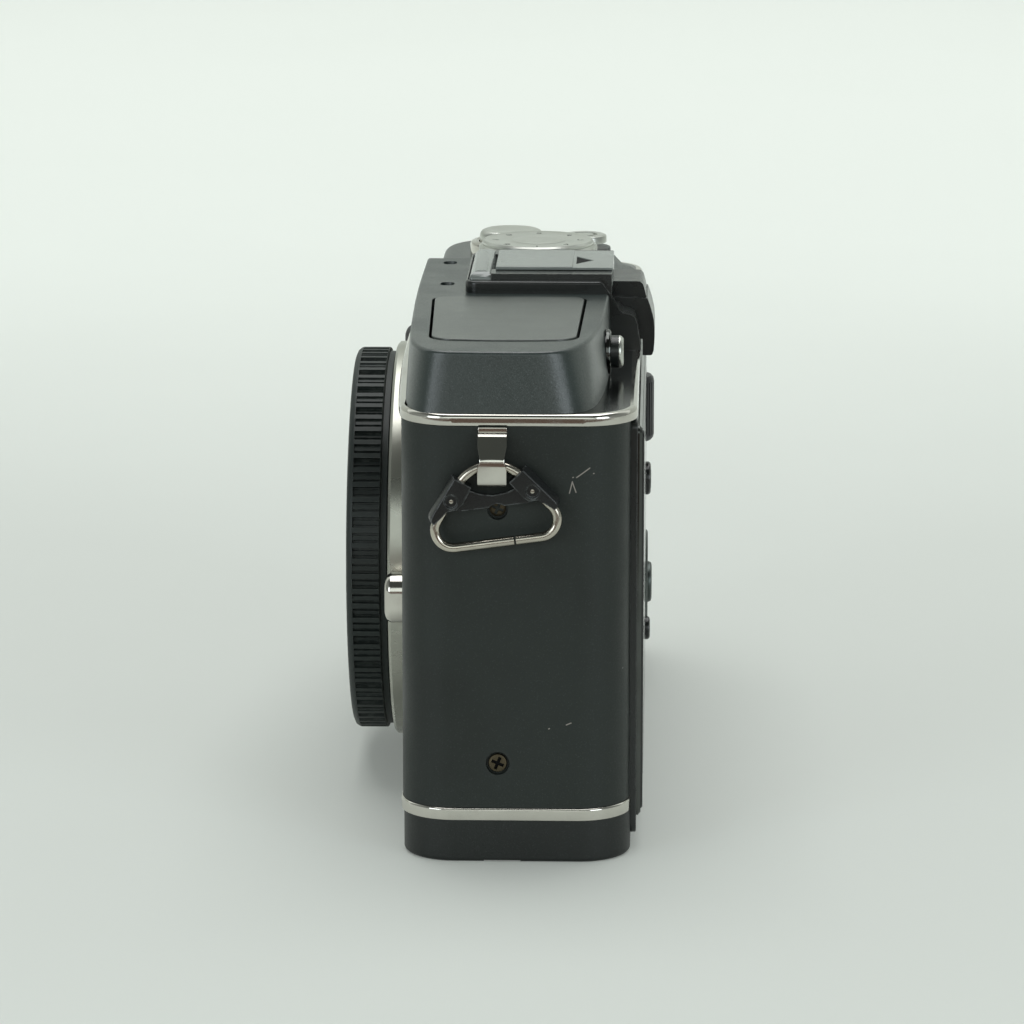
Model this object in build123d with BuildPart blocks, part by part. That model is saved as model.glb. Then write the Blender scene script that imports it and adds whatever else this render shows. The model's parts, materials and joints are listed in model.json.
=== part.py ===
from build123d import *
import math
import os

# Mirrorless camera body with a cap on its lens mount.
# X runs along the body, with +X at the end that carries the flash and Y rearwards.
# The origin is the mouth of the tripod socket, straight below the lens axis.
os.makedirs("parts", exist_ok=True)

# Body
lens_to_end = 57.5
body_depth = 30.3
corner_radius = 7.0
base_height = 5.6
base_inset = 0.45
base_edge = 1.2
base_floor = 2.0
relief_from_door = 8.0
relief_y = (-4.3, 0.4)
relief_depth = 0.35
base_wall = 1.6
trim_height = 1.6
trim_proud = 0.2
lower_trim_width = 1.6
upper_trim_width = 1.0
upper_ledge_width = 3.0
upper_ledge_height = 0.8
shell_height = 49.7
shell_wall = 1.2
rear_step = 0.95
rear_cover_wall = 1.8
rear_cover_margin = 7.1

# Fits
running_fit = 0.08
gap = 0.1
wide_gap = 0.25
seat_gap = 0.3

# Lens mount and body cap
lens_z = 30.0
flange_stand = 3.25
flange_focal = 19.25
mount_radius = 27.1
mount_bore_radius = 20.6
mount_tab_radius = 19.2
mount_tab_depth = 1.0
mount_tab_angle = 50.0
mount_tab_count = 3
mount_screw_circle = 23.9
lock_pin_radius = 0.95
lock_pin_stand = 1.2
release_width = 5.0
release_height = 6.1
release_head = 2.8
release_offset = 32.5
release_drop = 1.45
release_travel = 1.5
cap_radius = 27.0
cap_thickness = 5.6
cap_wall = 1.5
cap_land_height = 0.9
cap_band_height = 0.8
cap_rib_count = 80
cap_groove_width = 0.8
cap_groove_depth = 0.4
cap_sleeve_radius = 18.9
cap_sleeve_length = 3.7
cap_sleeve_wall = 1.4
cap_lug_length = 1.2

# Exposure stack
aperture_width = 19.0
aperture_height = 14.0
shutter_width = 35.0
shutter_thickness = 3.6
shutter_bottom = 7.6
shutter_top = 43.0
shutter_sensor_gap = 1.6
blade_thickness = 0.6
sensor_width = 17.3
sensor_height = 13.0
sensor_depth = 1.05
package_width = 26.0
package_height = 21.0
package_thickness = 3.0
filter_width = 21.0
filter_height = 16.5
filter_thickness = 1.2
chassis_thickness = 1.5
light_box_width = 29.0
light_box_height = 25.0
light_box_wall = 1.0
contact_count = 9
contact_radius = 0.45
contact_circle = 15.6
board_thickness = 1.2
board_chips = ((28.0, 40.0, 12.0), (40.0, 22.0, 9.0), (8.0, 16.0, 8.0), (-10.0, 44.0, 7.0))
chip_thickness = 1.2
capacitor_radius = 4.5
capacitor_length = 28.0
capacitor_spot = (44.0, 26.0)

# Battery, card and their door
battery_width = 34.2
battery_depth = 12.6
battery_height = 52.0
battery_clear = 0.3
battery_space_front = 2.35
battery_space_near = 1.3
card_width = 24.0
card_depth = 2.1
card_height = 32.0
card_space = 2.2
box_wall = 0.8
door_end_margin = 1.6
door_front_margin = 1.0
door_rear_margin = 1.9
door_thickness = 1.6
door_recess = 0.15
latch_length = 6.0
latch_width = 3.0
latch_travel = 0.7
hinge_pin_radius = 0.5

# Tripod socket
tripod_radius = 3.175
tripod_depth = 5.0
tripod_insert_radius = 6.0
tripod_flange_radius = 7.5

# Top cover
deck_inset = 1.05
deck_thickness = 0.8
top_wall = 1.3
block_top = 66.2
block_far_x = -18.0
block_near_inset = 0.5
block_front_inset = 0.6
block_rear_y = 10.9
block_taper = 3.0
block_front_radius = 7.0
block_rear_radius = 9.0
block_rim = 0.5
shoulder_top = 62.0
shoulder_inset = 0.95
shoulder_radius = 9.0
shoulder_rim = 1.5
mic_length = 2.8
mic_width = 1.9
mic_depth = 1.0

# Hot shoe
shoe_outer_width = 20.4
shoe_inner_width = 18.7
shoe_slot_width = 12.8
shoe_floor_z = 65.3
shoe_floor_thickness = 1.0
shoe_lip_z = 67.45
shoe_top_z = 68.6
shoe_front_y = -4.6
shoe_rear_y = 11.3
shoe_stop = 1.0
shoe_bar_depth = 3.4
shoe_bar_top = 68.9
shoe_cover_top = 69.1
shoe_cover_foot = 0.55
shoe_cover_travel = 18.0
arrow_half = 1.7
arrow_y = (4.2, 8.0)
plinth_height = 1.6
plinth_near_margin = 1.8
plinth_far_margin = 3.3
plinth_lip = 0.4
fairing_step_y = 12.6
fairing_ledge_y = 14.1
fairing_ledge_z = 63.6
fairing_edge_z = 61.7
port_cover_width = 11.6
port_cover_top = 66.5
port_cover_bottom = 56.8
port_cover_rear = 17.1
port_tongue_width = 8.4
port_tongue_height = 1.8
port_tongue_length = 4.8
port_z = 61.1

# Pop-up flash
lid_far_x = 15.6
lid_near_x = 46.9
lid_bow = 1.5
lid_gap = 0.45
lid_front_y = -11.9
lid_rear_y = 8.1
lid_thickness = 1.2
lid_far_radius = 2.0
lid_near_radius = 4.0
head_far_x = 18.2
head_near_x = 44.0
head_front_y = -11.3
head_rear_y = 4.0
head_bottom = 59.2
window_thickness = 0.5
arm_thickness = 1.2
arm_width = 4.0
arm_pivot_y = 3.5
arm_pivot_z = 61.2
arm_length = 11.5
arm_pin_radius = 0.8
flash_button_x = 30.0
flash_button_z = 61.6
flash_button_radius = 2.15
flash_button_stand = 2.4
flash_bezel_radius = 2.95
flash_bezel_height = 1.1

# Top controls
dial_from_battery = 14.5
dial_y = 0.4
dial_radius = 8.4
dial_height = 4.6
dial_cap = 0.6
dial_groove_count = 40
dial_groove = 0.55
spindle_radius = 2.0
shutter_from_end = 18.5
shutter_y = -4.0
shutter_collar_radius = 6.0
shutter_collar_height = 2.4
shutter_button_radius = 4.6
shutter_button_height = 4.0
shutter_button_travel = 1.2
power_from_end = (9.0, 6.5)
power_radius = 3.4
function_from_end = (22.0, 7.8)
function_radius = 2.4
top_button_height = 1.1
small_travel = 0.6

# Display and rear controls
display_near_x = 50.5
display_far_x = -24.0
display_bottom = 3.0
display_top = 56.6
display_frame_depth = 1.5
display_glass_depth = 0.45
display_glass_inset = 0.9
display_window_inset = 3.0
wheel_from_battery = (0.5, 14.5)
wheel_radius = 7.8
wheel_dish = 0.5
wheel_height = 1.7
wheel_hub_radius = 4.6
ok_radius = 3.0
ok_stand = 2.6
roller_from_battery = 8.5
roller_z = 42.2
roller_length = 9.4
roller_radius = 3.8
roller_y = 13.2
roller_groove_count = 24
menu_from_battery = (10.0, 32.0)
menu_radius = 2.4
info_from_end = (10.5, 27.2)
play_from_battery = (10.5, 9.9)
delete_from_end = (11.0, 10.4)
magnify_from_battery = (10.0, 52.3)
small_button_radius = 1.7
rear_button_stand = 2.4
button_flange = 0.7
button_flange_thickness = 1.0
thumb_width = 13.0
thumb_height = 9.2
thumb_stand = 1.9
thumb_from_end = (14.5, 38.9)

# Front furniture
grip_width = 14.0
grip_from_end = 14.3
grip_bottom = 10.0
grip_top = 50.5
grip_stand = 4.9
lamp_from_battery = (9.5, 50.0)
lamp_radius = 2.0

# Strap lugs, rings and guards at the two ends
lug_width = 4.0
lug_y = -3.1
lug_reach = 3.5
lug_strip = 0.8
lug_top = 56.2
lug_knee = 52.9
lug_bottom = 49.7
ring_stand = 1.9
ring_apex_y = -3.63
ring_apex_z = 52.28
ring_base = 20.2
ring_height = 13.2
ring_wire = 1.25
ring_top_radius = 5.0
ring_corner_radius = 2.3
ring_tilt = 7.7
ring_split = 0.25
ring_split_offset = 2.1
guard_front = 1.2
guard_back = 1.0
guard_strip = 1.0
guard_start = 5.8
guard_tip = 13.0
guard_half = 1.45
guard_flank = 0.55
guard_waist = 9.5
guard_pin_at = 8.75
guard_notch_radius = 1.45

# Side panel with the connectors
side_door_depth = 12.6
side_door_bottom = 19.0
side_door_top = 40.0
side_pin_radius = 0.3
socket_depth = 2.2
socket_block_depth = 2.9

# Screws
side_screw_radius = 1.4
side_screw_y = -2.5
side_screw_heights = (13.1, 46.2)
screw_shank_radius = 0.8
mount_screw_radius = 1.6
screw_head = 0.9
side_screw_head = 0.6
side_screw_length = 2.4
base_screw_spots = ((50.0, -10.0), (50.0, 8.5), (14.0, -10.0), (14.0, 8.5))

# Planes and faces that follow from the sizes above
throat_radius = mount_bore_radius + 0.4
light_ring_radius = throat_radius + 1.0
end_wall = trim_proud + shell_wall
socket_bay = end_wall + 0.2 + socket_block_depth + seat_gap
battery_bay = battery_width + 2 * (battery_clear + box_wall)
body_width = lens_to_end + light_ring_radius + battery_space_near + battery_bay + socket_bay
near_x = lens_to_end
far_x = lens_to_end - body_width
mid_x = (near_x + far_x) / 2
front_y = -body_depth / 2
rear_y = body_depth / 2
cover_y = rear_y - rear_step
shell_z = base_height + trim_height
upper_trim_z = shell_z + shell_height
deck_z = upper_trim_z + trim_height
shell_front_y = front_y + trim_proud
shell_near_x = near_x - trim_proud
shell_far_x = far_x + trim_proud
inner_front_y = shell_front_y + shell_wall
inner_rear_y = cover_y - rear_cover_wall
inner_far_x = shell_far_x + shell_wall
flange_y = shell_front_y - flange_stand
chassis_back_y = inner_front_y + chassis_thickness
sensor_y = flange_y + flange_focal
package_y = sensor_y - sensor_depth
board_y = package_y + package_thickness
shutter_rear_y = package_y - shutter_sensor_gap
shutter_front_y = shutter_rear_y - shutter_thickness
ring_x = shell_near_x + ring_stand
shoulder_roof = shoulder_top - top_wall
side_block_x = inner_far_x + 0.2
battery_x = far_x + socket_bay + battery_bay / 2
battery_y = inner_front_y + battery_space_front + battery_depth / 2
card_y = battery_y + battery_depth / 2 + card_space + card_depth / 2
door_width = battery_width + 2 * door_end_margin
door_depth = door_front_margin + battery_depth + card_space + card_depth + door_rear_margin
door_y = battery_y - battery_depth / 2 - door_front_margin + door_depth / 2
plinth_near_x = shoe_outer_width / 2 + plinth_near_margin
plinth_far_x = -shoe_outer_width / 2 - plinth_far_margin
dial_x = battery_x + dial_from_battery
shutter_x = far_x + shutter_from_end
roller_x = battery_x + roller_from_battery
grip_x = far_x + grip_from_end


def beside(x, spot):
    """Spot whose first number is counted from x."""
    return (x + spot[0], spot[1])


power_spot = beside(far_x, power_from_end)
function_spot = beside(far_x, function_from_end)
info_spot = beside(far_x, info_from_end)
delete_spot = beside(far_x, delete_from_end)
thumb_spot = beside(far_x, thumb_from_end)
wheel_spot = beside(battery_x, wheel_from_battery)
menu_spot = beside(battery_x, menu_from_battery)
play_spot = beside(battery_x, play_from_battery)
magnify_spot = beside(battery_x, magnify_from_battery)
lamp_spot = beside(battery_x, lamp_from_battery)


def upright(y):
    """Plane across the camera at depth y: local x is X and local y is height."""
    return Plane.XZ.offset(-y)


def body_outline(inset, rear):
    """Plan of the body, drawn in from its widest outline, up to the given rear face."""
    depth = rear - front_y - inset
    with BuildSketch() as plan:
        with Locations((mid_x, rear - depth / 2)):
            RectangleRounded(body_width - 2 * inset, depth, corner_radius - inset)
    return plan.sketch


def box_between(low, high, mode=Mode.ADD):
    """Block between two opposite corners."""
    size = [b - a for a, b in zip(low, high)]
    middle = [(a + b) / 2 for a, b in zip(low, high)]
    with Locations(tuple(middle)):
        return Box(*size, mode=mode)


def lid_outline(grow):
    """Plan of the flash lid, with its outer end bowed and its corners rounded."""
    with BuildSketch() as plan:
        with BuildLine():
            Polyline(
                (lid_near_x + grow, lid_front_y - grow),
                (lid_far_x - grow, lid_front_y - grow),
                (lid_far_x - grow, lid_rear_y + grow),
                (lid_near_x + grow, lid_rear_y + grow),
            )
            ThreePointArc(
                (lid_near_x + grow, lid_rear_y + grow),
                (lid_near_x + lid_bow + grow, (lid_front_y + lid_rear_y) / 2),
                (lid_near_x + grow, lid_front_y - grow),
            )
        make_face()
        corners = plan.vertices().sort_by(Axis.X)
        fillet(corners[:2], lid_far_radius + grow)
        fillet(corners[-2:], lid_near_radius + grow)
    return plan.sketch


def block_outline(inset):
    """Plan of the raised flash block at deck level, drawn in by inset."""
    low_x = block_far_x + inset
    high_x = near_x - block_near_inset - inset
    low_y = front_y + block_front_inset + inset
    high_y = block_rear_y - inset
    with BuildSketch() as plan:
        with Locations(((low_x + high_x) / 2, (low_y + high_y) / 2)):
            Rectangle(high_x - low_x, high_y - low_y)
        near_corners = plan.vertices().group_by(Axis.X)[-1].sort_by(Axis.Y)
        fillet(near_corners[:1], block_front_radius - inset)
        near_corners = plan.vertices().group_by(Axis.Y)[-1].sort_by(Axis.X)
        fillet(near_corners[-1:], block_rear_radius - inset)
    return plan.sketch


# Body shell: one wrap of sheet round the front, both ends and the rear corners
rear_open_far = far_x + rear_cover_margin
rear_open_near = near_x - rear_cover_margin
side_door_y = (-side_door_depth / 2, side_door_depth / 2)
with BuildPart() as body_shell:
    with BuildSketch(Plane.XY.offset(shell_z)):
        add(body_outline(trim_proud, cover_y))
        add(body_outline(trim_proud + shell_wall, cover_y - shell_wall), mode=Mode.SUBTRACT)
    extrude(amount=shell_height)
    box_between(
        (rear_open_far, inner_rear_y, shell_z),
        (rear_open_near, cover_y + gap, upper_trim_z),
        mode=Mode.SUBTRACT,
    )
    with BuildSketch(upright(shell_front_y)):
        with Locations((0, lens_z)):
            Circle(throat_radius)
        with Locations((0, lens_z)):
            with PolarLocations(mount_screw_circle, 4, start_angle=45):
                Circle(screw_shank_radius + gap)
        with Locations((mount_screw_circle, lens_z)):
            Circle(lock_pin_radius + gap)
        with Locations((release_offset, lens_z - release_drop)):
            RectangleRounded(release_width + 2 * gap, release_height + 2 * gap, 1.5 + gap)
        with Locations(lamp_spot):
            Circle(lamp_radius + gap)
    extrude(amount=-shell_wall, mode=Mode.SUBTRACT)
    box_between(
        (shell_far_x - gap, side_door_y[0], side_door_bottom),
        (inner_far_x + gap, side_door_y[1], side_door_top),
        mode=Mode.SUBTRACT,
    )
    # hinge pin seats above and below the side door
    side_pin_x = shell_far_x + shell_wall / 2
    side_pin_y = side_door_y[0] + gap + shell_wall / 2
    with Locations((side_pin_x, side_pin_y, (side_door_bottom + side_door_top) / 2)):
        Cylinder(side_pin_radius + 0.03, side_door_top - side_door_bottom + 2.2, mode=Mode.SUBTRACT)
    for end_x, way in ((shell_near_x, -1), (shell_far_x, 1)):
        for height in side_screw_heights:
            with BuildSketch(Plane.YZ.offset(end_x)):
                with Locations((side_screw_y, height)):
                    Circle(side_screw_radius + gap)
            extrude(amount=way * 0.7, mode=Mode.SUBTRACT)
            with BuildSketch(Plane.YZ.offset(end_x)):
                with Locations((side_screw_y, height)):
                    Circle(screw_shank_radius + gap)
            extrude(amount=way * shell_wall, mode=Mode.SUBTRACT)
body_shell.part.label = "body_shell"
export_step(body_shell.part, "parts/body_shell.step")

# Rear cover: a moulded plate with a hole for every control
rear_buttons = {
    "menu": (menu_spot, menu_radius),
    "info": (info_spot, small_button_radius),
    "play": (play_spot, small_button_radius),
    "delete": (delete_spot, small_button_radius),
    "magnify": (magnify_spot, small_button_radius),
}
with BuildPart() as rear_cover:
    box_between(
        (rear_open_far, inner_rear_y, shell_z),
        (rear_open_near, cover_y, upper_trim_z),
    )
    with BuildSketch(upright(cover_y)):
        for spot, radius in rear_buttons.values():
            with Locations(spot):
                Circle(radius + gap)
        with Locations(wheel_spot):
            Circle(wheel_hub_radius + running_fit)
        with Locations((roller_x, roller_z)):
            Rectangle(2 * roller_radius + 0.4, roller_length + 0.4)
    extrude(amount=rear_cover_wall, mode=Mode.SUBTRACT)
    with Locations((roller_x, roller_y, roller_z)):
        Cylinder(0.5 + running_fit, roller_length + 2.6, mode=Mode.SUBTRACT)
rear_cover.part.label = "rear_cover"
export_step(rear_cover.part, "parts/rear_cover.step")

# Base plate: a tray with a frame round the battery door
door_far_x = battery_x - door_width / 2
door_near_x = battery_x + door_width / 2
door_front_y = door_y - door_depth / 2
door_rear_y = door_y + door_depth / 2
door_z = door_recess + door_thickness / 2
door_pin_x = door_near_x - gap - door_thickness / 2
latch_y = door_y
with BuildPart() as base_plate:
    with BuildSketch():
        add(body_outline(base_inset, cover_y - trim_proud))
    extrude(amount=base_height)
    fillet(base_plate.edges().group_by(Axis.Z)[0], base_edge)
    with BuildSketch(Plane.XY.offset(base_floor)):
        add(body_outline(base_inset + base_wall, cover_y - trim_proud - base_wall))
    extrude(amount=base_height, mode=Mode.SUBTRACT)
    box_between(
        (door_far_x - box_wall, door_front_y - box_wall, 0.5),
        (door_near_x + box_wall, door_rear_y + box_wall, base_height),
    )
    box_between(
        (door_far_x, door_front_y, -gap),
        (door_near_x, door_rear_y, base_height + gap),
        mode=Mode.SUBTRACT,
    )
    with Locations((door_pin_x, door_y, door_z)):
        Cylinder(
            hinge_pin_radius + 0.03, door_depth + 2 * box_wall, rotation=(90, 0, 0), mode=Mode.SUBTRACT
        )
    box_between(
        (door_far_x - box_wall, latch_y - latch_width / 2 - gap, door_recess + 0.3),
        (door_far_x + gap, latch_y + latch_width / 2 + gap, door_recess + door_thickness),
        mode=Mode.SUBTRACT,
    )
    with Locations((0, 0, base_floor / 2)):
        Cylinder(tripod_insert_radius + gap, base_floor + gap, mode=Mode.SUBTRACT)
    with Locations(*[(x, y, 0) for x, y in base_screw_spots]):
        Cylinder(mount_screw_radius + gap, 2.2, mode=Mode.SUBTRACT)
    with Locations(*[(x, y, base_floor / 2) for x, y in base_screw_spots]):
        Cylinder(screw_shank_radius + gap, base_floor + gap, mode=Mode.SUBTRACT)
    # shallow relief across the underside, between the feet of the tray
    box_between(
        (battery_x + door_width / 2 + relief_from_door, relief_y[0], -gap),
        (near_x + gap, relief_y[1], relief_depth),
        mode=Mode.SUBTRACT,
    )
base_plate.part.label = "base_plate"
export_step(base_plate.part, "parts/base_plate.step")


def clear_of_mount():
    """Shave a trim's front down to the shell's face where the mount ring crosses it."""
    with Locations((0, shell_front_y - 1, lens_z)):
        Cylinder(mount_radius + gap, 2, rotation=(90, 0, 0), mode=Mode.SUBTRACT)


# Chromed trims above and below the shell
with BuildPart() as lower_trim:
    with BuildSketch(Plane.XY.offset(base_height)):
        add(body_outline(0, cover_y))
        add(body_outline(lower_trim_width, cover_y - lower_trim_width), mode=Mode.SUBTRACT)
    extrude(amount=trim_height)
    clear_of_mount()
lower_trim.part.label = "lower_trim"
export_step(lower_trim.part, "parts/lower_trim.step")

with BuildPart() as upper_trim:
    with BuildSketch(Plane.XY.offset(upper_trim_z)):
        add(body_outline(0, rear_y))
        add(body_outline(upper_ledge_width, rear_y - upper_ledge_width), mode=Mode.SUBTRACT)
    extrude(amount=trim_height)
    with BuildSketch(Plane.XY.offset(upper_trim_z + upper_ledge_height)):
        add(body_outline(upper_trim_width, rear_y - upper_trim_width))
    extrude(amount=trim_height, mode=Mode.SUBTRACT)
    clear_of_mount()
upper_trim.part.label = "upper_trim"
export_step(upper_trim.part, "parts/upper_trim.step")

# Top cover: a flange on the trim's ledge, the low shoulder and the raised block
flange_z = upper_trim_z + upper_ledge_height
block_wall_y = block_rear_y - top_wall - 0.3
pocket_bottom = shoe_floor_z - shoe_floor_thickness
mic_spots = ((4.3, -11.1), (-13.6, -11.5))
top_stems = (
    (shutter_x, shutter_y, 1.5),
    (dial_x, dial_y, spindle_radius),
    (*power_spot, 1.5),
    (*function_spot, 1.2),
)
with BuildPart() as top_cover:
    shoulder_far = far_x + shoulder_inset
    with BuildSketch(Plane.XY.offset(deck_z)) as shoulder_plan:
        low = (shoulder_far, front_y + shoulder_inset)
        high = (block_far_x + 4, rear_y - deck_inset - 0.1)
        with Locations(((low[0] + high[0]) / 2, (low[1] + high[1]) / 2)):
            Rectangle(high[0] - low[0], high[1] - low[1])
        fillet(shoulder_plan.vertices().group_by(Axis.X)[0], shoulder_radius)
    extrude(amount=shoulder_top - deck_z)
    rim = top_cover.faces().sort_by(Axis.Z)[-1].edges().sort_by(Axis.X)[:-1]
    fillet(rim, shoulder_rim)
    with BuildSketch(Plane.XY.offset(deck_z)):
        add(block_outline(0))
    extrude(amount=block_top - deck_z, taper=block_taper)
    fillet(top_cover.faces().sort_by(Axis.Z)[-1].edges(), block_rim)
    with BuildSketch(Plane.XY.offset(flange_z)):
        add(body_outline(deck_inset, rear_y - deck_inset))
    extrude(amount=deck_thickness)
    # hollows that open downwards: shoulder, middle and flash bay
    with BuildSketch(Plane.XY.offset(flange_z - gap)) as shoulder_hollow:
        low = (shoulder_far + top_wall, front_y + shoulder_inset + top_wall)
        high = (block_far_x - top_wall, rear_y - deck_inset - top_wall)
        with Locations(((low[0] + high[0]) / 2, (low[1] + high[1]) / 2)):
            Rectangle(high[0] - low[0], high[1] - low[1])
        fillet(shoulder_hollow.vertices().group_by(Axis.X)[0], shoulder_radius - top_wall)
    extrude(amount=shoulder_roof - flange_z + gap, mode=Mode.SUBTRACT)
    box_between(
        (block_far_x + top_wall + 0.3, front_y + block_front_inset + top_wall + 0.3, flange_z - gap),
        (lid_far_x - 2.4, block_wall_y, pocket_bottom - top_wall),
        mode=Mode.SUBTRACT,
    )
    with BuildSketch(Plane.XY.offset(flange_z - gap)):
        add(block_outline(top_wall + 0.3))
        with Locations((lid_far_x - 2.4 - body_width / 2, 0)):
            Rectangle(body_width, body_width, mode=Mode.SUBTRACT)
    extrude(amount=block_top - top_wall - flange_z + gap, mode=Mode.SUBTRACT)
    with BuildSketch(Plane.XY.offset(block_top - 2 * top_wall)):
        add(lid_outline(lid_gap))
    extrude(amount=3 * top_wall, mode=Mode.SUBTRACT)
    # ears for the flash arms' pivot pins
    ear_near = lid_near_x + lid_bow + 0.5
    for ear_x in (lid_far_x - 1.6, ear_near):
        box_between(
            (ear_x, arm_pivot_y - 2, arm_pivot_z - 2),
            (ear_x + 1.2, arm_pivot_y + 2, block_top - top_wall / 2),
        )
    with Locations(((lid_far_x + ear_near) / 2, arm_pivot_y, arm_pivot_z)):
        Cylinder(
            arm_pin_radius + 0.03,
            ear_near - lid_far_x + 4,
            rotation=(0, 90, 0),
            mode=Mode.SUBTRACT,
        )
    # seat of the hot shoe and the way in to the accessory port
    box_between(
        (-shoe_outer_width / 2 - gap, shoe_front_y - gap, pocket_bottom),
        (shoe_outer_width / 2 + gap, block_rear_y + 1, block_top + gap),
        mode=Mode.SUBTRACT,
    )
    box_between(
        (-port_tongue_width / 2 - 0.2, block_wall_y - 1, port_z - port_tongue_height / 2 - 0.2),
        (port_tongue_width / 2 + 0.2, block_rear_y + 1, port_z + port_tongue_height / 2 + 0.2),
        mode=Mode.SUBTRACT,
    )
    with BuildSketch(Plane.XY.offset(block_top)):
        with Locations(*mic_spots):
            SlotOverall(mic_length, mic_width)
    extrude(amount=-mic_depth, mode=Mode.SUBTRACT)
    for x, y, radius in top_stems:
        with Locations((x, y, shoulder_top)):
            Cylinder(radius + running_fit, 4 * top_wall, mode=Mode.SUBTRACT)
    with Locations((flash_button_x, block_wall_y + 1, flash_button_z)):
        Cylinder(flash_button_radius + running_fit, 4, rotation=(90, 0, 0), mode=Mode.SUBTRACT)
top_cover.part.label = "top_cover"
export_step(top_cover.part, "parts/top_cover.step")

# Shoe plinth: black surround of the hot shoe that runs down the rear of the block
shoe_half = shoe_outer_width / 2
bar_front_y = shoe_front_y - shoe_bar_depth
plinth_top = block_top + plinth_height
fairing_y = block_rear_y + gap
with BuildPart() as shoe_plinth:
    plinth_mid = (plinth_near_x + plinth_far_x) / 2
    with BuildSketch(Plane.XY.offset(block_top)) as plinth_plan:
        low_y = bar_front_y - plinth_lip
        with Locations((plinth_mid, (low_y + fairing_y) / 2)):
            Rectangle(plinth_near_x - plinth_far_x, fairing_y - low_y)
        fillet(plinth_plan.vertices().group_by(Axis.Y)[0], 1.8)
    extrude(amount=plinth_height)
    with BuildSketch(Plane.YZ.offset(plinth_far_x)):
        with BuildLine():
            Polyline(
                (fairing_y, deck_z),
                (fairing_y, plinth_top),
                (fairing_step_y, fairing_ledge_z + 0.3),
                (fairing_ledge_y, fairing_ledge_z),
                (fairing_ledge_y + 0.7, fairing_edge_z),
                (rear_y, deck_z),
                close=True,
            )
        make_face()
    extrude(amount=plinth_near_x - plinth_far_x)
    box_between(
        (-shoe_half - gap, bar_front_y - gap, pocket_bottom - gap),
        (shoe_half + gap, rear_y + 1, plinth_top + gap),
        mode=Mode.SUBTRACT,
    )
    box_between(
        (-port_cover_width / 2 - 0.2, block_rear_y - 1, deck_z - gap),
        (port_cover_width / 2 + 0.2, rear_y + 1, plinth_top),
        mode=Mode.SUBTRACT,
    )
shoe_plinth.part.label = "shoe_plinth"
export_step(shoe_plinth.part, "parts/shoe_plinth.step")

# Hot shoe: a channel with inturned lips and a bar across its front
shoe_pin_spots = ((0, 3.0), (-4.3, 1.0), (4.3, 1.0), (-4.3, 6.4), (4.3, 6.4))
shoe_pin_radius = 0.9
with BuildPart() as hot_shoe:
    with BuildSketch(upright(shoe_rear_y)):
        with Locations((0, (pocket_bottom + shoe_top_z) / 2)):
            Rectangle(shoe_outer_width, shoe_top_z - pocket_bottom)
        with Locations((0, (shoe_floor_z + shoe_lip_z) / 2)):
            Rectangle(shoe_inner_width, shoe_lip_z - shoe_floor_z, mode=Mode.SUBTRACT)
        with Locations((0, (shoe_floor_z + shoe_top_z) / 2)):
            Rectangle(shoe_slot_width, shoe_top_z - shoe_floor_z, mode=Mode.SUBTRACT)
    extrude(amount=shoe_rear_y - shoe_front_y)
    box_between(
        (-shoe_inner_width / 2, shoe_front_y, shoe_floor_z),
        (shoe_inner_width / 2, shoe_front_y + shoe_stop, shoe_top_z),
    )
    box_between(
        (-shoe_half, bar_front_y, block_top),
        (shoe_half, shoe_front_y, shoe_bar_top),
    )
    bar_edges = hot_shoe.faces().sort_by(Axis.Z)[-1].edges()
    fillet(bar_edges, 0.25)
    with Locations(*[(x, y, shoe_floor_z) for x, y in shoe_pin_spots]):
        Cylinder(shoe_pin_radius + gap, 4 * shoe_floor_thickness, mode=Mode.SUBTRACT)
hot_shoe.part.label = "hot_shoe"
export_step(hot_shoe.part, "parts/hot_shoe.step")

# Shoe cover: a plastic slide with a raised middle and an arrow that shows the way out
cover_clear = 0.12
foot_top = shoe_lip_z - 0.05
foot_bottom = foot_top - shoe_cover_foot
cover_front_y = shoe_front_y + shoe_stop + gap
with BuildPart() as hot_shoe_cover:
    box_between(
        (-shoe_inner_width / 2 + cover_clear, cover_front_y, foot_bottom),
        (shoe_inner_width / 2 - cover_clear, shoe_rear_y + gap, foot_top),
    )
    box_between(
        (-shoe_slot_width / 2 + cover_clear, cover_front_y, foot_bottom),
        (shoe_slot_width / 2 - cover_clear, shoe_rear_y + gap, shoe_cover_top),
    )
    chamfer(hot_shoe_cover.faces().sort_by(Axis.Z)[-1].edges(), 0.2)
    for side in (-1, 1):
        outer = side * (shoe_inner_width / 2 - cover_clear)
        inner = side * (port_cover_width / 2 + 1.2)
        box_between(
            (min(outer, inner), cover_front_y, shoe_floor_z + 0.05),
            (max(outer, inner), shoe_rear_y, foot_bottom),
        )
    with BuildSketch(Plane.XY.offset(shoe_cover_top)):
        with BuildLine():
            Polyline((-arrow_half, arrow_y[0]), (arrow_half, arrow_y[0]), (0, arrow_y[1]), close=True)
        make_face()
    extrude(amount=-0.25, mode=Mode.SUBTRACT)
hot_shoe_cover.part.label = "hot_shoe_cover"
export_step(hot_shoe_cover.part, "parts/hot_shoe_cover.step")

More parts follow.
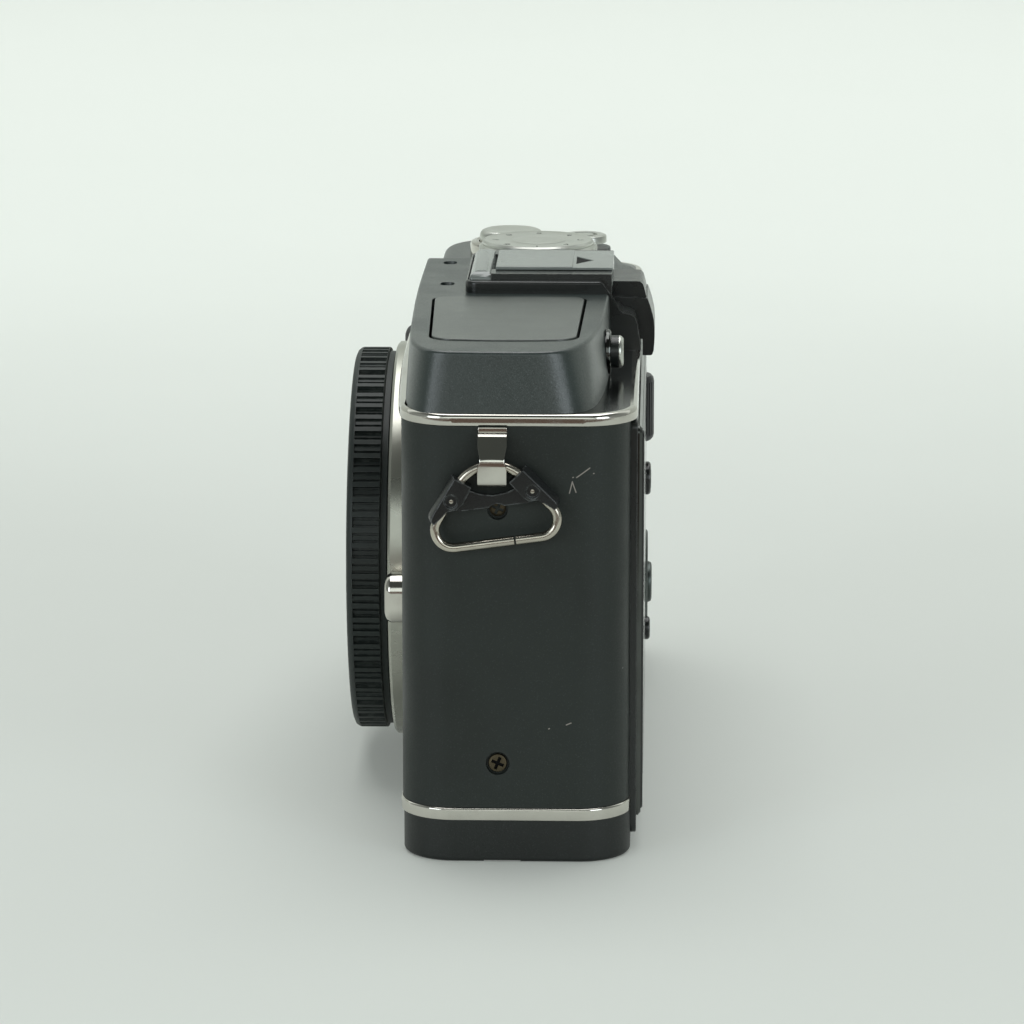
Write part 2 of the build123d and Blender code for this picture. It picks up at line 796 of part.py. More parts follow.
# Accessory port cover: a cap over the rear of the shoe with a tongue in the port
port_front_y = shoe_rear_y + 0.05
with BuildPart() as accessory_port_cover:
    with BuildSketch(Plane.YZ.offset(-port_cover_width / 2)) as port_profile:
        with BuildLine():
            Polyline(
                (port_front_y, deck_z + 0.5),
                (rear_y + 0.2, deck_z + 0.5),
                (rear_y + 0.2, port_cover_bottom),
                (port_cover_rear, port_cover_bottom),
                (port_cover_rear, port_cover_top),
                (port_front_y, port_cover_top),
                close=True,
            )
        make_face()
        rear_corners = port_profile.vertices().group_by(Axis.X)[-1].sort_by(Axis.Y)
        fillet(rear_corners[:1], 0.5)
        rear_corners = port_profile.vertices().group_by(Axis.Y)[-1].sort_by(Axis.X)
        fillet(rear_corners[-1:], 1.1)
    extrude(amount=port_cover_width)
    box_between(
        (-port_tongue_width / 2, port_front_y - port_tongue_length, port_z - port_tongue_height / 2),
        (port_tongue_width / 2, port_front_y + gap, port_z + port_tongue_height / 2),
    )
accessory_port_cover.part.label = "accessory_port_cover"
export_step(accessory_port_cover.part, "parts/accessory_port_cover.step")

# Connectors: the accessory port's socket and the two sockets behind the side door
with BuildPart() as connectors:
    port_back_y = block_wall_y - 5.6
    box_between(
        (-port_tongue_width / 2 - 1.3, port_back_y, port_z - 2.1),
        (port_tongue_width / 2 + 1.3, block_wall_y - gap, port_z + 1.8),
    )
    box_between(
        (-port_tongue_width / 2 - 0.2, port_front_y - port_tongue_length - 0.4, port_z - 1.1),
        (port_tongue_width / 2 + 0.2, block_wall_y, port_z + 1.1),
        mode=Mode.SUBTRACT,
    )
    box_between(
        (side_block_x, side_door_y[0] + 1, side_door_bottom + 1),
        (side_block_x + socket_block_depth, side_door_y[1] - 1, side_door_top - 1),
    )
    socket_rise = (side_door_top - side_door_bottom) / 4
    socket_mid = (side_door_top + side_door_bottom) / 2
    for height, width, thickness in ((socket_mid + socket_rise, 3.0, 7.6), (socket_mid - socket_rise, 2.9, 6.4)):
        box_between(
            (side_block_x - gap, -width / 2, height - thickness / 2),
            (side_block_x + socket_depth, width / 2, height + thickness / 2),
            mode=Mode.SUBTRACT,
        )
        box_between(
            (side_block_x + socket_depth * 0.3, -width / 8, height - thickness / 2 + 0.8),
            (side_block_x + socket_depth + gap, width / 8, height + thickness / 2 - 0.8),
        )
connectors.part.label = "connectors"
export_step(connectors.part, "parts/connectors.step")

# Side door over the sockets, hinged along its front edge
with BuildPart() as port_door:
    door_mid_z = (side_door_bottom + side_door_top) / 2
    door_span = side_door_top - side_door_bottom - 2 * gap
    box_between(
        (shell_far_x, side_pin_y, side_door_bottom + gap),
        (inner_far_x, side_door_y[1] - gap, side_door_top - gap),
    )
    far_edges = port_door.faces().sort_by(Axis.Y)[-1].edges().filter_by(Axis.X)
    fillet(far_edges, 1.2)
    with Locations((side_pin_x, side_pin_y, door_mid_z)):
        Cylinder(shell_wall / 2, door_span)
    with Locations((side_pin_x, side_pin_y, door_mid_z)):
        Cylinder(side_pin_radius + 0.05, door_span, mode=Mode.SUBTRACT)
port_door.part.label = "port_door"
export_step(port_door.part, "parts/port_door.step")

# Lens mount: flange ring with three bayonet tabs
mount_plane = Plane(origin=(0, flange_y, lens_z), x_dir=(1, 0, 0), z_dir=(0, -1, 0))
tab_middles = [90 + 120 * n for n in range(mount_tab_count)]
with BuildPart() as lens_mount_ring:
    with BuildSketch(mount_plane):
        Circle(mount_radius)
        Circle(mount_bore_radius, mode=Mode.SUBTRACT)
    extrude(amount=-flange_stand)
    front_rim = lens_mount_ring.faces().sort_by(Axis.Y)[0].edges().sort_by(SortBy.LENGTH)[-1]
    chamfer(front_rim, 0.35)
    with BuildSketch(mount_plane):
        for middle in tab_middles:
            with BuildLine():
                CenterArc((0, 0), mount_bore_radius + 0.3, middle - mount_tab_angle / 2, mount_tab_angle)
                CenterArc((0, 0), mount_tab_radius, middle - mount_tab_angle / 2, mount_tab_angle)
                for edge_angle in (middle - mount_tab_angle / 2, middle + mount_tab_angle / 2):
                    PolarLine(
                        (
                            mount_tab_radius * math.cos(math.radians(edge_angle)),
                            mount_tab_radius * math.sin(math.radians(edge_angle)),
                        ),
                        mount_bore_radius + 0.3 - mount_tab_radius,
                        edge_angle,
                    )
            make_face()
    extrude(amount=-mount_tab_depth)
    with BuildSketch(mount_plane):
        with PolarLocations(mount_screw_circle, 4, start_angle=45):
            Circle(screw_shank_radius + gap)
        with Locations((mount_screw_circle, 0)):
            Circle(lock_pin_radius + running_fit)
    extrude(amount=-flange_stand, mode=Mode.SUBTRACT)
    with BuildSketch(mount_plane):
        with PolarLocations(mount_screw_circle, 4, start_angle=45):
            Circle(mount_screw_radius + gap)
    extrude(amount=-1.1, mode=Mode.SUBTRACT)
lens_mount_ring.part.label = "lens_mount_ring"
export_step(lens_mount_ring.part, "parts/lens_mount_ring.step")

# Lock pin in the flange and the button that draws it back
with BuildPart() as lens_lock_pin:
    with BuildSketch(mount_plane.offset(lock_pin_stand)):
        with Locations((mount_screw_circle, 0)):
            Circle(lock_pin_radius)
    extrude(amount=-(lock_pin_stand + chassis_back_y - flange_y + 0.5))
    chamfer(lens_lock_pin.edges().group_by(Axis.Y)[0], 0.2)
lens_lock_pin.part.label = "lens_lock_pin"
export_step(lens_lock_pin.part, "parts/lens_lock_pin.step")

with BuildPart() as lens_release_button:
    with BuildSketch(mount_plane):
        with Locations((release_offset, -release_drop)):
            RectangleRounded(release_width, release_height, 1.5)
    extrude(amount=-release_head)
    fillet(lens_release_button.edges().group_by(Axis.Y)[0], 0.9)
    with BuildSketch(mount_plane.offset(-release_head)):
        with Locations((release_offset, -release_drop)):
            Circle(1.0)
    extrude(amount=-(chassis_back_y - flange_y - release_head + 1.0))
lens_release_button.part.label = "lens_release_button"
export_step(lens_release_button.part, "parts/lens_release_button.step")

# Body cap: ribbed rim, dished face and a sleeve with three lugs in the gaps of the tabs
with BuildPart() as body_cap:
    with BuildSketch(mount_plane):
        Circle(cap_radius - 3)
    extrude(amount=cap_land_height)
    with BuildSketch(mount_plane.offset(cap_land_height)):
        Circle(cap_radius - 0.4)
    extrude(amount=cap_band_height)
    rib_start = cap_land_height + cap_band_height
    with BuildSketch(mount_plane.offset(rib_start)):
        Circle(cap_radius)
        with PolarLocations(cap_radius, cap_rib_count):
            Rectangle(2 * cap_groove_depth, cap_groove_width, mode=Mode.SUBTRACT)
    extrude(amount=cap_thickness - rib_start)
    with BuildSketch(mount_plane.offset(cap_thickness)):
        Circle(cap_radius + 1)
        Circle(cap_radius - 0.8, mode=Mode.SUBTRACT)
    extrude(amount=-0.8, taper=-45, mode=Mode.SUBTRACT)
    with BuildSketch(mount_plane.offset(cap_thickness)):
        Circle(cap_radius - 3.2)
    extrude(amount=-0.35, mode=Mode.SUBTRACT)
    with BuildSketch(mount_plane):
        Circle(cap_sleeve_radius)
    extrude(amount=-cap_sleeve_length)
    with BuildSketch(mount_plane.offset(-mount_tab_depth - wide_gap)):
        for middle in tab_middles:
            with BuildLine():
                start = middle + 60 - mount_tab_angle / 2
                outer_r = mount_bore_radius - wide_gap
                inner_r = cap_sleeve_radius - 0.3
                CenterArc((0, 0), outer_r, start, mount_tab_angle)
                CenterArc((0, 0), inner_r, start, mount_tab_angle)
                for edge_angle in (start, start + mount_tab_angle):
                    PolarLine(
                        (
                            inner_r * math.cos(math.radians(edge_angle)),
                            inner_r * math.sin(math.radians(edge_angle)),
                        ),
                        outer_r - inner_r,
                        edge_angle,
                    )
            make_face()
    extrude(amount=-cap_lug_length)
    with BuildSketch(mount_plane.offset(-cap_sleeve_length)):
        Circle(cap_sleeve_radius - cap_sleeve_wall)
    extrude(amount=cap_sleeve_length + cap_thickness - cap_wall - 0.35, mode=Mode.SUBTRACT)
    with BuildSketch(mount_plane):
        with Locations((mount_screw_circle, 0)):
            Circle(lock_pin_radius + 0.5)
    extrude(amount=lock_pin_stand + 0.6, mode=Mode.SUBTRACT)
body_cap.part.label = "body_cap"
export_step(body_cap.part, "parts/body_cap.step")

# Chassis: the plate behind the shell's front that carries the mount, with four posts
post_spots = ((20.5, 52.0), (-20.5, 52.0), (20.5, 10.5), (-20.5, 10.5))
post_radius = 2.0
chassis_x = (battery_x + battery_bay / 2 + 0.4, 50.0)
chassis_z = (shell_z + 0.2, upper_trim_z - 0.2)
with BuildPart() as chassis:
    box_between(
        (chassis_x[0], inner_front_y, chassis_z[0]),
        (chassis_x[1], chassis_back_y, chassis_z[1]),
    )
    with BuildSketch(upright(chassis_back_y)):
        with Locations(*post_spots):
            Circle(post_radius)
    extrude(amount=chassis_back_y - board_y)
    with BuildSketch(upright(inner_front_y)):
        with Locations((0, lens_z)):
            Circle(throat_radius)
        with Locations((0, lens_z)):
            with PolarLocations(mount_screw_circle, 4, start_angle=45):
                Circle(screw_shank_radius + gap)
        with Locations((mount_screw_circle, lens_z)):
            Circle(lock_pin_radius + gap)
        with Locations((release_offset, lens_z - release_drop)):
            Circle(1.0 + gap)
    extrude(amount=-chassis_thickness, mode=Mode.SUBTRACT)
chassis.part.label = "chassis"
export_step(chassis.part, "parts/chassis.step")

# Light box: baffle behind the throat, with the block that holds the lens contacts
contact_block_front = -15.6
contact_inner = 14.0
contact_outer = 17.2
contact_spread = 52.0
contact_plane = Plane(origin=(0, contact_block_front, lens_z), x_dir=(1, 0, 0), z_dir=(0, -1, 0))
light_box_back = chassis_back_y + 0.8
light_box_bore = (light_box_width - 2 * light_box_wall, light_box_height - 2 * light_box_wall)
contact_angles = [
    270 - contact_spread / 2 + 4 + (contact_spread - 8) * n / (contact_count - 1)
    for n in range(contact_count)
]
contact_spots = [
    (contact_circle * math.cos(math.radians(a)), contact_circle * math.sin(math.radians(a)))
    for a in contact_angles
]
with BuildPart() as light_box:
    with BuildSketch(upright(chassis_back_y)):
        with Locations((0, lens_z)):
            Circle(light_ring_radius)
            Rectangle(*light_box_bore, mode=Mode.SUBTRACT)
    extrude(amount=chassis_back_y - light_box_back)
    with BuildSketch(upright(light_box_back)):
        with Locations((0, lens_z)):
            Rectangle(light_box_width, light_box_height)
            Rectangle(*light_box_bore, mode=Mode.SUBTRACT)
    extrude(amount=light_box_back - shutter_front_y)
    with BuildSketch(contact_plane):
        with BuildLine():
            CenterArc((0, 0), contact_outer, 270 - contact_spread / 2, contact_spread)
            CenterArc((0, 0), contact_inner, 270 - contact_spread / 2, contact_spread)
            for edge_angle in (270 - contact_spread / 2, 270 + contact_spread / 2):
                PolarLine(
                    (
                        contact_inner * math.cos(math.radians(edge_angle)),
                        contact_inner * math.sin(math.radians(edge_angle)),
                    ),
                    contact_outer - contact_inner,
                    edge_angle,
                )
        make_face()
    extrude(amount=contact_block_front - light_box_back)
    with BuildSketch(contact_plane):
        with Locations(*contact_spots):
            Circle(contact_radius + 0.05)
    extrude(amount=-2.6, mode=Mode.SUBTRACT)
light_box.part.label = "light_box"
export_step(light_box.part, "parts/light_box.step")

# Gilt pins of the lens contacts and of the hot shoe
with BuildPart() as contact_pins:
    with BuildSketch(contact_plane.offset(0.4)):
        with Locations(*contact_spots):
            Circle(contact_radius)
    extrude(amount=-2.8)
    with BuildSketch(Plane.XY.offset(pocket_bottom + gap)):
        with Locations(*shoe_pin_spots):
            Circle(shoe_pin_radius)
    extrude(amount=shoe_floor_thickness + 0.1)
contact_pins.part.label = "contact_pins"
export_step(contact_pins.part, "parts/contact_pins.step")

# Shutter: frame with a slot, and its stack of leaves parked below the aperture
blade_width = aperture_width + 3.0
blade_height = aperture_height + 0.6
blade_bottom = lens_z - aperture_height / 2 - 0.2 - blade_height
slot_mid_y = (shutter_front_y + shutter_rear_y) / 2
with BuildPart() as shutter_frame:
    box_between(
        (-shutter_width / 2, shutter_front_y, shutter_bottom),
        (shutter_width / 2, shutter_rear_y, shutter_top),
    )
    box_between(
        (-blade_width / 2 - 0.3, slot_mid_y - 0.6, blade_bottom - 0.2),
        (blade_width / 2 + 0.3, slot_mid_y + 0.6, lens_z + aperture_height / 2 + 1.2),
        mode=Mode.SUBTRACT,
    )
    with BuildSketch(upright(shutter_front_y)):
        with Locations((0, lens_z)):
            Rectangle(aperture_width, aperture_height)
    extrude(amount=-shutter_thickness, mode=Mode.SUBTRACT)
shutter_frame.part.label = "shutter_frame"
export_step(shutter_frame.part, "parts/shutter_frame.step")

leaf_count = 4
leaf_pitch = blade_height / leaf_count
with BuildPart() as shutter_blades:
    for leaf in range(leaf_count):
        lean = 0.1 * (leaf % 2)
        box_between(
            (-blade_width / 2, slot_mid_y - blade_thickness / 2 + lean, blade_bottom + leaf * leaf_pitch),
            (
                blade_width / 2,
                slot_mid_y + blade_thickness / 2 + lean,
                blade_bottom + (leaf + 1) * leaf_pitch,
            ),
        )
shutter_blades.part.label = "shutter_blades"
export_step(shutter_blades.part, "parts/shutter_blades.step")

# Image sensor, the filter glass in front of it and the board behind it
with BuildPart() as image_sensor:
    with BuildSketch(upright(package_y)):
        with Locations((0, lens_z)):
            Rectangle(package_width, package_height)
    extrude(amount=-package_thickness)
    with BuildSketch(upright(package_y)):
        with Locations((0, lens_z)):
            Rectangle(sensor_width, sensor_height)
    extrude(amount=-sensor_depth, mode=Mode.SUBTRACT)
image_sensor.part.label = "image_sensor"
export_step(image_sensor.part, "parts/image_sensor.step")

with BuildPart() as sensor_filter:
    with BuildSketch(upright(package_y)):
        with Locations((0, lens_z)):
            RectangleRounded(filter_width, filter_height, 0.6)
    extrude(amount=filter_thickness)
sensor_filter.part.label = "sensor_filter"
export_step(sensor_filter.part, "parts/sensor_filter.step")

with BuildPart() as main_board:
    box_between(
        (chassis_x[0] + 0.5, board_y, shell_z + 1.0),
        (chassis_x[1], board_y + board_thickness, upper_trim_z - 2.0),
    )
    for chip_x, chip_z, chip_size in board_chips:
        with Locations((chip_x, board_y + board_thickness + chip_thickness / 2, chip_z)):
            Box(chip_size, chip_thickness, chip_size)
main_board.part.label = "main_board"
export_step(main_board.part, "parts/main_board.step")

with BuildPart() as flash_capacitor:
    with Locations((capacitor_spot[0], chassis_back_y + 0.2 + capacitor_radius, capacitor_spot[1])):
        Cylinder(capacitor_radius, capacitor_length)
    chamfer(flash_capacitor.edges().group_by(Axis.Z)[-1], 0.5)
flash_capacitor.part.label = "flash_capacitor"
export_step(flash_capacitor.part, "parts/flash_capacitor.step")

# Battery, memory card and the box that holds both
cell_bottom = door_recess + door_thickness + seat_gap
battery_low = (battery_x - battery_width / 2, battery_y - battery_depth / 2, cell_bottom)
battery_high = (battery_x + battery_width / 2, battery_y + battery_depth / 2, cell_bottom + battery_height)
card_low = (battery_x + 1.5 - card_width / 2, card_y - card_depth / 2, cell_bottom)
card_high = (battery_x + 1.5 + card_width / 2, card_y + card_depth / 2, cell_bottom + card_height)
with BuildPart() as battery:
    box_between(battery_low, battery_high)
    fillet(battery.edges().filter_by(Axis.Z), 1.6)
battery.part.label = "battery"
export_step(battery.part, "parts/battery.step")

with BuildPart() as memory_card:
    with BuildSketch(Plane.XZ.offset(-card_low[1])) as card_outline:
        with Locations(((card_low[0] + card_high[0]) / 2, (card_low[2] + card_high[2]) / 2)):
            Rectangle(card_width, card_height)
        chamfer(card_outline.vertices().sort_by(Axis.X)[-2:].sort_by(Axis.Y)[-1:], 3.0)
    extrude(amount=-card_depth)
memory_card.part.label = "memory_card"
export_step(memory_card.part, "parts/memory_card.step")

with BuildPart() as battery_box:
    clear = battery_clear
    box_between(
        (battery_low[0] - clear - box_wall, battery_low[1] - clear - box_wall, base_height),
        (battery_high[0] + clear + box_wall, battery_high[1] + clear + box_wall, battery_high[2] + clear + box_wall),
    )
    box_between(
        (card_low[0] - clear - box_wall, battery_high[1], base_height),
        (card_high[0] + clear + box_wall, card_high[1] + clear + box_wall, card_high[2] + clear + box_wall),
    )
    with BuildSketch(Plane.XY.offset(base_height)):
        with Locations((battery_x, door_y)):
            RectangleRounded(door_width + 2 * box_wall, door_depth + 2 * box_wall, 2.5)
    extrude(amount=box_wall)
    box_between(
        (battery_low[0] - clear, battery_low[1] - clear, base_height - gap),
        (battery_high[0] + clear, battery_high[1] + clear, battery_high[2] + clear),
        mode=Mode.SUBTRACT,
    )
    box_between(
        (card_low[0] - clear, card_low[1] - clear, base_height - gap),
        (card_high[0] + clear, card_high[1] + clear, card_high[2] + clear),
        mode=Mode.SUBTRACT,
    )
battery_box.part.label = "battery_box"
export_step(battery_box.part, "parts/battery_box.step")

# Battery door with a hinge roll on its inboard edge, and the latch that slides in it
with BuildPart() as battery_door:
    box_between(
        (door_far_x + gap, door_front_y + gap, door_recess),
        (door_pin_x, door_rear_y - gap, door_recess + door_thickness),
    )
    with Locations((door_pin_x, door_y, door_z)):
        Cylinder(door_thickness / 2, door_depth - 2 * gap, rotation=(90, 0, 0))
    with Locations((door_pin_x, door_y, door_z)):
        Cylinder(hinge_pin_radius + 0.05, door_depth, rotation=(90, 0, 0), mode=Mode.SUBTRACT)
    box_between(
        (door_far_x + gap, latch_y - latch_width / 2 - gap, door_recess + 0.5),
        (door_far_x + latch_length + latch_travel, latch_y + latch_width / 2 + gap, door_recess + door_thickness + gap),
        mode=Mode.SUBTRACT,
    )
    box_between(
        (door_far_x + 2.0, latch_y - latch_width / 2 + 0.6, door_recess - gap),
        (door_far_x + latch_length, latch_y + latch_width / 2 - 0.6, door_recess + door_thickness),
        mode=Mode.SUBTRACT,
    )
battery_door.part.label = "battery_door"
export_step(battery_door.part, "parts/battery_door.step")

with BuildPart() as battery_latch:
    box_between(
        (door_far_x + gap + 0.1, latch_y - latch_width / 2, door_recess + 0.6),
        (door_far_x + latch_length, latch_y + latch_width / 2, door_recess + door_thickness - 0.1),
    )
    box_between(
        (door_far_x + 2.0 + latch_travel + 0.1, latch_y - latch_width / 2 + 0.7, door_recess + 0.1),
        (door_far_x + latch_length - 0.1, latch_y + latch_width / 2 - 0.7, door_recess + 0.7),
    )
battery_latch.part.label = "battery_latch"
export_step(battery_latch.part, "parts/battery_latch.step")

# Tripod socket: flanged insert in the floor of the base
with BuildPart() as tripod_socket:
    with BuildSketch():
        Circle(tripod_insert_radius)
    extrude(amount=base_floor)
    with BuildSketch(Plane.XY.offset(base_floor)):
        Circle(tripod_flange_radius)
    extrude(amount=base_height - base_floor - 0.2)
    with BuildSketch():
        Circle(tripod_radius)
    extrude(amount=tripod_depth, mode=Mode.SUBTRACT)
tripod_socket.part.label = "tripod_socket"
export_step(tripod_socket.part, "parts/tripod_socket.step")

# Flash head: reflector housing with the lid on top and a stub at each side for the arms
arm_far_x = head_far_x - 0.4 - arm_thickness
arm_near_x = head_near_x + 0.4
tip_y = arm_pivot_y - arm_length
with BuildPart() as flash_head:
    with BuildSketch(Plane.XY.offset(block_top - lid_thickness)):
        add(lid_outline(0))
    extrude(amount=lid_thickness)
    chamfer(flash_head.faces().sort_by(Axis.Z)[-1].edges(), 0.15)
    box_between(
        (head_far_x, head_front_y, head_bottom),
        (head_near_x, head_rear_y, block_top - lid_thickness),
    )
    box_between(
        (head_far_x + 1.2, head_front_y - gap, head_bottom + 0.8),
        (head_near_x - 1.2, head_front_y + 4.0, block_top - lid_thickness - 0.5),
        mode=Mode.SUBTRACT,
    )
    for stub_x in (arm_far_x + 0.1, head_near_x):
        with Locations((stub_x + (0.5 + arm_thickness) / 2 - 0.1, tip_y, arm_pivot_z)):
            Cylinder(arm_pin_radius, arm_thickness + 0.3, rotation=(0, 90, 0))
flash_head.part.label = "flash_head"
export_step(flash_head.part, "parts/flash_head.step")

with BuildPart() as flash_window:
    box_between(
        (head_far_x + 1.3, head_front_y, head_bottom + 0.9),
        (head_near_x - 1.3, head_front_y + window_thickness, block_top - lid_thickness - 0.6),
    )
flash_window.part.label = "flash_window"
export_step(flash_window.part, "parts/flash_window.step")

# Flash arms: a pair of flat links tied by a rod at their feet
with BuildPart() as flash_arm:
    for side_x in (arm_far_x, arm_near_x):
        with BuildSketch(Plane.YZ.offset(side_x)):
            with Locations(((arm_pivot_y + tip_y) / 2, arm_pivot_z)):
                SlotCenterToCenter(arm_length, arm_width)
            with Locations((arm_pivot_y, arm_pivot_z), (tip_y, arm_pivot_z)):
                Circle(arm_pin_radius + 0.05, mode=Mode.SUBTRACT)
        extrude(amount=arm_thickness)
    with Locations(((arm_far_x + arm_near_x + arm_thickness) / 2, arm_pivot_y + 1.4, arm_pivot_z)):
        Cylinder(0.4, arm_near_x - arm_far_x, rotation=(0, 90, 0))
flash_arm.part.label = "flash_arm"
export_step(flash_arm.part, "parts/flash_arm.step")

# Flash button through the rear of the block
button_wall_y = block_rear_y - 0.2
with BuildPart() as flash_button:
    with BuildSketch(upright(button_wall_y + flash_button_stand)):
        with Locations((flash_button_x, flash_button_z)):
            Circle(flash_button_radius)
    extrude(amount=flash_button_stand + button_wall_y - block_wall_y + seat_gap + 0.2)
    fillet(flash_button.edges().group_by(Axis.Y)[-1], 0.5)
    with BuildSketch(upright(block_wall_y - seat_gap)):
        with Locations((flash_button_x, flash_button_z)):
            Circle(flash_button_radius + 0.6)
    extrude(amount=0.8)
flash_button.part.label = "flash_button"
export_step(flash_button.part, "parts/flash_button.step")

# Collars round the flash button and the shutter button
with BuildPart() as button_collars:
    with BuildSketch(upright(block_rear_y + gap)):
        with Locations((flash_button_x, flash_button_z)):
            Circle(flash_bezel_radius)
            Circle(flash_button_radius + running_fit + 0.05, mode=Mode.SUBTRACT)
    extrude(amount=-flash_bezel_height)
    with BuildSketch(Plane.XY.offset(shoulder_top)):
        with Locations((shutter_x, shutter_y)):
            Circle(shutter_collar_radius)
            Circle(shutter_button_radius + gap, mode=Mode.SUBTRACT)
    extrude(amount=shutter_collar_height)
    chamfer(button_collars.edges().group_by(Axis.Z)[-1], 0.3)
button_collars.part.label = "button_collars"
export_step(button_collars.part, "parts/button_collars.step")

# Shutter button: domed cap on a stem
with BuildPart() as shutter_button:
    with BuildSketch(Plane.XY.offset(shoulder_top + shutter_button_travel + 0.1)):
        with Locations((shutter_x, shutter_y)):
            Circle(shutter_button_radius)
    extrude(amount=shutter_button_height - shutter_button_travel - 0.1)
    fillet(shutter_button.edges().group_by(Axis.Z)[-1], 0.9)
    with BuildSketch(Plane.XY.offset(shoulder_roof - seat_gap - 0.5)):
        with Locations((shutter_x, shutter_y)):
            Circle(1.5)
    extrude(amount=shoulder_top + 1.5 - shoulder_roof + seat_gap + 0.5)
    with BuildSketch(Plane.XY.offset(shoulder_roof - seat_gap)):
        with Locations((shutter_x, shutter_y)):
            Circle(2.2)
    extrude(amount=-0.7)
shutter_button.part.label = "shutter_button"
export_step(shutter_button.part, "parts/shutter_button.step")

# Mode dial: knurled knob on a spindle held by a washer
with BuildPart() as mode_dial:
    dial_bottom = shoulder_top + seat_gap
    with BuildSketch(Plane.XY.offset(dial_bottom)):
        with Locations((dial_x, dial_y)):
            Circle(dial_radius)
            with PolarLocations(dial_radius, dial_groove_count):
                Rectangle(dial_groove, dial_groove, rotation=45, mode=Mode.SUBTRACT)
    extrude(amount=dial_height)
    with BuildSketch(Plane.XY.offset(dial_bottom + dial_height)):
        with Locations((dial_x, dial_y)):
            Circle(dial_radius - 0.45)
    extrude(amount=dial_cap)
    chamfer(mode_dial.edges().group_by(Axis.Z)[-1], 0.3)
    with BuildSketch(Plane.XY.offset(dial_bottom)):
        with Locations((dial_x, dial_y)):
            Circle(spindle_radius)
    extrude(amount=-(seat_gap * 2 + top_wall + 0.5))
    with BuildSketch(Plane.XY.offset(shoulder_roof - seat_gap)):
        with Locations((dial_x, dial_y)):
            Circle(spindle_radius + 1)
    extrude(amount=-1.0)
mode_dial.part.label = "mode_dial"
export_step(mode_dial.part, "parts/mode_dial.step")


def top_button(spot, radius, stem):
    """Low round button on the shoulder, with a stem and a retaining collar below the roof."""
    with BuildPart() as button:
        with BuildSketch(Plane.XY.offset(shoulder_top + small_travel + 0.1)):
            with Locations(spot):
                Circle(radius)
        extrude(amount=top_button_height)
        fillet(button.edges().group_by(Axis.Z)[-1], 0.3)
        with BuildSketch(Plane.XY.offset(shoulder_top + small_travel + 0.1)):
            with Locations(spot):
                Circle(stem)
        extrude(amount=-(small_travel + 0.1 + top_wall + seat_gap + 0.4))
        with BuildSketch(Plane.XY.offset(shoulder_roof - seat_gap)):
            with Locations(spot):
                Circle(stem + 0.7)
        extrude(amount=-0.7)
    return button


power_button = top_button(power_spot, power_radius, 1.5)
power_button.part.label = "power_button"
export_step(power_button.part, "parts/power_button.step")

function_button = top_button(function_spot, function_radius, 1.2)
function_button.part.label = "function_button"
export_step(function_button.part, "parts/function_button.step")

# Display: frame on the rear cover and the glass over it
with BuildPart() as display_frame:
    display_mid = ((display_near_x + display_far_x) / 2, (display_bottom + display_top) / 2)
    display_size = (display_near_x - display_far_x, display_top - display_bottom)
    with BuildSketch(upright(cover_y)):
        with Locations(display_mid):
            RectangleRounded(*display_size, 1.2)
    extrude(amount=-display_frame_depth)
    with BuildSketch(upright(cover_y + display_frame_depth)):
        with Locations(display_mid):
            Rectangle(*[size - 2 * display_window_inset for size in display_size])
    extrude(amount=display_frame_depth - 0.5, mode=Mode.SUBTRACT)
display_frame.part.label = "display_frame"
export_step(display_frame.part, "parts/display_frame.step")

with BuildPart() as display_glass:
    with BuildSketch(upright(cover_y + display_frame_depth)):
        with Locations((display_mid[0], display_mid[1] + 0.8)):
            RectangleRounded(
                display_size[0] - 2 * display_glass_inset,
                display_size[1] - 2 * display_glass_inset - 1.6,
                1.0,
            )
    extrude(amount=-display_glass_depth)
display_glass.part.label = "display_glass"
export_step(display_glass.part, "parts/display_glass.step")


def rear_button(spot, radius):
    """Round button through the rear cover, with a retaining flange inside."""
    with BuildPart() as button:
        with BuildSketch(upright(cover_y + rear_button_stand)):
            with Locations(spot):
                Circle(radius)
        extrude(amount=rear_button_stand + rear_cover_wall + seat_gap + 0.2)
        fillet(button.edges().group_by(Axis.Y)[-1], 0.4)
        with BuildSketch(upright(inner_rear_y - seat_gap)):
            with Locations(spot):
                Circle(radius + button_flange)
        extrude(amount=button_flange_thickness)
    return button


menu_button = rear_button(*rear_buttons["menu"])
menu_button.part.label = "menu_button"
export_step(menu_button.part, "parts/menu_button.step")

info_button = rear_button(*rear_buttons["info"])
info_button.part.label = "info_button"
export_step(info_button.part, "parts/info_button.step")

play_button = rear_button(*rear_buttons["play"])
play_button.part.label = "play_button"
export_step(play_button.part, "parts/play_button.step")

delete_button = rear_button(*rear_buttons["delete"])
delete_button.part.label = "delete_button"
export_step(delete_button.part, "parts/delete_button.step")

magnify_button = rear_button(*rear_buttons["magnify"])
magnify_button.part.label = "magnify_button"
export_step(magnify_button.part, "parts/magnify_button.step")

